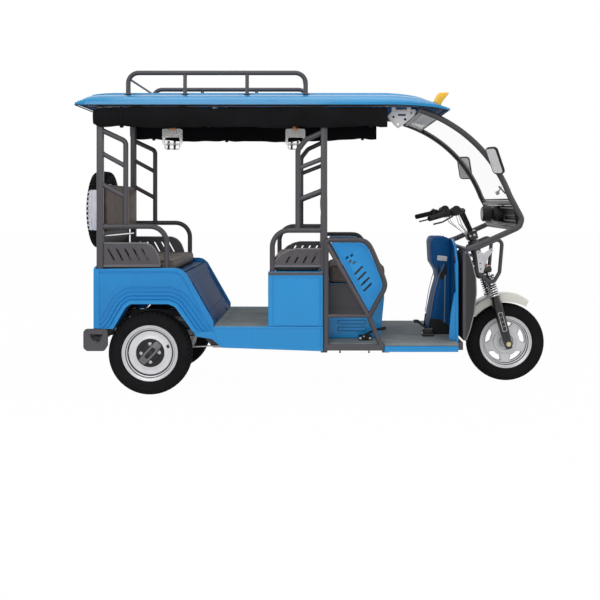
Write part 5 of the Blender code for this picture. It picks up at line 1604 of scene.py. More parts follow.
@dataclass
class SidePanel(Sided):
    """Pressed blue panel over a rear wheel, with a stepped arch."""

    bend: float = 0.03
    groove_rise: float = -0.0026
    # the arch's corners: x from the axle, z
    corners: tuple[tuple[float, float], ...] = ((-0.207, 0.398), (-0.136, 0.521), (-0.107, 0.544),
        (0.116, 0.544), (0.157, 0.527), (0.262, 0.38))
    # distance from the arch's edge, rise of the pressing there
    steps: tuple[tuple[float, float], ...] = ((0.0, 0.008), (0.022, 0.0086), (0.025, 0.0018),
        (0.029, 0.005), (0.043, 0.0064), (0.046, -0.0008), (0.05, 0.0022), (0.066, 0.0034),
        (0.069, -0.0024), (0.073, -0.0004), (0.089, 0.0002), (0.0915, -0.0026), (0.0955, -0.0026),
        (0.099, 0.0))

    def edge(self) -> list[tuple[float, float]]:
        """Return the (x, z) corners of the arch's edge, from the rear forward."""
        return [(PLAN.rear_axle_x + x, z) for x, z in self.corners]

    def outline(self) -> list[Vector]:
        """Make the panel's (x, z) outline, counter-clockwise.

        Returns:
            The points of the outline.
        """
        axle, top, rear, edge = PLAN.rear_axle_x, PLAN.side_panel_top, PLAN.rear_end_x - 0.012, self.edge()
        front = [(PLAN.riser_x, 0.44), (axle + 0.221, 0.722), (axle + 0.188, 0.748), (axle + 0.143, top)]
        ends = [Vector(p) for p in ((rear, edge[0][1]), (PLAN.riser_x, edge[-1][1]), (rear, top - 0.006))]
        return [ends[0], Vector(edge[0]), *fillet(edge, self.bend, 5)[1:], ends[1], Vector(front[0]),
            *fillet(front, self.bend, 5)[1:], ends[2]]

    def arch(self, distance: float) -> list[Vector]:
        """Make the path that lies a distance outside the arch's edge.

        Args:
            distance: The distance.

        Returns:
            The points of the path.
        """
        edge = self.edge()
        first, last = edge[0], edge[-1]
        path = [(first[0] - 0.08, first[1] - 0.0725), *edge, (last[0] + 0.06, last[1] - 0.084)]
        return fillet(inset(path, distance, closed=False), self.bend + distance, 8)

    def rise(self, spot: Vector, edge: list[Vector], rim: list[Vector]) -> float:
        """Measure the pressing at a place.

        Args:
            spot: (x, z) place on the panel.
            edge: The arch's edge.
            rim: The border groove along the top and the front.

        Returns:
            The height of the pressing there.
        """
        height = between(self.steps, away(spot, edge))
        if spot.y < 0.43 and spot.x > PLAN.rear_axle_x:
            height = min(height, 0.0075)
        border = away(spot, rim)
        if border < 0.0052 and away(spot, edge) > 0.086:
            height = self.groove_rise
        return height

    def build(self) -> None:
        """Cast the pressed panel with its corner strip, its beads and the lining of its arch in painted
        shade.
        """
        sign, edge = self.sign, self.arch(0.0)
        axle = PLAN.rear_axle_x
        whole = self.outline()
        rim = [(PLAN.rear_end_x + 0.02, 0.727), (axle + 0.15, 0.7285), (axle + 0.183, 0.716),
            (axle + 0.205, 0.69), (-0.63, 0.43)]
        rim = fillet(rim, 0.025, 5)
        lines = [self.arch(d) for d, _ in self.steps[1:]]
        for offset in (-0.0056, -0.0045, 0.0045, 0.0056):
            lines.append(inset(rim, offset, closed=False))
        lines = [piece for line in lines for piece in self._kept(line, whole)]
        mould = Mould()
        base = PLAN.body_half - 0.0085
        mould.sheet([whole], lambda p: sign * PLAN.panel_inner,
            lambda p: sign * (base + self.rise(p, edge, rim)), "Y", lines)
        wide = [(PLAN.rear_end_x - 0.0118, 0.4), (PLAN.rear_end_x + 0.022, 0.4),
            (PLAN.rear_end_x + 0.022, 0.7485), (PLAN.rear_end_x - 0.0118, 0.748)]
        mould.slab(fillet(wide, 0.006, 4, True), sign * (base - 0.001), sign * (base + 0.0045), "Y", 0.0018)
        crease = fillet([(-1.215, 0.59), (-1.15, 0.648), (-0.825, 0.648), (-0.79, 0.615)], 0.03, 5)
        mould.bead(crease, sign * (base + 0.0002), 0.0019, 6, False)
        nose = fillet([(axle + 0.15, 0.7515), (axle + 0.186, 0.745), (axle + 0.218, 0.719), (-0.596, 0.44),
            (-0.596, 0.383)], 0.03, 5)
        mould.bead(nose, sign * (base + 0.0005), 0.0046, 10, False)
        inner = fillet([(axle - 0.205, 0.395), (axle - 0.134, 0.518), (axle - 0.106, 0.54),
            (axle + 0.115, 0.54), (axle + 0.155, 0.523), (axle + 0.259, 0.381)], 0.03, 5)
        # the arch's lining in the darker blue: painted shade
        mould.tone = 1
        mould.sheet([anticlockwise([*inner, *reversed(inset(inner, 0.004, closed=False))])],
            lambda p: sign * 0.36, lambda p: sign * (PLAN.panel_inner + 0.004))
        cast(f"side_pressing_{self.side.label}", mould, [BLUE, BLUE_SHADE],
            replaces=[f"rear_side_panel_{self.side.label}"], angle=28)

    @staticmethod
    def _kept(line: list[Vector], loop: list[Vector]) -> list[list[Vector]]:
        """Cut a line down to the runs that lie inside a loop.

        Args:
            line: Points of the line.
            loop: Points of the loop.

        Returns:
            The runs of two points or more.
        """
        runs, run = [], []
        fine = []
        for a, b in zip(line, line[1:]):
            fine += [a.lerp(b, k / 4) for k in range(4)]
        fine.append(line[-1])
        for spot in fine:
            if inside(spot, loop) and away(spot, [*loop, loop[0]]) > 0.0008:
                run.append(spot)
            elif run:
                runs.append(run)
                run = []
        if run:
            runs.append(run)
        return [r for r in runs if len(r) > 1]


@dataclass
class Screen:
    """Curved front screen in its tube frame, with the wiper and the tubes under the nose."""

    tube: float = 0.0172
    glass_half: float = 0.4325
    seal: float = 0.0098
    thickness: float = 0.005
    roof_share: float = 0.0286
    wiper_y: float = -0.06
    haze_strips: int = 3
    steps: int = 24

    def curve(self, inward: float = 0.0) -> list[Vector]:
        """Return the (x, z) points of the screen's arc."""
        return [PLAN.screen(k / self.steps, inward) for k in range(self.steps + 1)]

    def build(self) -> None:
        """Cast the frame, the glass with its seals, and the wiper."""
        rail, top = PLAN.rail_front_x, PLAN.apron_top
        cross, low = PLAN.nose(0.024, -0.045), PLAN.nose(0.04, -0.195)
        pad = Vector((rail + 0.014, top + 0.022))
        tail = [PLAN.nose(0.064, -0.121), PLAN.nose(0.072, -0.141), PLAN.nose(0.06, -0.181), low,
            (rail + 0.096, top + 0.053), (rail + 0.01, top + 0.022)]
        path = self.curve() + fillet([PLAN.screen(1.0), *tail], 0.028, 6)[1:]
        mould = Mould()
        for sign in SIGNS:
            y = sign * PLAN.post_y
            mould.tube([(p[0], y, p[1]) for p in path], self.tube, 20)
            head = PLAN.screen(self.roof_share)
            mould.box((head.x - 0.012, head.x + 0.009), about(y, 0.012), (head.y, PLAN.post_top))
            for share in (0.25, 0.5, 0.75):
                spot = PLAN.screen(share)
                mould.bolt((spot.x, y + sign * self.tube, spot.y), (0, sign, 0), 0.0034)
            mould.box((pad.x - 0.0128, pad.x - 0.001), (sign * 0.2, sign * 0.38),
                (top + 0.0003, pad.y + 0.0023), 0.001)
        for spot, radius in ((PLAN.screen(self.roof_share), 0.012), (cross, 0.014), (low, 0.014),
                             (pad, 0.012)):
            mould.rod((spot.x, -PLAN.post_y, spot.y), (spot.x, PLAN.post_y, spot.y), radius)
        cast("screen_frame", mould, [GREY], replaces=["windshield_frame"])
        self._glass()
        self._wiper()

    def _glass(self) -> None:
        """Cast the bent sheet, its hazy upper band and the rubber seals."""
        glass = Mould()
        outer, inner = self.curve()[1:], self.curve(self.thickness)[1:]
        outer.append(PLAN.nose(0.011, -0.024))
        inner.append(PLAN.nose(0.006, -0.024))
        half = self.glass_half
        for number, (a, b, c, d) in enumerate(zip(outer, outer[1:], inner[1:], inner)):
            glass.tone = 1 if number < self.haze_strips else 0
            glass.loft([[(p.x, y, p.y) for p in (a, b, c, d)] for y in (-half, half)], caps=False)
        kept = [i for i in range(len(glass.faces)) if i % 4 in (0, 2)]
        glass.faces = [glass.faces[i] for i in kept]
        glass.tones = [glass.tones[i] for i in kept]
        for y in (-half, half):
            edge = glass.put([(p.x, y, p.y) for p in [*outer, *reversed(inner)]])
            count = len(outer)
            for k in range(count - 1):
                glass.face((edge[k], edge[k + 1], edge[-k - 2], edge[-k - 1]))
        for low, high in ((outer[0], inner[0]), (outer[-1], inner[-1])):
            glass.face(glass.put([(low.x, -half, low.y), (low.x, half, low.y), (high.x, half, high.y),
                (high.x, -half, high.y)]))
        cast("front_screen", glass, [SCREEN, HAZE], replaces=["windshield"], angle=60)
        seal = Mould()
        line = [Vector((a.x + b.x, a.y + b.y)) / 2 for a, b in zip(outer, inner)]
        for y in (-half + 0.002, half - 0.002):
            seal.bead(line, y, self.seal, 12, False)
        for spot in (line[0], line[self.haze_strips], line[-1]):
            seal.tube([(spot.x, -half, spot.y), (spot.x, half, spot.y)], 0.0058, 10)
        cast("screen_seals", seal, [PLASTIC])

    def _wiper(self) -> None:
        """Cast the wiper's motor cap, arm and blade on the lower part of the glass."""
        mould = Mould()
        foot, tip = PLAN.screen(0.985, -0.01), PLAN.screen(0.935, -0.016)
        y = self.wiper_y
        mould.rod((foot.x - 0.004, y, foot.y), (foot.x + 0.014, y, foot.y + 0.01), 0.013)
        mould.tube([(foot.x + 0.008, y, foot.y + 0.006), (tip.x, y - 0.18, tip.y + 0.002)],
            [0.0055, 0.0035], 10)
        blade = [PLAN.screen(share, -0.009) for share in (0.925, 0.945, 0.965, 0.985)]
        mould.tone = 1
        mould.tube([(p.x, y - 0.16 - 0.03 * k, p.y) for k, p in enumerate(blade)], 0.005, 8)
        cast("wiper", mould, [BAND, PLASTIC])


@dataclass
class Nose:
    """Dark nose under the screen: front panel, headlamp and instrument."""

    panel: float = 0.006
    half: float = 0.433
    # height and half width of each dark band
    bands: tuple[tuple[float, float], ...] = ((1.128, 0.003), (1.106, 0.0048), (1.06, 0.003),
        (1.028, 0.0048), (1.008, 0.003))
    lamp_z: float = 1.066
    lamp_radius: float = 0.05

    def build(self) -> None:
        """Cast the panel with its bands, then the lamp and the instrument."""
        foot_x = PLAN.screen_foot[0]
        slope = fillet([PLAN.nose(0.03, -0.0606), PLAN.nose(0.059, -0.1211), PLAN.nose(0.064, -0.1411),
            PLAN.nose(0.049, -0.1806)], 0.02, 5)
        half = self.half
        mould = Mould()
        ring = arc((0, self.lamp_z), self.lamp_radius + 0.0008, 0, 360, 48)[:-1]
        frame = [(-half, slope[-1].y), (half, slope[-1].y), (half, slope[0].y), (-half, slope[0].y)]
        table = sorted((p.y, p.x) for p in slope)
        lines = [[(-half + 0.001, z), (half - 0.001, z)] for z, _ in table[1:-1]]
        mould.sheet([frame, ring], lambda p: between(table, p.y) - self.panel,
            lambda p: between(table, p.y), "X", lines)
        mould.tone = 1
        for z, wide in self.bands:
            x = between(table, z)
            for sign in SIGNS:
                mould.tube([(x + 0.001, sign * 0.075, z), (x + 0.001, sign * 0.42, z)], 0.003, 8)
                mould.tube([(x - self.panel, sign * 0.068, z), (x - self.panel, sign * 0.42, z)], wide, 8)
        mould.turn([(-0.003, 0.0515), (-0.003, 0.06), (0.004, 0.0585), (0.006, 0.055), (0.004, 0.0515)],
            (between(table, self.lamp_z) + 0.002, 0, self.lamp_z), (1, 0, 0), 48)
        cast("nose_front", mould, [PLASTIC, BAND], replaces=["nose_panel"])
        self._lamp(foot_x)

    def _lamp(self, foot_x: float) -> None:
        """Cast the headlamp and the instrument behind it.

        Args:
            foot_x: X of the foot of the screen.
        """
        z, r = self.lamp_z, self.lamp_radius
        rear, face = foot_x - 0.022, foot_x + 0.08
        lamp = Mould()
        lamp.tone = 1
        lamp.turn([(rear, 0.0001), (rear, r * 0.55), (rear + 0.018, r * 0.9), (rear + 0.03, r),
            (face - 0.014, r), (face - 0.014, r * 0.94), (rear + 0.034, r * 0.8), (rear + 0.026, 0.0001)],
            (0, 0, z), (1, 0, 0), 56, [3, 3, 3, 3, 3, 1, 1, 1])
        lamp.tone = 2
        lamp.rod((rear + 0.027, 0, z), (rear + 0.05, 0, z), 0.01)
        lamp.tone = 0
        lens = [(face - 0.0145, 0.0001), (face - 0.0145, r * 0.985), (face - 0.01, r * 0.99),
            (face - 0.006, r * 0.9), (face - 0.0025, r * 0.65), (face - 0.0003, r * 0.35), (face, 0.0001)]
        lamp.turn(lens, (0, 0, z), (1, 0, 0), 56)
        for k in range(-3, 4):
            reach = math.sqrt(max((r * 0.85) ** 2 - (0.012 * k) ** 2, 0.0))
            lamp.tube([(face - 0.0075, 0.012 * k, z - reach), (face - 0.0045, 0.012 * k, z),
                (face - 0.0075, 0.012 * k, z + reach)], 0.0012, 6)
        cast("headlamp_unit", lamp, [LENS, STEEL, AMBER, PLASTIC], replaces=["headlamp"])
        dial = Mould()
        front, back = rear - 0.0003, rear - 0.055
        dial.turn([(front, 0.0001), (front, r + 0.0015), (back + 0.012, r - 0.001),
            (back + 0.002, r - 0.003), (back, r - 0.006), (back + 0.003, r - 0.009),
            (back + 0.004, 0.0001)], (0, 0, z), (1, 0, 0), 48)
        dial.tone = 1
        dial.turn([(back - 0.0005, r - 0.0075), (back - 0.0022, r - 0.009), (back - 0.0005, r - 0.0115),
            (back + 0.002, r - 0.0095)], (0, 0, z), (1, 0, 0), 48)
        dial.tone = 2
        dial.turn([(back + 0.0042, 0.0001), (back + 0.0042, r - 0.0095), (back + 0.0012, r - 0.01),
            (back - 0.0004, r * 0.5), (back - 0.0008, 0.0001)], (0, 0, z), (1, 0, 0), 48)
        dial.tone = 1
        for k in range(9):
            angle = math.radians(210 - 30 * k)
            ray = Vector((0, -math.cos(angle), math.sin(angle)))
            spot = Vector((back - 0.0001, 0, z))
            dial.tube([spot + ray * 0.026, spot + ray * 0.032], 0.0009, 6)
        cast("instrument", dial, [PLASTIC, BAND, SMOKED], replaces=["instrument_dial"])


@dataclass
class LegShield:
    """Blue leg shield with its console, and the dark apron in front of it."""

    front_x: float = 0.8617
    rear_x: float = 0.8497
    half: float = 0.38
    console_half: float = 0.13

    def build(self) -> None:
        """Cast the shield, the console and the apron."""
        mould = Mould()
        low = PLAN.rail_top
        right = [(0.0, low), (self.half, low), (self.half, 0.783), (0.3, 0.88), (0.2, 0.91), (0.0, 0.91)]
        outline = fillet(right, 0.045, 6)
        outline = outline + [Vector((-p.x, p.y)) for p in reversed(outline[1:-1])]
        loop = anticlockwise(outline)
        crown, lip = inset(loop, 0.04), inset(loop, 0.03)
        pad = fillet([(0.165, 0.4), (0.325, 0.4), (0.325, 0.74), (0.165, 0.8)], 0.03, 5, True)
        pads = [pad, [Vector((-p.x, p.y)) for p in reversed(pad)]]
        lines = [[*crown, crown[0]], [*lip, lip[0]]]
        for item in pads:
            lines += [[*item, item[0]], [*inset(anticlockwise(item), 0.008)]]
        tight = [inset(anticlockwise(item), 0.004) for item in pads]

        def rear(spot: Vector) -> float:
            """Return the place of the shield's pressed rear face."""
            deep = 0.004 if inside(spot, crown) else 0.0
            return self.rear_x + deep + (0.004 if any(inside(spot, t) for t in tight) else 0.0)
        # the shield's pressed sheet in the darker blue: painted shade
        mould.tone = 1
        mould.sheet([loop], rear, lambda p: self.front_x, "X", lines)
        mould.tone = 0
        edge = [(p.x, p.y) for p in fillet(right[1:5], 0.045, 6)]
        for sign in SIGNS:
            mould.tube([(self.rear_x + 0.004, sign * y, z) for y, z in edge], 0.0085, 12)
            y0, y1 = sign * (self.half - 0.012), sign * (self.half + 0.0003)
            upper = fillet([(self.rear_x - 0.004, 0.64), (self.front_x, 0.64), (self.front_x, 0.79),
                (self.rear_x - 0.01, 0.77)], 0.008, 4, True)
            lower = fillet([(self.rear_x - 0.046, 0.3135), (self.front_x, 0.3135), (self.front_x, 0.606),
                (self.rear_x - 0.012, 0.598), (self.rear_x - 0.034, 0.47)], 0.012, 4, True)
            mould.slab(upper, y0, y1, "Y", 0.002)
            mould.slab(lower, y0, y1, "Y", 0.002)
        # dark blue strip painted as the shade in the notch between the upper and lower wings
        mould.tone = 1
        for sign in SIGNS:
            mid = oblong((self.rear_x + 0.001, self.front_x), (0.6, 0.646))
            mould.slab(mid, sign * (self.half - 0.01), sign * (self.half - 0.004), "Y")
        cast("leg_shield_panel", mould, [BLUE, BLUE_SHADE], replaces=["leg_shield"])
        self._console()
        self._apron()

    def _console(self) -> None:
        """Cast the console with its pocket latch, its ribs and the kick mat."""
        join, h = self.rear_x + 0.002, self.console_half
        side = [(join, 0.3133), (0.718, 0.3133), (0.73, 0.43), (0.756, 0.56), (0.782, 0.65), (0.772, 0.705),
            (0.738, 0.76), (0.731, 0.89), (0.744, 0.923), (join, 0.923)]
        outline = anticlockwise(fillet(side, 0.035, 5, True))
        mould = Mould()
        rows = []
        for y, shrink in ((-h, 0.012), (0.0035 - h, 0.0035), (0.012 - h, 0.0), (h - 0.012, 0.0),
                          (h - 0.0035, 0.0035), (h, 0.012)):
            rows.append([(min(p.x, join), y, max(p.y, 0.3133)) for p in inset(outline, shrink)])
        # the console's body in the darker blue: painted shade
        mould.tone = 0
        mould.loft(rows)
        for sign in (-1, 1):
            y = sign * (h + 0.0006)
            mould.tone = 1
            curve = [(0.812, 0.752), (0.79, 0.705), (0.77, 0.65), (0.748, 0.56), (0.733, 0.47),
                (0.725, 0.42)]
            mould.tube([(x, y, z) for x, z in fillet(curve, 0.05, 4)], 0.0022, 8)
            mould.tube([(0.819, y, 0.684), (0.817, y, 0.53), (0.814, y, 0.385)], 0.0042, 8)
            mould.tone = 2
            mould.slab(fillet([(0.766, 0.776), (0.83, 0.77), (0.832, 0.802), (0.77, 0.808)], 0.005, 3,
                True), y, y + sign * 0.012, "Y", 0.003)
            # thin black vee painted as the shade in the V-shaped recess below the latch
            mould.tone = 3
            vee_painted_shade = [(0.772, 0.764), (0.798, 0.7), (0.828, 0.762), (0.83, 0.69), (0.798, 0.648),
                (0.778, 0.69)]
            mould.slab(vee_painted_shade, y - sign * 0.001, y + sign * 0.0014, "Y", 0.0006)
            kick = fillet([(0.712, 0.314), (0.848, 0.314), (0.848, 0.36), (0.79, 0.406), (0.724, 0.412)],
                0.01, 4, True)
            mould.slab(kick, y - sign * 0.002, y + sign * 0.004, "Y", 0.002)
        cast("console", mould, [BLUE_SHADE, BAND, LINER, PLASTIC])

    def _apron(self) -> None:
        """Cast the apron's upright plate, its curved flanks and their pale rims."""
        x0, x1, half, top = 0.8903, 0.904, 0.4, PLAN.apron_top
        right = [(half, 0.3135), (half, top), (0.155, top), (0.155, 0.66)]
        plate = anticlockwise(right + [(-y, z) for y, z in reversed(right)])
        mould = Mould()
        mould.slab(fillet(plate, 0.012, 3, True), x0, x1, "X", 0.002)
        flank = [(x0, top), (0.92, 0.835), (0.943, 0.77), (0.963, 0.69), (0.966, 0.6), (0.953, 0.48),
            (0.928, 0.38), (0.905, 0.318), (x0, 0.318)]
        smooth = fillet(flank[1:8], 0.12, 5)
        loop = [Vector(flank[0]), *smooth, Vector(flank[8])]
        for y in SIGNS:
            mould.tone = 1
            mould.slab(loop, y * (half - 0.015), y * (half - 0.001), "Y", 0.002)
            mould.tone = 2
            mould.tube([(p.x, y * (half - 0.004), p.y) for p in [loop[0], *smooth]], 0.0042, 10)
            mould.tone = 0
            rib = [(x0 - 0.001, y * (half - 0.004), z) for z in (0.33, top - 0.004)]
            mould.tube(rib, 0.004, 8)
            for z in (0.36, 0.58, 0.8):
                mould.bolt((x0 + 0.006, y * half, z), (0, y, 0), 0.0034)
        mould.tone = 2
        mould.tube([(0.897, -half + 0.006, top), (0.897, -0.16, top)], 0.0035, 8)
        mould.tube([(0.897, half - 0.006, top), (0.897, 0.16, top)], 0.0035, 8)
        mould.tone = 3
        for y in (-0.185, 0.185):
            mould.slab([(0.905, 0.73), (0.942, 0.735), (0.942, 0.838), (0.905, 0.834)], y - 0.012,
                y + 0.012, "Y", 0.003)
        cast("apron", mould, [GREY, FORK_BLACK, BAND, BLUE], replaces=["front_apron"])


@dataclass
class SteeringHead:
    """Front posts with the head tube between them, and the nose guard's bent bars."""

    post_y: float = 0.12
    post_half: float = 0.014
    guard_y: float = 0.165

    def build(self) -> None:
        """Cast the posts, the struts, the head tube, the guard and the bracket."""
        front, top = PLAN.rail_front_x, 0.8
        mould = Mould()
        bottom, high = PLAN.steer(0, 0, 0.505), PLAN.steer(0, 0, 0.672)
        axis = (high - bottom).normalized()
        mould.turn([(0.0, 0.0226), (0.0, 0.034), (0.01, 0.034), (0.012, 0.032), (0.155, 0.032),
            (0.157, 0.034), (0.167, 0.034), (0.167, 0.0226)], bottom, axis, 32)
        for sign in SIGNS:
            y = sign * self.post_y
            mould.box((front - 0.028, front), about(y, self.post_half), (PLAN.rail_top, top), 0.003)
            for below, up in ((0.1, 0.535), (0.015, 0.632)):
                mould.rod((front - 0.014, y, top - below), PLAN.steer(-0.025, sign * 0.013, up), 0.0138)
        guard = [(0.113, 0.048), (0.282, 0.123), (0.263, -0.096), (0.219, -0.171), (0.119, -0.096)]
        for sign in SIGNS:
            ring = [(front + x, sign * self.guard_y, top + z) for x, z in guard]
            mould.tube(fillet(ring, 0.03, 6, True), 0.012, 14, ring=True)
        mould.rod((front + 0.114, -self.guard_y, top), (front + 0.114, self.guard_y, top), 0.0095)
        cast("head_and_guard", mould, [GREY], replaces=["steering_head"])
        bracket = Mould()
        plate = fillet([(1.022, 0.705), (1.046, 0.7), (1.082, 0.8), (1.112, 0.838), (1.1, 0.856),
            (1.05, 0.822), (1.018, 0.842), (1.006, 0.836)], 0.004, 3, True)
        holes = [arc(spot, 0.0045, 0, 360, 14)[:-1] for spot in ((1.098, 0.843), (1.02, 0.828),
            (1.03, 0.76), (1.034, 0.725))]
        y = -self.guard_y - 0.0125
        bracket.sheet([plate, *holes], lambda p: y - 0.003, lambda p: y)
        bracket.tone = 1
        bracket.rod((1.06, y - 0.004, 0.742), (1.072, y - 0.004, 0.758), 0.0065, 12)
        cast("guard_bracket", bracket, [STEEL, RED])


@dataclass
class Fork:
    """Front fork: cast lower legs, outside springs, stanchions and clamps."""

    leg_y: float = 0.103
    offset: float = 0.0236
    spring: float = 0.028
    wire: float = 0.0045
    turns: float = 9.0

    def build(self) -> None:
        """Cast the fork's black castings and its bright parts."""
        mould = Mould()
        for sign in SIGNS:
            y = sign * self.leg_y
            self._leg(mould, y)
            mould.tone = 1
            mould.coil(PLAN.steer(self.offset, y, 0.304), PLAN.steer(self.offset, y, 0.436), self.spring,
                self.wire, self.turns)
            mould.rod(PLAN.steer(self.offset, y, 0.436), PLAN.steer(self.offset, y, 0.5), 0.0165)
            mould.tone = 0
            mould.rod(PLAN.steer(self.offset, y, 0.3), PLAN.steer(self.offset, y, 0.44), 0.019)
            for up in (0.299, 0.436):
                mould.rod(PLAN.steer(self.offset, y, up - 0.005), PLAN.steer(self.offset, y, up + 0.005),
                    0.0312, 28)
            mould.rod(PLAN.steer(self.offset, y, 0.462), PLAN.steer(self.offset, y, 0.502), 0.025)
        self._clamps(mould)
        cast("fork_assembly", mould, [FORK_BLACK, CHROME, STEEL, ZINC], Body.STEERING, ["fork"])

    def _leg(self, mould: Mould, y: float) -> None:
        """Add one lower leg with its raised frame and its axle nut.

        Args:
            mould: The mould that takes it.
            y: The middle of the leg.
        """
        mould.tone = 0
        # height up the leg, half width fore and aft, half thickness
        rows = ((-0.04, 0.01, 0.012), (-0.034, 0.02, 0.018), (-0.012, 0.0255, 0.022), (0.03, 0.0265, 0.023),
            (0.08, 0.029, 0.0245), (0.22, 0.03, 0.0255), (0.262, 0.029, 0.026), (0.28, 0.025, 0.025),
            (0.302, 0.025, 0.025))
        sections = []
        for up, wide, thick in rows:
            ring = fillet(oblong((-wide, wide), (-thick, thick)), min(wide, thick) * 0.72, 5, True)
            sections.append([PLAN.steer(self.offset + p.x, y + p.y, up) for p in ring])
        mould.loft(sections)
        sign = math.copysign(1.0, y)
        out = y + sign * 0.0246
        mould.tone = 1
        mark = oblong((-0.013, 0.013), (0.08, 0.2))
        path = [PLAN.steer(self.offset + f, out, u) for f, u in fillet(mark, 0.004, 3, True)]
        mould.tube(path, 0.0018, 6, ring=True)
        for u in (0.11, 0.14, 0.17):
            mould.tube([PLAN.steer(self.offset - 0.006, out, u), PLAN.steer(self.offset + 0.006, out, u)],
                0.0014, 6)
        mould.tone = 3
        spot = Vector((PLAN.front_axle_x, y + sign * 0.02, PLAN.tyre_radius))
        mould.bolt(spot, (0, sign, 0), 0.0105, 0.01)
        mould.tone = 2
        mould.rod(spot, spot + Vector((0, sign * 0.014, 0)), 0.0052, 12)

    def _clamps(self, mould: Mould) -> None:
        """Add the lower clamp, the stem, the top block and the axle.

        Args:
            mould: The mould that takes it.
        """
        mould.tone = 0
        for low, high, back, ahead, half in ((0.47, 0.497, -0.028, 0.05, 0.131),
                                             (0.68, 0.735, -0.034, 0.034, 0.058)):
            ring = rounded((back, ahead), (-half, half), 0.018, 5)
            tight = inset(ring, 0.004)
            mould.loft([[PLAN.steer(p.x, p.y, u) for p in loop] for loop,
                u in ((tight, low), (ring, low + 0.003), (ring, high - 0.003), (tight, high))])
        mould.rod(PLAN.steer(0, 0, 0.485), PLAN.steer(0, 0, 0.69), 0.0213, 28)
        for sign in (-1, 1):
            mould.tone = 2
            for up in (0.484, 0.708):
                y = sign * (0.125 if up < 0.6 else 0.058)
                mould.bolt(PLAN.steer(0.01, y, up), (0, sign, 0), 0.0055)
                mould.bolt(PLAN.steer(-0.016, y, up), (0, sign, 0), 0.005)
        mould.tone = 0
        mould.rod((PLAN.front_axle_x, -self.leg_y, PLAN.tyre_radius),
            (PLAN.front_axle_x, self.leg_y, PLAN.tyre_radius), 0.0127, 24)


@dataclass
class Handlebar:
    """Swept handlebar with grips, switch pods, levers and risers."""

    grip: tuple[float, float, float] = (0.693, 0.35, 1.042)
    sweep: tuple[float, float, float] = (0.85, 0.255, 1.082)
    rise: tuple[float, float, float] = (0.938, 0.12, 1.086)
    foot: float = 0.7353

    def build(self) -> None:
        """Cast the bar with everything clamped to it."""
        g, s, r = self.grip, self.sweep, self.rise
        mould = Mould()
        path = [(g[0], -g[1], g[2]), (s[0], -s[1], s[2]), (r[0], -r[1], r[2]), r, s, g]
        mould.tube(fillet(path, 0.05, 6), 0.0113, 16)
        for sign in SIGNS:
            end, bend = Vector((g[0], sign * g[1], g[2])), Vector((s[0], sign * s[1], s[2]))
            high = Vector((r[0], sign * r[1], r[2]))
            back, along = (bend - end).normalized(), (high - bend).normalized()
            self._grip(mould, end, back)
            mould.tone = 0
            hub = bend.lerp(high, 0.12)
            mould.turn([(-0.024, 0.0115), (-0.024, 0.0215), (-0.02, 0.0262), (0.02, 0.0266),
                (0.024, 0.0225), (0.024, 0.0115)], hub, along, 28)
            mould.turn([(0.0, 0.0001), (0.0, 0.028), (0.006, 0.03), (0.016, 0.03), (0.02, 0.027),
                (0.02, 0.0001)], hub + Vector((0.004, -0.022, 0.006)), (0.25, -1.0, 0.15), 28)
            pod = end + back * 0.135
            mould.box((pod.x - 0.019, pod.x + 0.021), about(pod.y, 0.014), (pod.z - 0.02, pod.z + 0.022),
                0.006)
            mould.rod(pod + Vector((-0.004, sign * 0.012, 0.016)),
                pod + Vector((-0.004, sign * 0.012, 0.028)), 0.006)
            lever = [pod + Vector((0.018, 0, -0.006)), pod + Vector((0.04, sign * 0.018, -0.012)),
                end + Vector((0.078, sign * 0.01, -0.02)), end + Vector((0.02, sign * 0.02, -0.034))]
            mould.tone = 2
            mould.tube(fillet(lever, 0.02, 5), 0.0052, 10)
            mould.tone = 0
            foot = [PLAN.steer(0, sign * 0.035, self.foot), PLAN.steer(0, sign * 0.035, self.foot + 0.012),
                (r[0], sign * 0.06, r[2])]
            mould.tube(fillet(foot, 0.02, 5), 0.0118, 16)
            mould.turn([(-0.014, 0.0118), (-0.014, 0.018), (0.014, 0.018), (0.014, 0.0118)],
                (r[0], sign * 0.06, r[2]), (0, 1, 0), 20)
            mould.tone = 1
            for shift in (0.0, 0.016):
                top = hub + Vector((0.01 + shift, 0.006 - sign * 0.01, -0.016))
                mould.tube(fillet([top, top + Vector((0.024, -sign * 0.03, -0.06)),
                    PLAN.steer(-0.024, sign * (0.052 - shift), self.foot - 0.02)], 0.03, 5), 0.0028, 8)
        cast("handlebar_assembly", mould, [PLASTIC, CHROME, FORK_BLACK], Body.STEERING, ["handlebar"])

    def _grip(self, mould: Mould, end: Vector, back: Vector) -> None:
        """Add one ribbed grip.

        Args:
            mould: The mould that takes it.
            end: Outer end of the bar.
            back: Direction from the end inwards.
        """
        mould.tone = 0
        profile = [(-0.005, 0.0001), (-0.005, 0.015), (-0.002, 0.0168)]
        for k in range(9):
            at = 0.004 + 0.012 * k
            profile += [(at, 0.0168), (at + 0.002, 0.015), (at + 0.005, 0.015), (at + 0.007, 0.0168)]
        profile += [(0.11, 0.017), (0.112, 0.02), (0.117, 0.02), (0.118, 0.0114)]
        profile.append((0.118, 0.0001))
        mould.turn(profile, end, back, 20)


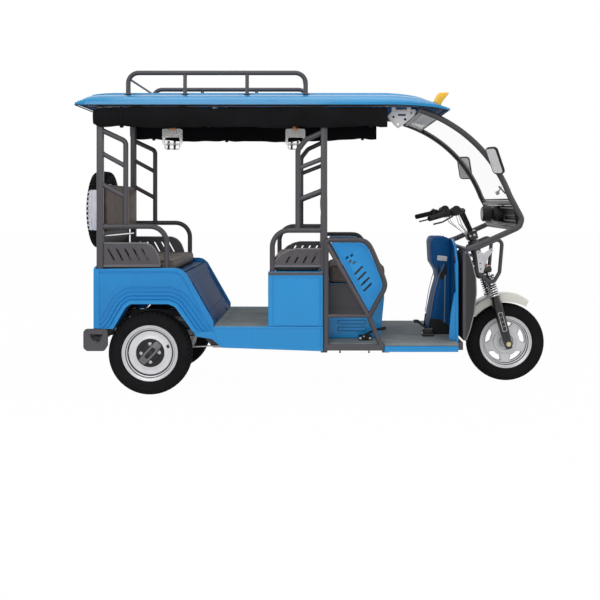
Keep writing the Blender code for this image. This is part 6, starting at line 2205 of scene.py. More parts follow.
@dataclass
class Fender:
    """Cream front mudguard with a rolled edge and its stays."""

    radius: float = 0.315
    depth: float = 0.053
    first: float = 62.0
    last: float = 140.0
    half: float = 0.0712

    def build(self) -> None:
        """Cast the shell and the stays."""
        mould, steps = Mould(), 36
        outer = [(self.half, self.radius - self.depth), (self.half, self.radius - 0.02),
            (self.half - 0.004, self.radius - 0.009), (self.half - 0.014, self.radius - 0.003),
            (self.half - 0.03, self.radius - 0.001), (0.012, self.radius - 0.0002), (0.006, self.radius)]
        outer += [(-y, r) for y, r in reversed(outer)]
        inner = [(y * (self.half - 0.003) / self.half, r - (0.0 if r < self.radius - 0.05 else 0.0028))
            for y, r in reversed(outer)]
        sections = []
        for k in range(steps + 1):
            angle = math.radians(self.first + (self.last - self.first) * k / steps)
            flare = max(0.0, 1 - k / 6)
            ring = []
            for y, r in outer + inner:
                size = r - 0.01 * flare * (r - self.radius + self.depth) / self.depth
                ring.append((PLAN.front_axle_x + size * math.cos(angle), y * (1 - 0.06 * flare),
                    PLAN.tyre_radius + size * math.sin(angle)))
            sections.append(ring)
        mould.loft(sections)
        for y in (-self.half, self.half):
            edge = [Vector(sections[k][0 if y > 0 else len(outer) - 1]) for k in range(steps + 1)]
            mould.tube(edge, 0.0026, 8)
        mould.tone = 1
        for sign in SIGNS:
            y = sign * (self.half + 0.0015)
            angle = math.radians(100)
            spot = Vector((PLAN.front_axle_x + 0.285 * math.cos(angle), y,
                PLAN.tyre_radius + 0.285 * math.sin(angle)))
            mould.rod(spot, PLAN.steer(0.0236, sign * 0.09, 0.288), 0.0045)
            mould.bolt(spot, (0, sign, 0), 0.0042)
        cast("front_mudguard", mould, [CREAM, FORK_BLACK], Body.STEERING, ["front_fender"])


@dataclass
class Cushion:
    """Padded piece swelled by cloth simulation between its sewn seams."""

    name: str
    node: str
    finish: Finish
    low: tuple[float, float, float]
    high: tuple[float, float, float]
    round: float = 0.022
    seams: tuple[float, ...] = ()
    cross_seams: tuple[float, ...] = ()
    face: tuple[int, int] = (2, 1)
    lean: float = 0.0
    pressure: float = 4.0
    cap: float = 0.014
    cell: float = 0.016
    tuck: float = 0.0045
    seam_half: float = 0.012
    skin: float = 0.03
    frames: int = 20
    piping: Finish = PLASTIC

    def build(self) -> None:
        """Cast the cushion, swell it and sew its piping on."""
        mould = Mould()
        spans = [b - a for a, b in zip(self.low, self.high)]
        counts = [max(4, round(s / self.cell)) for s in spans]
        for axis in range(3):
            u, v = [k for k in range(3) if k != axis]
            for end in (0.0, 1.0):
                rows = []
                for i in range(counts[u] + 1):
                    row = []
                    for j in range(counts[v] + 1):
                        share = [0.0, 0.0, 0.0]
                        share[axis], share[u], share[v] = end, i / counts[u], j / counts[v]
                        row.append(self._place(share))
                    rows.append(row)
                mould.loft(rows, around=False)
        mould.corners = [self._seamed(c) for c in mould.corners]
        piece = cast(self.name, mould, [self.finish], replaces=[self.node], angle=60)
        pinned = self._pins(piece)
        self._swell(piece, pinned)
        smooth = piece.modifiers.new("smooth", "SUBSURF")
        smooth.levels = smooth.render_levels = 1
        self._piping()

    def _place(self, share: Sequence[float]) -> Vector:
        """Place a point of the rounded block.

        Args:
            share: Its shares along the three sides.

        Returns:
            The point.
        """
        spot = Vector([a + (b - a) * s for a, b, s in zip(self.low, self.high, share)])
        core = Vector([min(max(p, a + self.round), b - self.round) for p, a,
            b in zip(spot, self.low, self.high)])
        out = spot - core
        return core + out.normalized() * self.round if out.length > self.round else spot

    def _leant(self, spot: Vector) -> Vector:
        """Return a point after the backrest's lean about its lower edge."""
        return Vector((spot.x - self.lean * (spot.z - self.low[2]), spot.y, spot.z))

    def _seamed(self, spot: Vector) -> Vector:
        """Pull a point of the worn face in where a seam runs.

        Args:
            spot: The point.

        Returns:
            The point after the pull and the lean.
        """
        axis, sign = self.face
        surface, along = (self.high if sign > 0 else self.low)[axis], 2 if axis == 0 else 0
        gaps = [abs(spot.y - seam) for seam in self.seams]
        gaps += [abs(spot[along] - seam) for seam in self.cross_seams]
        pull = 1 - min(gaps) / self.seam_half
        moved = spot.copy()
        if abs(surface - spot[axis]) < self.skin and pull > 0:
            moved[axis] -= sign * self.tuck * pull
        return self._leant(moved)

    def _pins(self, piece: bpy.types.Object) -> list[float]:
        """Tell how firmly each point is held.

        Args:
            piece: The cushion's object.

        Returns:
            0 or 1 for each point.
        """
        axis, sign = self.face
        surface, other = ((self.high, self.low) if sign > 0 else (self.low, self.high))
        held, along = [], 2 if axis == 0 else 0
        for vertex in piece.data.vertices:
            spot = vertex.co + Vector((self.lean * (vertex.co.z - self.low[2]), 0, 0))
            near = [abs(spot.y - s) for s in self.seams] + [abs(spot[along] - s) for s in self.cross_seams]
            sewn = abs(surface[axis] - spot[axis]) < self.skin and min(near) < self.cell * 0.55
            held.append(1.0 if sewn or abs(spot[axis] - other[axis]) < 0.01 else 0.0)
        return held

    def _crown(self, piece: bpy.types.Object, held: list[float]) -> None:
        """Raise the middle of the worn face without a simulation.

        Args:
            piece: The cushion's object.
            held: How firmly each point is held.
        """
        axis, sign = self.face
        for vertex, value in zip(piece.data.vertices, held):
            if value < 0.5 and abs((self.high if sign > 0 else self.low)[axis] - vertex.co[axis]) < 0.02:
                vertex.co[axis] += sign * self.cap * 0.4

    def _swell(self, piece: bpy.types.Object, held: list[float]) -> None:
        """Swell the cover with pressure, capped at a small movement.

        Args:
            piece: The cushion's object.
            held: How firmly each point is held.
        """
        group = piece.vertex_groups.new(name="held")
        group.add([number for number, value in enumerate(held) if value > 0], 1.0, "REPLACE")
        cloth = piece.modifiers.new("cloth", "CLOTH")
        for name, value in (("quality", 6), ("mass", 0.4), ("use_pressure", True),
                            ("uniform_pressure_force", self.pressure), ("tension_stiffness", 25.0),
                            ("compression_stiffness", 25.0), ("shear_stiffness", 10.0),
                            ("bending_stiffness", 2.0), ("vertex_group_mass", "held")):
            setattr(cloth.settings, name, value)
        cloth.settings.effector_weights.gravity = 0.0
        cloth.point_cache.frame_start, cloth.point_cache.frame_end = 1, self.frames
        scene = bpy.context.scene
        for frame in range(1, self.frames + 1):
            scene.frame_set(frame)
        shaped = piece.evaluated_get(bpy.context.evaluated_depsgraph_get())
        moved = [v.co.copy() for v in shaped.data.vertices]
        piece.modifiers.remove(cloth)
        piece.vertex_groups.clear()
        for vertex, spot in zip(piece.data.vertices, moved):
            step = spot - vertex.co
            if step.length > self.cap:
                step *= self.cap / step.length
            vertex.co += step
        scene.frame_set(1)

    def _piping(self) -> None:
        """Cast the piping round the worn face."""
        axis, sign = self.face
        surface = (self.high if sign > 0 else self.low)[axis] - sign * self.round * 0.42
        a, b = (0, 1) if axis == 2 else (2, 1)
        tight = self.round * 0.28
        mould = Mould()

        def place(p: Point) -> Vector:
            """Place a point of the worn face, leant as the cushion is.

            Args:
                p: The point in the face.

            Returns:
                The point in space.
            """
            spot = Vector((0.0, 0.0, 0.0))
            spot[a], spot[b], spot[axis] = p[0], p[1], surface
            return self._leant(spot)
        outline = rounded((self.low[a] + tight, self.high[a] - tight),
            (self.low[b] + tight, self.high[b] - tight), self.round * 1.2, 5)
        mould.tube([place(p) for p in outline], 0.003, 8, ring=True)
        cast(f"{self.name}_piping", mould, [self.piping])


@dataclass
class Curtain(Sided):
    """Side curtain rolled up under the roof's edge and tied to the rail."""

    rear_x: float = -1.296
    front_x: float = 0.428
    z_low: float = 1.5755
    z_high: float = 1.704
    inner_y: float = 0.4702
    outer_y: float = 0.504
    turns: float = 3.0
    sheet: float = 0.0012
    cloth: float = 0.7
    length_steps: int = 90
    turn_steps: int = 28
    left_sag: float = 0.018
    right_sag: float = 0.003
    tie_half: float = 0.01
    ties: tuple[float, ...] = (-1.13, -0.62, -0.1, 0.33)

    def build(self) -> None:
        """Cast the rolled cloth, then its ties and its end knob."""
        sag = self.left_sag if self.side is Side.LEFT else self.right_sag
        mould, sections = Mould(), []
        for step in range(self.length_steps + 1):
            share = step / self.length_steps
            x = self.rear_x + share * (self.front_x - self.rear_x)
            sections.append(self._spiral(x, sag * math.sin(math.pi * share)))
        mould.loft(sections)
        name = f"rolled_curtain_{self.side.label}"
        piece = cast(name, mould, [CURTAIN], replaces=[f"curtain_{self.side.label}"], angle=50)
        self._ties(sag)

    def _spiral(self, x: float, drop: float) -> list[Vector]:
        """Make the section of the roll at a place along it.

        Args:
            x: The place.
            drop: How far the roll sags there.

        Returns:
            The outer face's points, then the inner face's.
        """
        middle_y = (self.inner_y + self.outer_y) / 2
        middle_z = (self.z_low + self.z_high) / 2
        count = round(self.turns * self.turn_steps)
        squeeze = 1.0
        for tie in self.ties:
            squeeze = min(squeeze, 0.88 + 0.12 * min(abs(x - tie) / 0.06, 1.0))
        squeeze *= 0.7 + 0.3 * min((x - self.rear_x) / 0.05, 1.0) ** 0.5
        faces: tuple[list[Vector], list[Vector]] = ([], [])
        for k in range(count + 1):
            angle = math.radians(100) - 2 * math.pi * k / self.turn_steps
            inward = 0.0042 * k / self.turn_steps
            fold = 0.0022 * math.sin(x * 19 + 2 * angle) + 0.0012 * math.sin(x * 47 - 4 * angle)
            fold += 0.0026 * math.sin(x * 8.3 + angle + 1.1)
            for thick, face in zip((0.0, self.sheet), faces):
                flat = abs(math.cos(angle)) ** 0.8 * math.copysign(1, math.cos(angle))
                y = (self.outer_y - self.inner_y) / 2 - 0.0016 - inward - thick
                z = ((self.z_high - self.z_low) / 2 - 0.004 - inward - thick) * squeeze
                spot_y = middle_y + y * flat + 0.5 * fold * (1 if y > 0.004 else 0)
                spot_z = middle_z + z * math.sin(angle) + fold
                fall = drop * (0.75 + 0.25 * (1 - math.sin(angle)) / 2)
                face.append(Vector((x, self.sign * spot_y, spot_z - fall)))
        return faces[0] + faces[1][::-1]

    def _ties(self, sag: float) -> None:
        """Cast the straps that hold the roll up, and the rear end's toggle.

        Args:
            sag: The roll's sag in its middle.
        """
        mould = Mould()
        span = self.front_x - self.rear_x
        for x in self.ties:
            share = (x - self.rear_x) / span
            drop = sag * math.sin(math.pi * share)
            loop = []
            for k in range(20):
                angle = 2 * math.pi * k / 20
                y = (self.inner_y + self.outer_y) / 2 + 0.016 * math.cos(angle)
                z = (self.z_low + self.z_high) / 2 + 0.0605 * math.sin(angle)
                z -= drop * (0.75 + 0.25 * (1 - math.sin(angle)) / 2)
                loop.append(Vector((0.0, self.sign * y, z)))
            sections = []
            for spot in loop:
                out = (spot - Vector((0, self.sign * 0.4871, 1.64))).normalized() * 0.0009
                ends = [spot + Vector((at, 0, 0)) for at in about(x, self.tie_half)]
                sections.append([ends[0] - out, ends[1] - out, ends[1] + out, ends[0] + out])
            mould.loft(sections, ring=True)
        y = self.sign * 0.487
        mould.turn([(-0.004, 0.0001), (-0.004, 0.01), (0.0, 0.0125), (0.01, 0.0125), (0.013, 0.009),
            (0.013, 0.0001)], (self.rear_x + 0.004, y, 1.618), (1, 0, 0), 20)
        cast(f"curtain_ties_{self.side.label}", mould, [CURTAIN])


def make_seats() -> list[Cushion]:
    """List the cushions and backrests of the three rows.

    Returns:
        The cushions, from the rear forward.
    """
    deck, box = PLAN.seat_deck, PLAN.centre_box_top
    bench = (-0.215, 0.0, 0.215)
    return [Cushion("rear_bench_pad", "rear_bench_cushion", TAUPE, (-1.214, -0.428, deck + 0.0006),
        (-0.84, 0.428, deck + 0.072), seams=bench, cross_seams=(-1.09, -0.965)),
        Cushion("rear_back_pad", "rear_backrest", BROWN, (-1.282, -0.429, 0.962), (-1.233, 0.429, 1.248),
        round=0.02, seams=bench, cross_seams=(1.05, 1.15), face=(0, 1), lean=0.03, cap=0.01),
        Cushion("centre_bench_pad", "centre_bench_cushion", TAUPE, (-0.244, -0.428, box + 0.0006),
        (0.031, 0.428, box + 0.086), seams=bench, cross_seams=(-0.107,)),
        Cushion("centre_back_pad", "centre_backrest", BROWN, (0.0365, -0.4295, 0.862),
        (0.0771, 0.4295, 1.188), round=0.014, seams=bench, cross_seams=(0.97, 1.08), face=(0, -1),
        cap=0.004), Cushion("driver_seat_pad", "driver_seat_cushion", TAUPE, (0.088, -0.298, 0.6478),
        (0.428, 0.298, 0.758), round=0.028, seams=(-0.15, 0.15), cross_seams=(0.257,)),]


@dataclass
class SeatBoxes:
    """Blue boxes under the centre bench and the driver, and the tub under the rear bench."""

    box_rear: float = -0.272
    box_front: float = 0.037
    base_top: float = 0.647
    base_half: float = 0.3
    back_rear: float = -1.2963
    back_front: float = -1.2846

    def build(self) -> None:
        """Cast the centre box, the driver's base, the tub and the back panel."""
        self._centre()
        self._driver()
        self._tub()
        self._back()

    def _centre(self) -> None:
        """Cast the centre seat box with its side frames, its dark top band and its rear door."""
        rear, top, floor = self.box_rear, PLAN.centre_box_top, PLAN.passenger_floor + 0.0003
        mould = Mould()
        mould.box((rear, self.box_front), (-0.482, 0.482), (floor, top), 0.006)
        for y in SIGNS:
            mould.slab(oblong((rear + 0.001, 0.051), (floor, top - 0.001)), y * 0.4728, y * 0.483, "Y",
                0.003)
            mould.tube([(rear + 0.003, y * 0.48, top - 0.004), (0.05, y * 0.48, top - 0.004)], 0.0045, 10)
            frame = fillet(oblong((-0.243, 0.033), (0.42, 0.702)), 0.006, 3, True)
            mould.bead(frame, y * 0.4828, 0.0026)
            mould.tone = 2
            mould.slab(oblong((rear + 0.002, 0.05), (0.712, top - 0.002)), y * 0.4822, y * 0.4848, "Y",
                0.0008)
            mould.tone = 0
        panel = rounded((-0.34, 0.34), (0.46, 0.68), 0.02, 5)
        # the rear door panel in the darker blue: painted shade
        mould.tone = 1
        mould.slab(panel, rear - 0.0002, rear + 0.001, "X", 0.001)
        mould.tube([(rear - 0.0002, p.x, p.y) for p in panel], 0.003, 8, ring=True)
        for y in (-0.25, 0.25):
            mould.box((rear - 0.004, rear + 0.002), about(y, 0.02), (0.672, 0.694), 0.0015)
        cast("centre_box", mould, [BLUE, BLUE_SHADE, GREY], replaces=["centre_seat_box"])

    def _driver(self) -> None:
        """Cast the driver's seat base with a grey panel and two long louvres on each side."""
        floor, top, half = PLAN.driver_floor + 0.0003, self.base_top, self.base_half
        outline = anticlockwise([(0.08, floor), (0.4, floor), (0.424, 0.56), (0.424, top), (0.08, top)])
        mould = Mould()
        mould.slab(outline, -half + 0.002, half - 0.002, "Y", 0.004)
        for y in SIGNS:
            for z in (0.37, 0.412):
                louvre = rounded((0.142, 0.313), about(z, 0.011), 0.01, 5)
                mould.tone = 0
                mould.slab(louvre, y * (half - 0.003), y * (half + 0.0016), "Y", 0.0035)
                # black bead painted as the shade round each louvre's opening
                mould.tone = 2
                mould.bead(louvre, y * (half - 0.0008), 0.0022)
            mould.tone = 1
            panel = fillet(oblong((0.0805, 0.345), (0.458, 0.6465)), 0.005, 3, True)
            mould.slab(panel, y * (half - 0.003), y * (half + 0.0008), "Y", 0.001)
            rib = inset(anticlockwise(panel), 0.014)
            mould.bead(rib, y * (half + 0.0004), 0.0016, 6)
        cast("driver_base", mould, [BLUE, GREY, PLASTIC], replaces=["driver_seat_base"])

    def _tub(self) -> None:
        """Cast the deck under the rear bench, the sloping riser before it and its pressed frames, all in
        the darker blue of painted shade.
        """
        half, deck_front, top = PLAN.inner_half, PLAN.rear_axle_x + 0.208, PLAN.seat_deck
        mould = Mould()
        mould.box((-1.2445, deck_front - 0.001), (-half, half), (top - 0.012, top), 0.003)
        riser = [(deck_front - 0.012, top), (deck_front, top), (PLAN.riser_x, 0.41), (PLAN.riser_x, 0.361),
            (-0.6043, 0.361), (-0.6043, 0.41)]
        for low, high in ((-half, -0.2905), (-0.2495, 0.2495), (0.2905, half)):
            mould.slab(riser, low, high, "Y", 0.001)
        upper = [riser[0], riser[1], (-0.605, 0.433), (-0.617, 0.433)]
        mould.slab(upper, -half, half, "Y", 0.001)
        run = Vector((PLAN.riser_x - deck_front, 0.41 - top))
        out = Vector((-run.y, run.x)).normalized() * 0.0005
        for share_low, share_high, reach in ((0.1, 0.86, 0.435), (0.2, 0.76, 0.385)):
            a, b = (Vector((deck_front, top)) + run * share for share in (share_low, share_high))
            ring = [(spot.x + out.x, y, spot.y + out.y) for spot,
                y in ((a, -reach), (a, reach), (b, reach), (b, -reach))]
            mould.tube(fillet(ring, 0.02, 4, True), 0.003, 8, ring=True)
        cast("rear_deck", mould, [BLUE_SHADE], replaces=["rear_tub"])

    def _back(self) -> None:
        """Cast the back panel with its pressed field, bolts and dark board, then the tail lamps."""
        x0, x1, half, low, top = self.back_rear, self.back_front, PLAN.inner_half, 0.398, PLAN.back_top
        shoulder, waist = 0.755, 0.398
        loop = anticlockwise(fillet([(-half, low), (half, low), (half, shoulder), (waist, shoulder + 0.012),
            (waist, top), (-waist, top), (-waist, shoulder + 0.012), (-half, shoulder)], 0.006, 3, True))
        field_loop = anticlockwise(rounded((-0.36, 0.36), (0.47, 0.74), 0.03, 5))
        crown = inset(field_loop, 0.008)
        mould = Mould()
        mould.sheet([loop], lambda p: x0 + (0.0035 if inside(p, inset(field_loop, 0.004)) else 0.0),
            lambda p: x1, "X", [[*field_loop, field_loop[0]], [*crown, crown[0]]])
        mould.box((x1 - 0.001, -1.245), (-0.41, 0.41), (0.713, 0.725), 0.002)
        for y in (-0.38, -0.14, 0.14, 0.38):
            for z in (0.435, 0.945):
                mould.bolt((x0, y, z), (-1, 0, 0), 0.0036)
        mould.tone = 1
        mould.box((x1 - 0.0005, x1 + 0.0025), (-waist, waist), (0.728, 0.958), 0.001)
        cast("back_sheet", mould, [BLUE, PLASTIC], replaces=["back_panel"])
        lamps = Mould()
        for sign in SIGNS:
            y = sign * 0.405
            lamps.tone = 0
            lamps.box((x0 - 0.005, x0 - 0.0002), about(y, 0.045), (0.56, 0.69), 0.0022)
            for tone, z0, z1 in ((1, 0.566, 0.622), (2, 0.626, 0.684)):
                lamps.tone = tone
                lamps.box((x0 - 0.0075, x0 - 0.004), about(y, 0.039), (z0, z1), 0.0016)
                for k in range(-3, 4):
                    lamps.tube([(x0 - 0.0076, y + 0.01 * k, z0 + 0.006),
                        (x0 - 0.0076, y + 0.01 * k, z1 - 0.006)], 0.0008, 6)
        cast("tail_lamps", lamps, [PLASTIC, RED, AMBER])


@dataclass
class Floors:
    """Passenger floor with its pressed skirts, and the driver's ribbed mat."""

    def build(self) -> None:
        """Cast both floors."""
        rear, front, top, low = -0.592, 0.037, PLAN.passenger_floor, 0.398
        mould = Mould()
        mould.tone = 1
        mould.box((rear, front), (-PLAN.inner_half, PLAN.inner_half), (low, top), 0.002)
        for k in range(27):
            y = -0.45 + 0.9 * k / 26
            mould.tube([(rear + 0.03, y, top - 0.0006), (-0.29, y, top - 0.0006)], 0.0024, 6)
        mould.tone = 0
        mould.box((front - 0.012, front), (-0.4895, 0.4895), (PLAN.rail_top, top), 0.002)
        skirt = anticlockwise([(rear, top), (0.0515, top - 0.002), (0.0515, PLAN.skirt_low),
            (rear + 0.048, PLAN.skirt_low + 0.021), (rear, top - 0.031)])
        for y in SIGNS:
            mould.slab(skirt, y * PLAN.panel_inner, y * (PLAN.body_half - 0.0035), "Y", 0.002)
            mould.tube([(rear + 0.004, y * 0.485, top - 0.003), (0.05, y * 0.485, top - 0.005)], 0.005, 10)
            strip = [(rear + 0.05, PLAN.skirt_low + 0.022), (0.0505, PLAN.skirt_low + 0.001),
                (0.0505, PLAN.skirt_low + 0.014), (rear + 0.03, PLAN.skirt_low + 0.036)]
            mould.slab(strip, y * 0.485, y * 0.488, "Y", 0.0012)
            gusset = [(-0.708, 0.379), (-0.588, 0.379), (-0.542, 0.299), (-0.556, 0.299), (-0.602, 0.338),
                (-0.696, 0.352)]
            mould.slab(gusset, y * 0.474, y * 0.485, "Y", 0.002)
        cast("passenger_deck", mould, [BLUE, MAT], replaces=["passenger_floor"])
        rear, front, top = 0.0766, 0.8447, PLAN.driver_floor
        mat = Mould()
        mat.box((rear, front), (-0.4695, 0.4695), (PLAN.rail_top, top - 0.001), 0.002)
        for k in range(46):
            x = rear + 0.34 + (front - rear - 0.36) * k / 45
            mat.tube([(x, -0.46, top - 0.0018), (x, 0.46, top - 0.0018)], 0.0018, 6)
        for y in SIGNS:
            mat.tone = 1
            mat.box((0.4105, front), sorted((y * 0.469, y * 0.4885)), (0.2625, top - 0.0165), 0.003)
            mat.tone = 0
            mat.box((0.4105, front), sorted((y * 0.46, y * 0.4895)), (top - 0.016, top), 0.0035)
            mat.tone = 1
            mat.tube([(0.4125, y * 0.4885, 0.2655), (front - 0.002, y * 0.4885, 0.2655)], 0.003, 8)
            for x in (0.45, 0.6, 0.78):
                mat.bolt((x, y * 0.4885, 0.281), (0, y, 0), 0.0034)
        cast("driver_mat", mat, [MAT, BLUE], replaces=["driver_floor"])


@dataclass
class Bumper:
    """Rear bumper with its pierced corner plates."""

    rear_x: float = -1.3545
    front_x: float = -1.213
    low: float = 0.268
    top: float = 0.3977
    half: float = 0.488
    bracket_y: float = 0.27

    def build(self) -> None:
        """Cast the cross bar, the corner plates and the brackets."""
        mould = Mould()
        mould.box((self.rear_x, self.rear_x + 0.04), (-self.half, self.half),
            (self.low + 0.017, self.low + 0.097), 0.006)
        corner = [(self.rear_x, self.low + 0.017), (self.rear_x + 0.02, self.low),
            (self.front_x - 0.019, self.low), (self.front_x, self.low + 0.032), (self.front_x, self.top),
            (self.rear_x + 0.012, self.top), (self.rear_x, self.top - 0.0177)]
        hole = [(self.rear_x + 0.03, self.low + 0.1), (self.rear_x + 0.118, self.low + 0.1),
            (self.rear_x + 0.09, self.low + 0.046), (self.rear_x + 0.055, self.low + 0.06)]
        hole = fillet(anticlockwise(hole), 0.006, 4, True)
        outline = fillet(anticlockwise(corner), 0.018, 5, True)
        for y in SIGNS:
            mould.sheet([outline, hole], lambda p: y * 0.473, lambda p: y * 0.4885)
            mould.bead(hole, y * 0.488, 0.0024)
            mould.bead(inset(outline, 0.0022), y * 0.487, 0.0026)
            for x, z in ((-1.236, 0.38), (-1.236, 0.3), (-1.335, 0.38)):
                mould.bolt((x, y * 0.4885, z), (0, y, 0), 0.0048)
            mould.box((self.rear_x + 0.01, -1.2543), (y * self.bracket_y - 0.015,
                y * self.bracket_y + 0.015), (self.low + 0.052, 0.3747), 0.003)
        cast("bumper", mould, [GREY], replaces=["rear_bumper"])


@dataclass
class RearAxle:
    """Rear axle with ribbed drums, motor and leaf springs."""

    spring_y: float = 0.27
    spring_reach: float = 0.27
    pin: float = 0.0127

    def build(self) -> None:
        """Cast the axle and everything bolted to it."""
        x0, z0 = PLAN.rear_axle_x, PLAN.tyre_radius
        mould = Mould()
        mould.tube([(x0, -0.355, z0), (x0, -0.3, z0), (x0, 0.3, z0), (x0, 0.355, z0)],
            [0.034, 0.028, 0.028, 0.034], 28)
        mould.turn([(-0.115, 0.0001), (-0.115, 0.055), (-0.1, 0.078), (-0.02, 0.0825), (0.0, 0.0825),
            (0.005, 0.095), (0.025, 0.1), (0.06, 0.085), (0.115, 0.06), (0.135, 0.045), (0.135, 0.0001)],
            (x0, 0, z0), (0, 1, 0), 40)
        for k in range(8):
            y = -0.1 + 0.012 * k
            mould.turn([(y, 0.07), (y, 0.0865), (y + 0.003, 0.0865), (y + 0.003, 0.07)], (x0, 0, z0),
                (0, 1, 0), 40)
        mould.box((x0 + 0.02, x0 + 0.118), (-0.11, 0.01), (z0 - 0.055, z0 + 0.062), 0.01)
        mould.box((x0 - 0.108, x0 - 0.02), (-0.05, 0.06), about(z0, 0.05), 0.012)
        for y in SIGNS:
            drum = [(0.3462, 0.0001), (0.3462, 0.07), (0.349, 0.085), (0.352, 0.0876), (0.372, 0.0876),
                (0.372, 0.0001)]
            mould.turn(drum, (x0, 0, z0), (0, y, 0), 48)
            mould.rod((x0, y * 0.365, z0), (x0, y * 0.445, z0), self.pin, 24)
            self._spring(mould, x0, y * self.spring_y, z0)
        cast("axle_assembly", mould, [FORK_BLACK, STEEL], replaces=["rear_axle"])

    def _spring(self, mould: Mould, x0: float, y: float, z0: float) -> None:
        """Add one leaf spring with its clips and hangers.

        Args:
            mould: The mould that takes it.
            x0: X of the axle.
            y: Middle of the spring.
            z0: Height of the axle.
        """
        for reach, drop in ((self.spring_reach, 0.0), (0.215, 0.0062), (0.15, 0.0124)):
            path = []
            for k in range(-8, 9):
                share = reach / self.spring_reach * k / 8
                path.append((x0 + self.spring_reach * share, z0 + 0.0427 - drop + 0.054 * share * share))
            upper = [(x, z + 0.003) for x, z in path]
            lower = [(x, z - 0.003) for x, z in reversed(path)]
            mould.slab(lower[::-1] + upper[::-1], y - 0.0235, y + 0.0235, "Y", 0.001)
        mould.tone = 1
        for shift in (-0.03, 0.03):
            for edge in (-0.028, 0.028):
                mould.rod((x0 + shift, y + edge, z0 - 0.005), (x0 + shift, y + edge, z0 + 0.058), 0.0045,
                    10)
        mould.tone = 0
        mould.box(about(x0, 0.045), about(y, 0.033), (z0 + 0.044, z0 + 0.052), 0.002)
        for end in (-1, 1):
            x = x0 + end * 0.262
            top = min(0.3747, 0.2557 + (-0.62 - x) * 1.193) - (0.0128 if end > 0 else 0.0)
            mould.box(about(x, 0.009), about(y, 0.0175), (z0 + 0.086, top), 0.002)
            mould.rod((x, y - 0.026, z0 + 0.094), (x, y + 0.026, z0 + 0.094), 0.0105, 20)


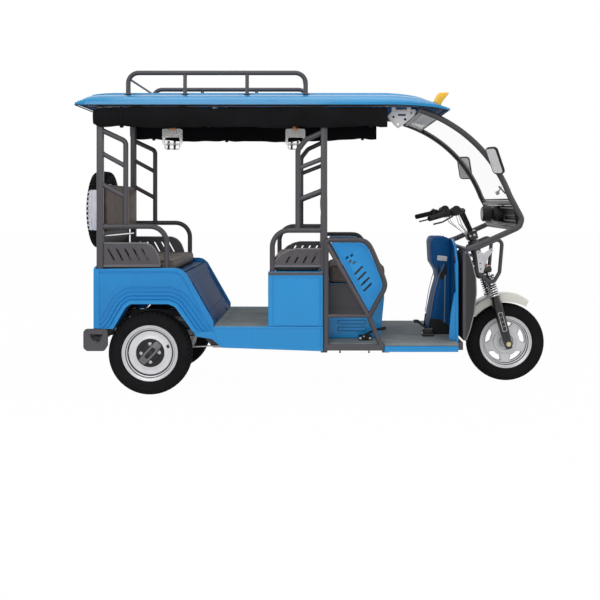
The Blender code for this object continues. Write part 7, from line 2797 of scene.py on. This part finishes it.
@dataclass
class Fittings:
    """Roof lamps, mirrors, strap handles, brake controls and small trim."""

    belts: tuple[float, ...] = (-0.844, -0.113)
    belt_y: float = -0.4215
    belt_rail_z: float = 1.65
    belt_foot_z: float = 1.5
    hand_brake: tuple[float, float] = (0.285, -0.365)
    pedal: tuple[float, float] = (0.7, -0.19)
    lamp_y: float = 0.39
    bracket_y: float = -0.41
    mirror_half: tuple[float, float] = (0.047, 0.084)

    def build(self, roof: Roof) -> None:
        """Cast all the fittings.

        Args:
            roof: The roof that carries the lamps.
        """
        for side in Side:
            self._roof_lamp(roof, side)
            self._mirror(side)
        self._straps()
        self._brakes()
        self._overhead()
        self._trim()

    def _roof_lamp(self, roof: Roof, side: Side) -> None:
        """Cast one forward-leaning roof lamp.

        Args:
            roof: The roof that carries it.
            side: The side that it stands on.
        """
        sections, y_mid = [], side.value * self.lamp_y
        for share, wide, back, ahead in ((0.0, 0.036, 0.706, 0.752), (0.12, 0.0365, 0.709, 0.76),
                                         (0.5, 0.036, 0.72, 0.779), (0.8, 0.034, 0.731, 0.796),
                                         (0.95, 0.029, 0.739, 0.802), (1.0, 0.02, 0.75, 0.797)):
            ring = rounded((back, ahead), (-wide, wide), 0.012, 4)
            base = roof.height(0.729, self.lamp_y) + 0.001
            top = roof.height(0.706, self.lamp_y) + 0.057
            row = []
            for p in ring:
                z = base + (top - base) * share
                if share < 0.05:
                    z = roof.height(p.x, self.lamp_y) + 0.0008
                row.append((p.x, y_mid + p.y, z))
            sections.append(row)
        mould = Mould()
        mould.loft(sections)
        cast(f"roof_marker_{side.label}", mould, [AMBER], replaces=[f"roof_lamp_{side.label}"])

    def _mirror(self, side: Side) -> None:
        """Cast one mirror: case, glass and bent arm.

        Args:
            side: The side that it stands on.
        """
        sign = side.value
        spot = PLAN.screen(0.7825)
        anchor = Vector((spot.x, sign * (PLAN.post_y + 0.0178), spot.y))
        centre = anchor + Vector((-0.0235, sign * 0.0619, 0.055))
        turn = (Matrix.Rotation(math.radians(45 + sign * 15), 3, "Z")
            @ Matrix.Rotation(math.radians(-24), 3, "Y"))
        wide, tall = self.mirror_half
        ring = rounded((-wide, wide), (-tall, tall), 0.024, 6)
        mould = Mould()
        rows = ((-0.0118, 0.0045), (-0.0118, 0.001), (-0.0085, 0.0), (0.0, 0.0), (0.007, 0.006),
            (0.0118, 0.018))
        mould.loft([[centre + turn @ Vector((t, p.x, p.y)) for p in inset(ring, shrink)] for t,
            shrink in rows])
        # glass in the pale finish: painted reflection
        mould.tone = 1
        mould.loft([[centre + turn @ Vector((t, p.x, p.y)) for p in inset(ring, 0.0078)]
            for t in (-0.0116, -0.0125)])
        mould.tone = 0
        elbow = anchor + Vector((0, sign * 0.022, 0.004))
        mould.tube(fillet([anchor, elbow, centre + turn @ Vector((0.004, 0, 0))], 0.015, 5), 0.0058, 12)
        mould.rod(anchor - Vector((0, sign * 0.001, 0)), anchor + Vector((0, sign * 0.01, 0)), 0.011, 16)
        cast(f"mirror_{side.label}_case", mould, [PLASTIC, MIRROR], replaces=[f"mirror_{side.label}"])

    def _straps(self) -> None:
        """Cast the strap rail with its hangers, and the belts with their clear blocks and grips."""
        y, rail, top = self.belt_y, self.belt_rail_z, self.belt_foot_z
        mould = Mould()
        mould.tone = 1
        mould.rod((-1.228, y, rail), (0.0598, y, rail), 0.005, 12)
        for x in PLAN.bow_x[:3]:
            mould.rod((x, y, rail), (x, y, PLAN.post_top), 0.0052, 12)
            mould.turn([(-0.008, 0.005), (-0.008, 0.008), (0.008, 0.008), (0.008, 0.005)], (x, y, rail),
                (1, 0, 0), 16)
        for x in self.belts:
            mould.tone = 0
            for face in (-0.0038, 0.0038):
                strip = oblong(about(x, 0.016), (1.562, rail))
                mould.slab(strip, y + face - 0.001, y + face + 0.001, "Y", 0.0005)
            mould.tone = 3
            for dx in (-0.022, 0.014):
                mould.box((x + dx - 0.006, x + dx + 0.006), about(y, 0.006), (top - 0.046, top + 0.004),
                    0.0015)
            mould.tone = 2
            block = rounded(about(x, 0.059), (top - 0.02, 1.576), 0.012, 5)
            window = rounded(about(x, 0.044), (top - 0.006, top + 0.026), 0.01, 4)
            mould.sheet([block, window], lambda p: y - 0.008, lambda p: y + 0.008)
            grip = [(x - 0.05, y, top - 0.018), (x + 0.05, y, top - 0.018), (x + 0.036, y, top - 0.044),
                (x - 0.036, y, top - 0.044)]
            mould.tube(fillet(grip, 0.012, 5, True), 0.0045, 12, ring=True)
        cast("strap_set", mould, [ORANGE, STEEL, CLEAR_GRIP, PLASTIC], replaces=["strap_handles"])

    def _brakes(self) -> None:
        """Cast the hand brake and the pedal."""
        floor = PLAN.driver_floor + 0.0003
        lever = Mould()
        x, y = self.hand_brake
        lever.box((x - 0.02, x + 0.06), about(y, 0.0145), (floor, floor + 0.031), 0.004)
        handle = [(x, y, floor + 0.0217), (x + 0.08, y, floor + 0.0617), (x + 0.14, y, floor + 0.0717)]
        lever.tube(fillet(handle, 0.03, 5), [0.008] * 4 + [0.009] * 4, 14)
        lever.turn([(-0.001, 0.0001), (-0.001, 0.0085), (0.002, 0.0098), (0.014, 0.0098), (0.02, 0.006),
            (0.02, 0.0001)], Vector((x + 0.1255, y, floor + 0.0692)), (0.986, 0, 0.164), 18)
        lever.tone = 1
        for dx in (-0.01, 0.048):
            lever.bolt((x + dx, y - 0.0145, floor + 0.012), (0, -1, 0), 0.005)
        lever.rod((x + 0.01, y - 0.018, floor + 0.024), (x + 0.01, y + 0.018, floor + 0.024), 0.0045)
        cast("hand_brake_lever", lever, [PLASTIC, STEEL], replaces=["hand_brake"])
        pedal = Mould()
        x, y = self.pedal
        pedal.box(about(x, 0.034), about(y, 0.039), (floor, floor + 0.015), 0.003)
        pedal.box(about(x, 0.03), about(y, 0.02), (floor + 0.014, floor + 0.046), 0.004)
        pedal.tube(fillet([(x, y, floor + 0.0367), (x - 0.04, y, floor + 0.0717),
            (x - 0.06, y, floor + 0.0867)], 0.02, 4), 0.0078, 12)
        pedal.tone = 1
        pedal.box((x - 0.084, x - 0.051), about(y, 0.034), (floor + 0.082, floor + 0.0935), 0.002)
        for k in range(6):
            at = y - 0.028 + 0.0112 * k
            pedal.tube([(x - 0.081, at, floor + 0.094), (x - 0.054, at, floor + 0.094)], 0.0016, 6)
        cast("foot_brake", pedal, [FORK_BLACK, PLASTIC], replaces=["brake_pedal"])

    def _overhead(self) -> None:
        """Cast the pale pierced bracket under the roof's front on the right side."""
        mould = Mould()
        plate = fillet([(0.438, 1.65), (0.47, 1.61), (0.497, 1.584), (0.52, 1.6), (0.59, 1.655),
            (0.604, 1.69), (0.47, 1.688)], 0.006, 4, True)
        holes = [fillet(oblong(about(x, a), about(z, b)), min(a, b) * 0.9, 3, True) for x, z, a,
            b in ((0.47, 1.648, 0.007, 0.007), (0.497, 1.606, 0.006, 0.006), (0.52, 1.66, 0.024, 0.006),
            (0.54, 1.634, 0.008, 0.008), (0.576, 1.672, 0.006, 0.006))]
        y = self.bracket_y
        mould.sheet([plate, *holes], lambda p: y - 0.003, lambda p: y + 0.003)
        mould.bead(plate, y, 0.0045)
        for x in (0.47, 0.56):
            mould.box(about(x, 0.012), (-0.44, y), (1.684, 1.7045), 0.002)
        cast("overhead_brackets", mould, [LINER])

    def _trim(self) -> None:
        """Cast the brake rod under the floor with its end sleeves, and the short rail behind the bench."""
        mould = Mould()
        mould.rod((-0.8, -0.3, 0.262), (0.04, -0.3, 0.283), 0.0042, 10)
        for x, z in ((-0.8, 0.262), (0.04, 0.283)):
            mould.turn([(-0.012, 0.0001), (-0.012, 0.008), (0.012, 0.008), (0.012, 0.0001)], (x, -0.3, z),
                (1, 0, 0.02), 14)
        mould.tube([(-1.258, -0.42, 0.94), (-1.165, -0.42, 0.948), (-1.075, -0.418, 0.957)], 0.0062, 12)
        cast("brake_rod", mould, [STEEL])


@dataclass
class Studio:
    """Camera at the photograph's angle, soft lamps and a pale floor."""

    camera_at: tuple[float, float, float] = (0.033, -5.5, 1.136)
    focal_px: float = 855.0
    frame_px: float = 600.0
    axis_px: tuple[float, float] = (320.0, 203.0)
    sensor_mm: float = 36.0
    floor_size: float = 60.0
    floor_white: float = 0.9
    floor_glow: float = 0.985
    fill_light: float = 0.34

    def build(self) -> None:
        """Set up the camera, the world, the lamps and the floor."""
        self._camera()
        self._world()
        self._lamps()
        self._floor()
        view = bpy.context.scene.view_settings
        view.view_transform = "Standard"

    def _camera(self) -> None:
        """Place the camera, level, with its axis at the photograph's vanishing point."""
        camera = bpy.data.cameras.new("camera")
        camera.sensor_width = self.sensor_mm
        camera.lens = self.focal_px / self.frame_px * self.sensor_mm
        camera.shift_x = -(self.axis_px[0] - self.frame_px / 2) / self.frame_px
        camera.shift_y = (self.axis_px[1] - self.frame_px / 2) / self.frame_px
        stand = bpy.data.objects.new("camera", camera)
        stand.location = self.camera_at
        stand.rotation_euler = (math.pi / 2, 0, 0)
        bpy.context.scene.collection.objects.link(stand)
        bpy.context.scene.camera = stand

    def _seen(self, tree: bpy.types.NodeTree) -> bpy.types.NodeSocket:
        """Make a socket that is 1 for camera, transmission and glossy rays.

        Args:
            tree: Node tree that gets the nodes.

        Returns:
            The socket.
        """
        path = add_node(tree, "LightPath")
        seen = path.outputs["Is Camera Ray"]
        for ray in ("Is Transmission Ray", "Is Glossy Ray"):
            either = add_node(tree, "Math")
            either.operation = "MAXIMUM"
            tree.links.new(seen, either.inputs[0])
            tree.links.new(path.outputs[ray], either.inputs[1])
            seen = either.outputs["Value"]
        return seen

    def _world(self) -> None:
        """Make a white background that lights the object at a plain level."""
        world = bpy.data.worlds.new("studio")
        world.use_nodes = True
        tree = world.node_tree
        ground = tree.nodes["Background"]
        ground.inputs["Color"].default_value = (1.0, 1.0, 1.0, 1.0)
        seen = self._seen(tree)
        level = add_node(tree, "MapRange", To_Min=self.fill_light, To_Max=1.0)
        tree.links.new(seen, level.inputs["Value"])
        tree.links.new(level.outputs["Result"], ground.inputs["Strength"])
        bpy.context.scene.world = world

    def _lamps(self) -> None:
        """Hang large soft lamps above, before and behind the object."""
        lamps = (  # name, place, aim, size, power
            ("lamp_top", (0.0, -0.6, 5.0), (0.0, 0.0, 0.6), 4.0, 88.0),
            ("lamp_near", (-1.5, -5.0, 3.4), (0.0, 0.0, 0.9), 3.5, 105.0),
            ("lamp_front", (5.0, -2.5, 2.4), (0.3, 0.0, 0.9), 2.5, 42.0),
            ("lamp_rear", (-4.5, 4.0, 3.2), (0.0, 0.0, 0.9), 3.0, 45.0),
        )
        for name, place, aim, size, power in lamps:
            light = bpy.data.lights.new(name, "AREA")
            light.size = size
            light.energy = power
            lamp = bpy.data.objects.new(name, light)
            lamp.location = place
            lamp.rotation_euler = (Vector(aim) - Vector(place)).to_track_quat("-Z", "Y").to_euler()
            bpy.context.scene.collection.objects.link(lamp)

    def _floor(self) -> None:
        """Lay a pale floor that keeps the object's shadow and meets the white background."""
        half = self.floor_size / 2
        mesh = bpy.data.meshes.new("floor")
        mesh.from_pydata([(-half, -half, 0), (half, -half, 0), (half, half, 0), (-half, half, 0)], [],
            [(0, 1, 2, 3)])
        floor = bpy.data.objects.new("floor", mesh)
        bpy.context.scene.collection.objects.link(floor)
        made = bpy.data.materials.new("pale_floor")
        made.use_nodes = True
        tree = made.node_tree
        matt = tree.nodes["Principled BSDF"]
        matt.inputs["Base Color"].default_value = (*(self.floor_white,) * 3, 1.0)
        matt.inputs["Roughness"].default_value = 0.9
        matt.inputs["Specular IOR Level"].default_value = 0.0
        white = add_node(tree, "Emission")
        share = add_node(tree, "Math")
        share.operation = "MULTIPLY"
        share.inputs[1].default_value = self.floor_glow
        blend = add_node(tree, "MixShader")
        tree.links.new(self._seen(tree), share.inputs[0])
        tree.links.new(share.outputs["Value"], blend.inputs["Fac"])
        tree.links.new(matt.outputs["BSDF"], blend.inputs[1])
        tree.links.new(white.outputs["Emission"], blend.inputs[2])
        tree.links.new(blend.outputs["Shader"], tree.nodes["Material Output"].inputs["Surface"])
        mesh.materials.append(made)


def main() -> None:
    """Build the looks of every sub-assembly around the frame."""
    logging.basicConfig(level=logging.INFO, format="%(message)s")
    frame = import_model()
    Studio().build()
    by_slot = {item.slot: item for item in (BLUE, GREY, FORK_BLACK, SILVER, CREAM, TYRE, MAT, PLASTIC,
        TAUPE, CURTAIN, SCREEN, LENS, AMBER, ORANGE)}
    for part in frame["record"]["subparts"]:
        node = frame["nodes"][part["node"]]
        node.data.materials.clear()
        node.data.materials.append(by_slot[part["material_slot"]].material())
    roof = Roof()
    roof.build()
    Rack().build(roof)
    for side in Side:
        for sub_assembly in (RearLadder, CentreLadder, DriverGuard, SidePanel, Curtain):
            sub_assembly(side).build()
    rear_x, rear_y, axle_z = PLAN.rear_axle_x, PLAN.rear_wheel_y, PLAN.tyre_radius
    for wheel in (
            Wheel("wheel_right", "rear_tyre_right", "rear_rim_right", Body.REAR_RIGHT,
                  (rear_x, -rear_y, axle_z), (1, 0, 0)),
            Wheel("wheel_left", "rear_tyre_left", "rear_rim_left", Body.REAR_LEFT,
                  (rear_x, rear_y, axle_z), (-1, 0, 0)),
            FrontWheel("wheel_front", "front_tyre", "front_rim", Body.FRONT_WHEEL,
                       (PLAN.front_axle_x, 0.0, axle_z), (1, 0, 0)),
            SpareWheel("wheel_spare", "spare_tyre", "spare_rim", Body.CHASSIS,
                       PLAN.spare_at, (0, -1, 0))):
        wheel.build()
    for sub_assembly in (Screen, Nose, LegShield, SteeringHead, Fork, Handlebar, Fender, SeatBoxes,
                         Floors, Bumper, RearAxle):
        sub_assembly().build()
    Fittings().build(roof)
    for cushion in make_seats():
        cushion.build()


if __name__ == "__main__":
    main()
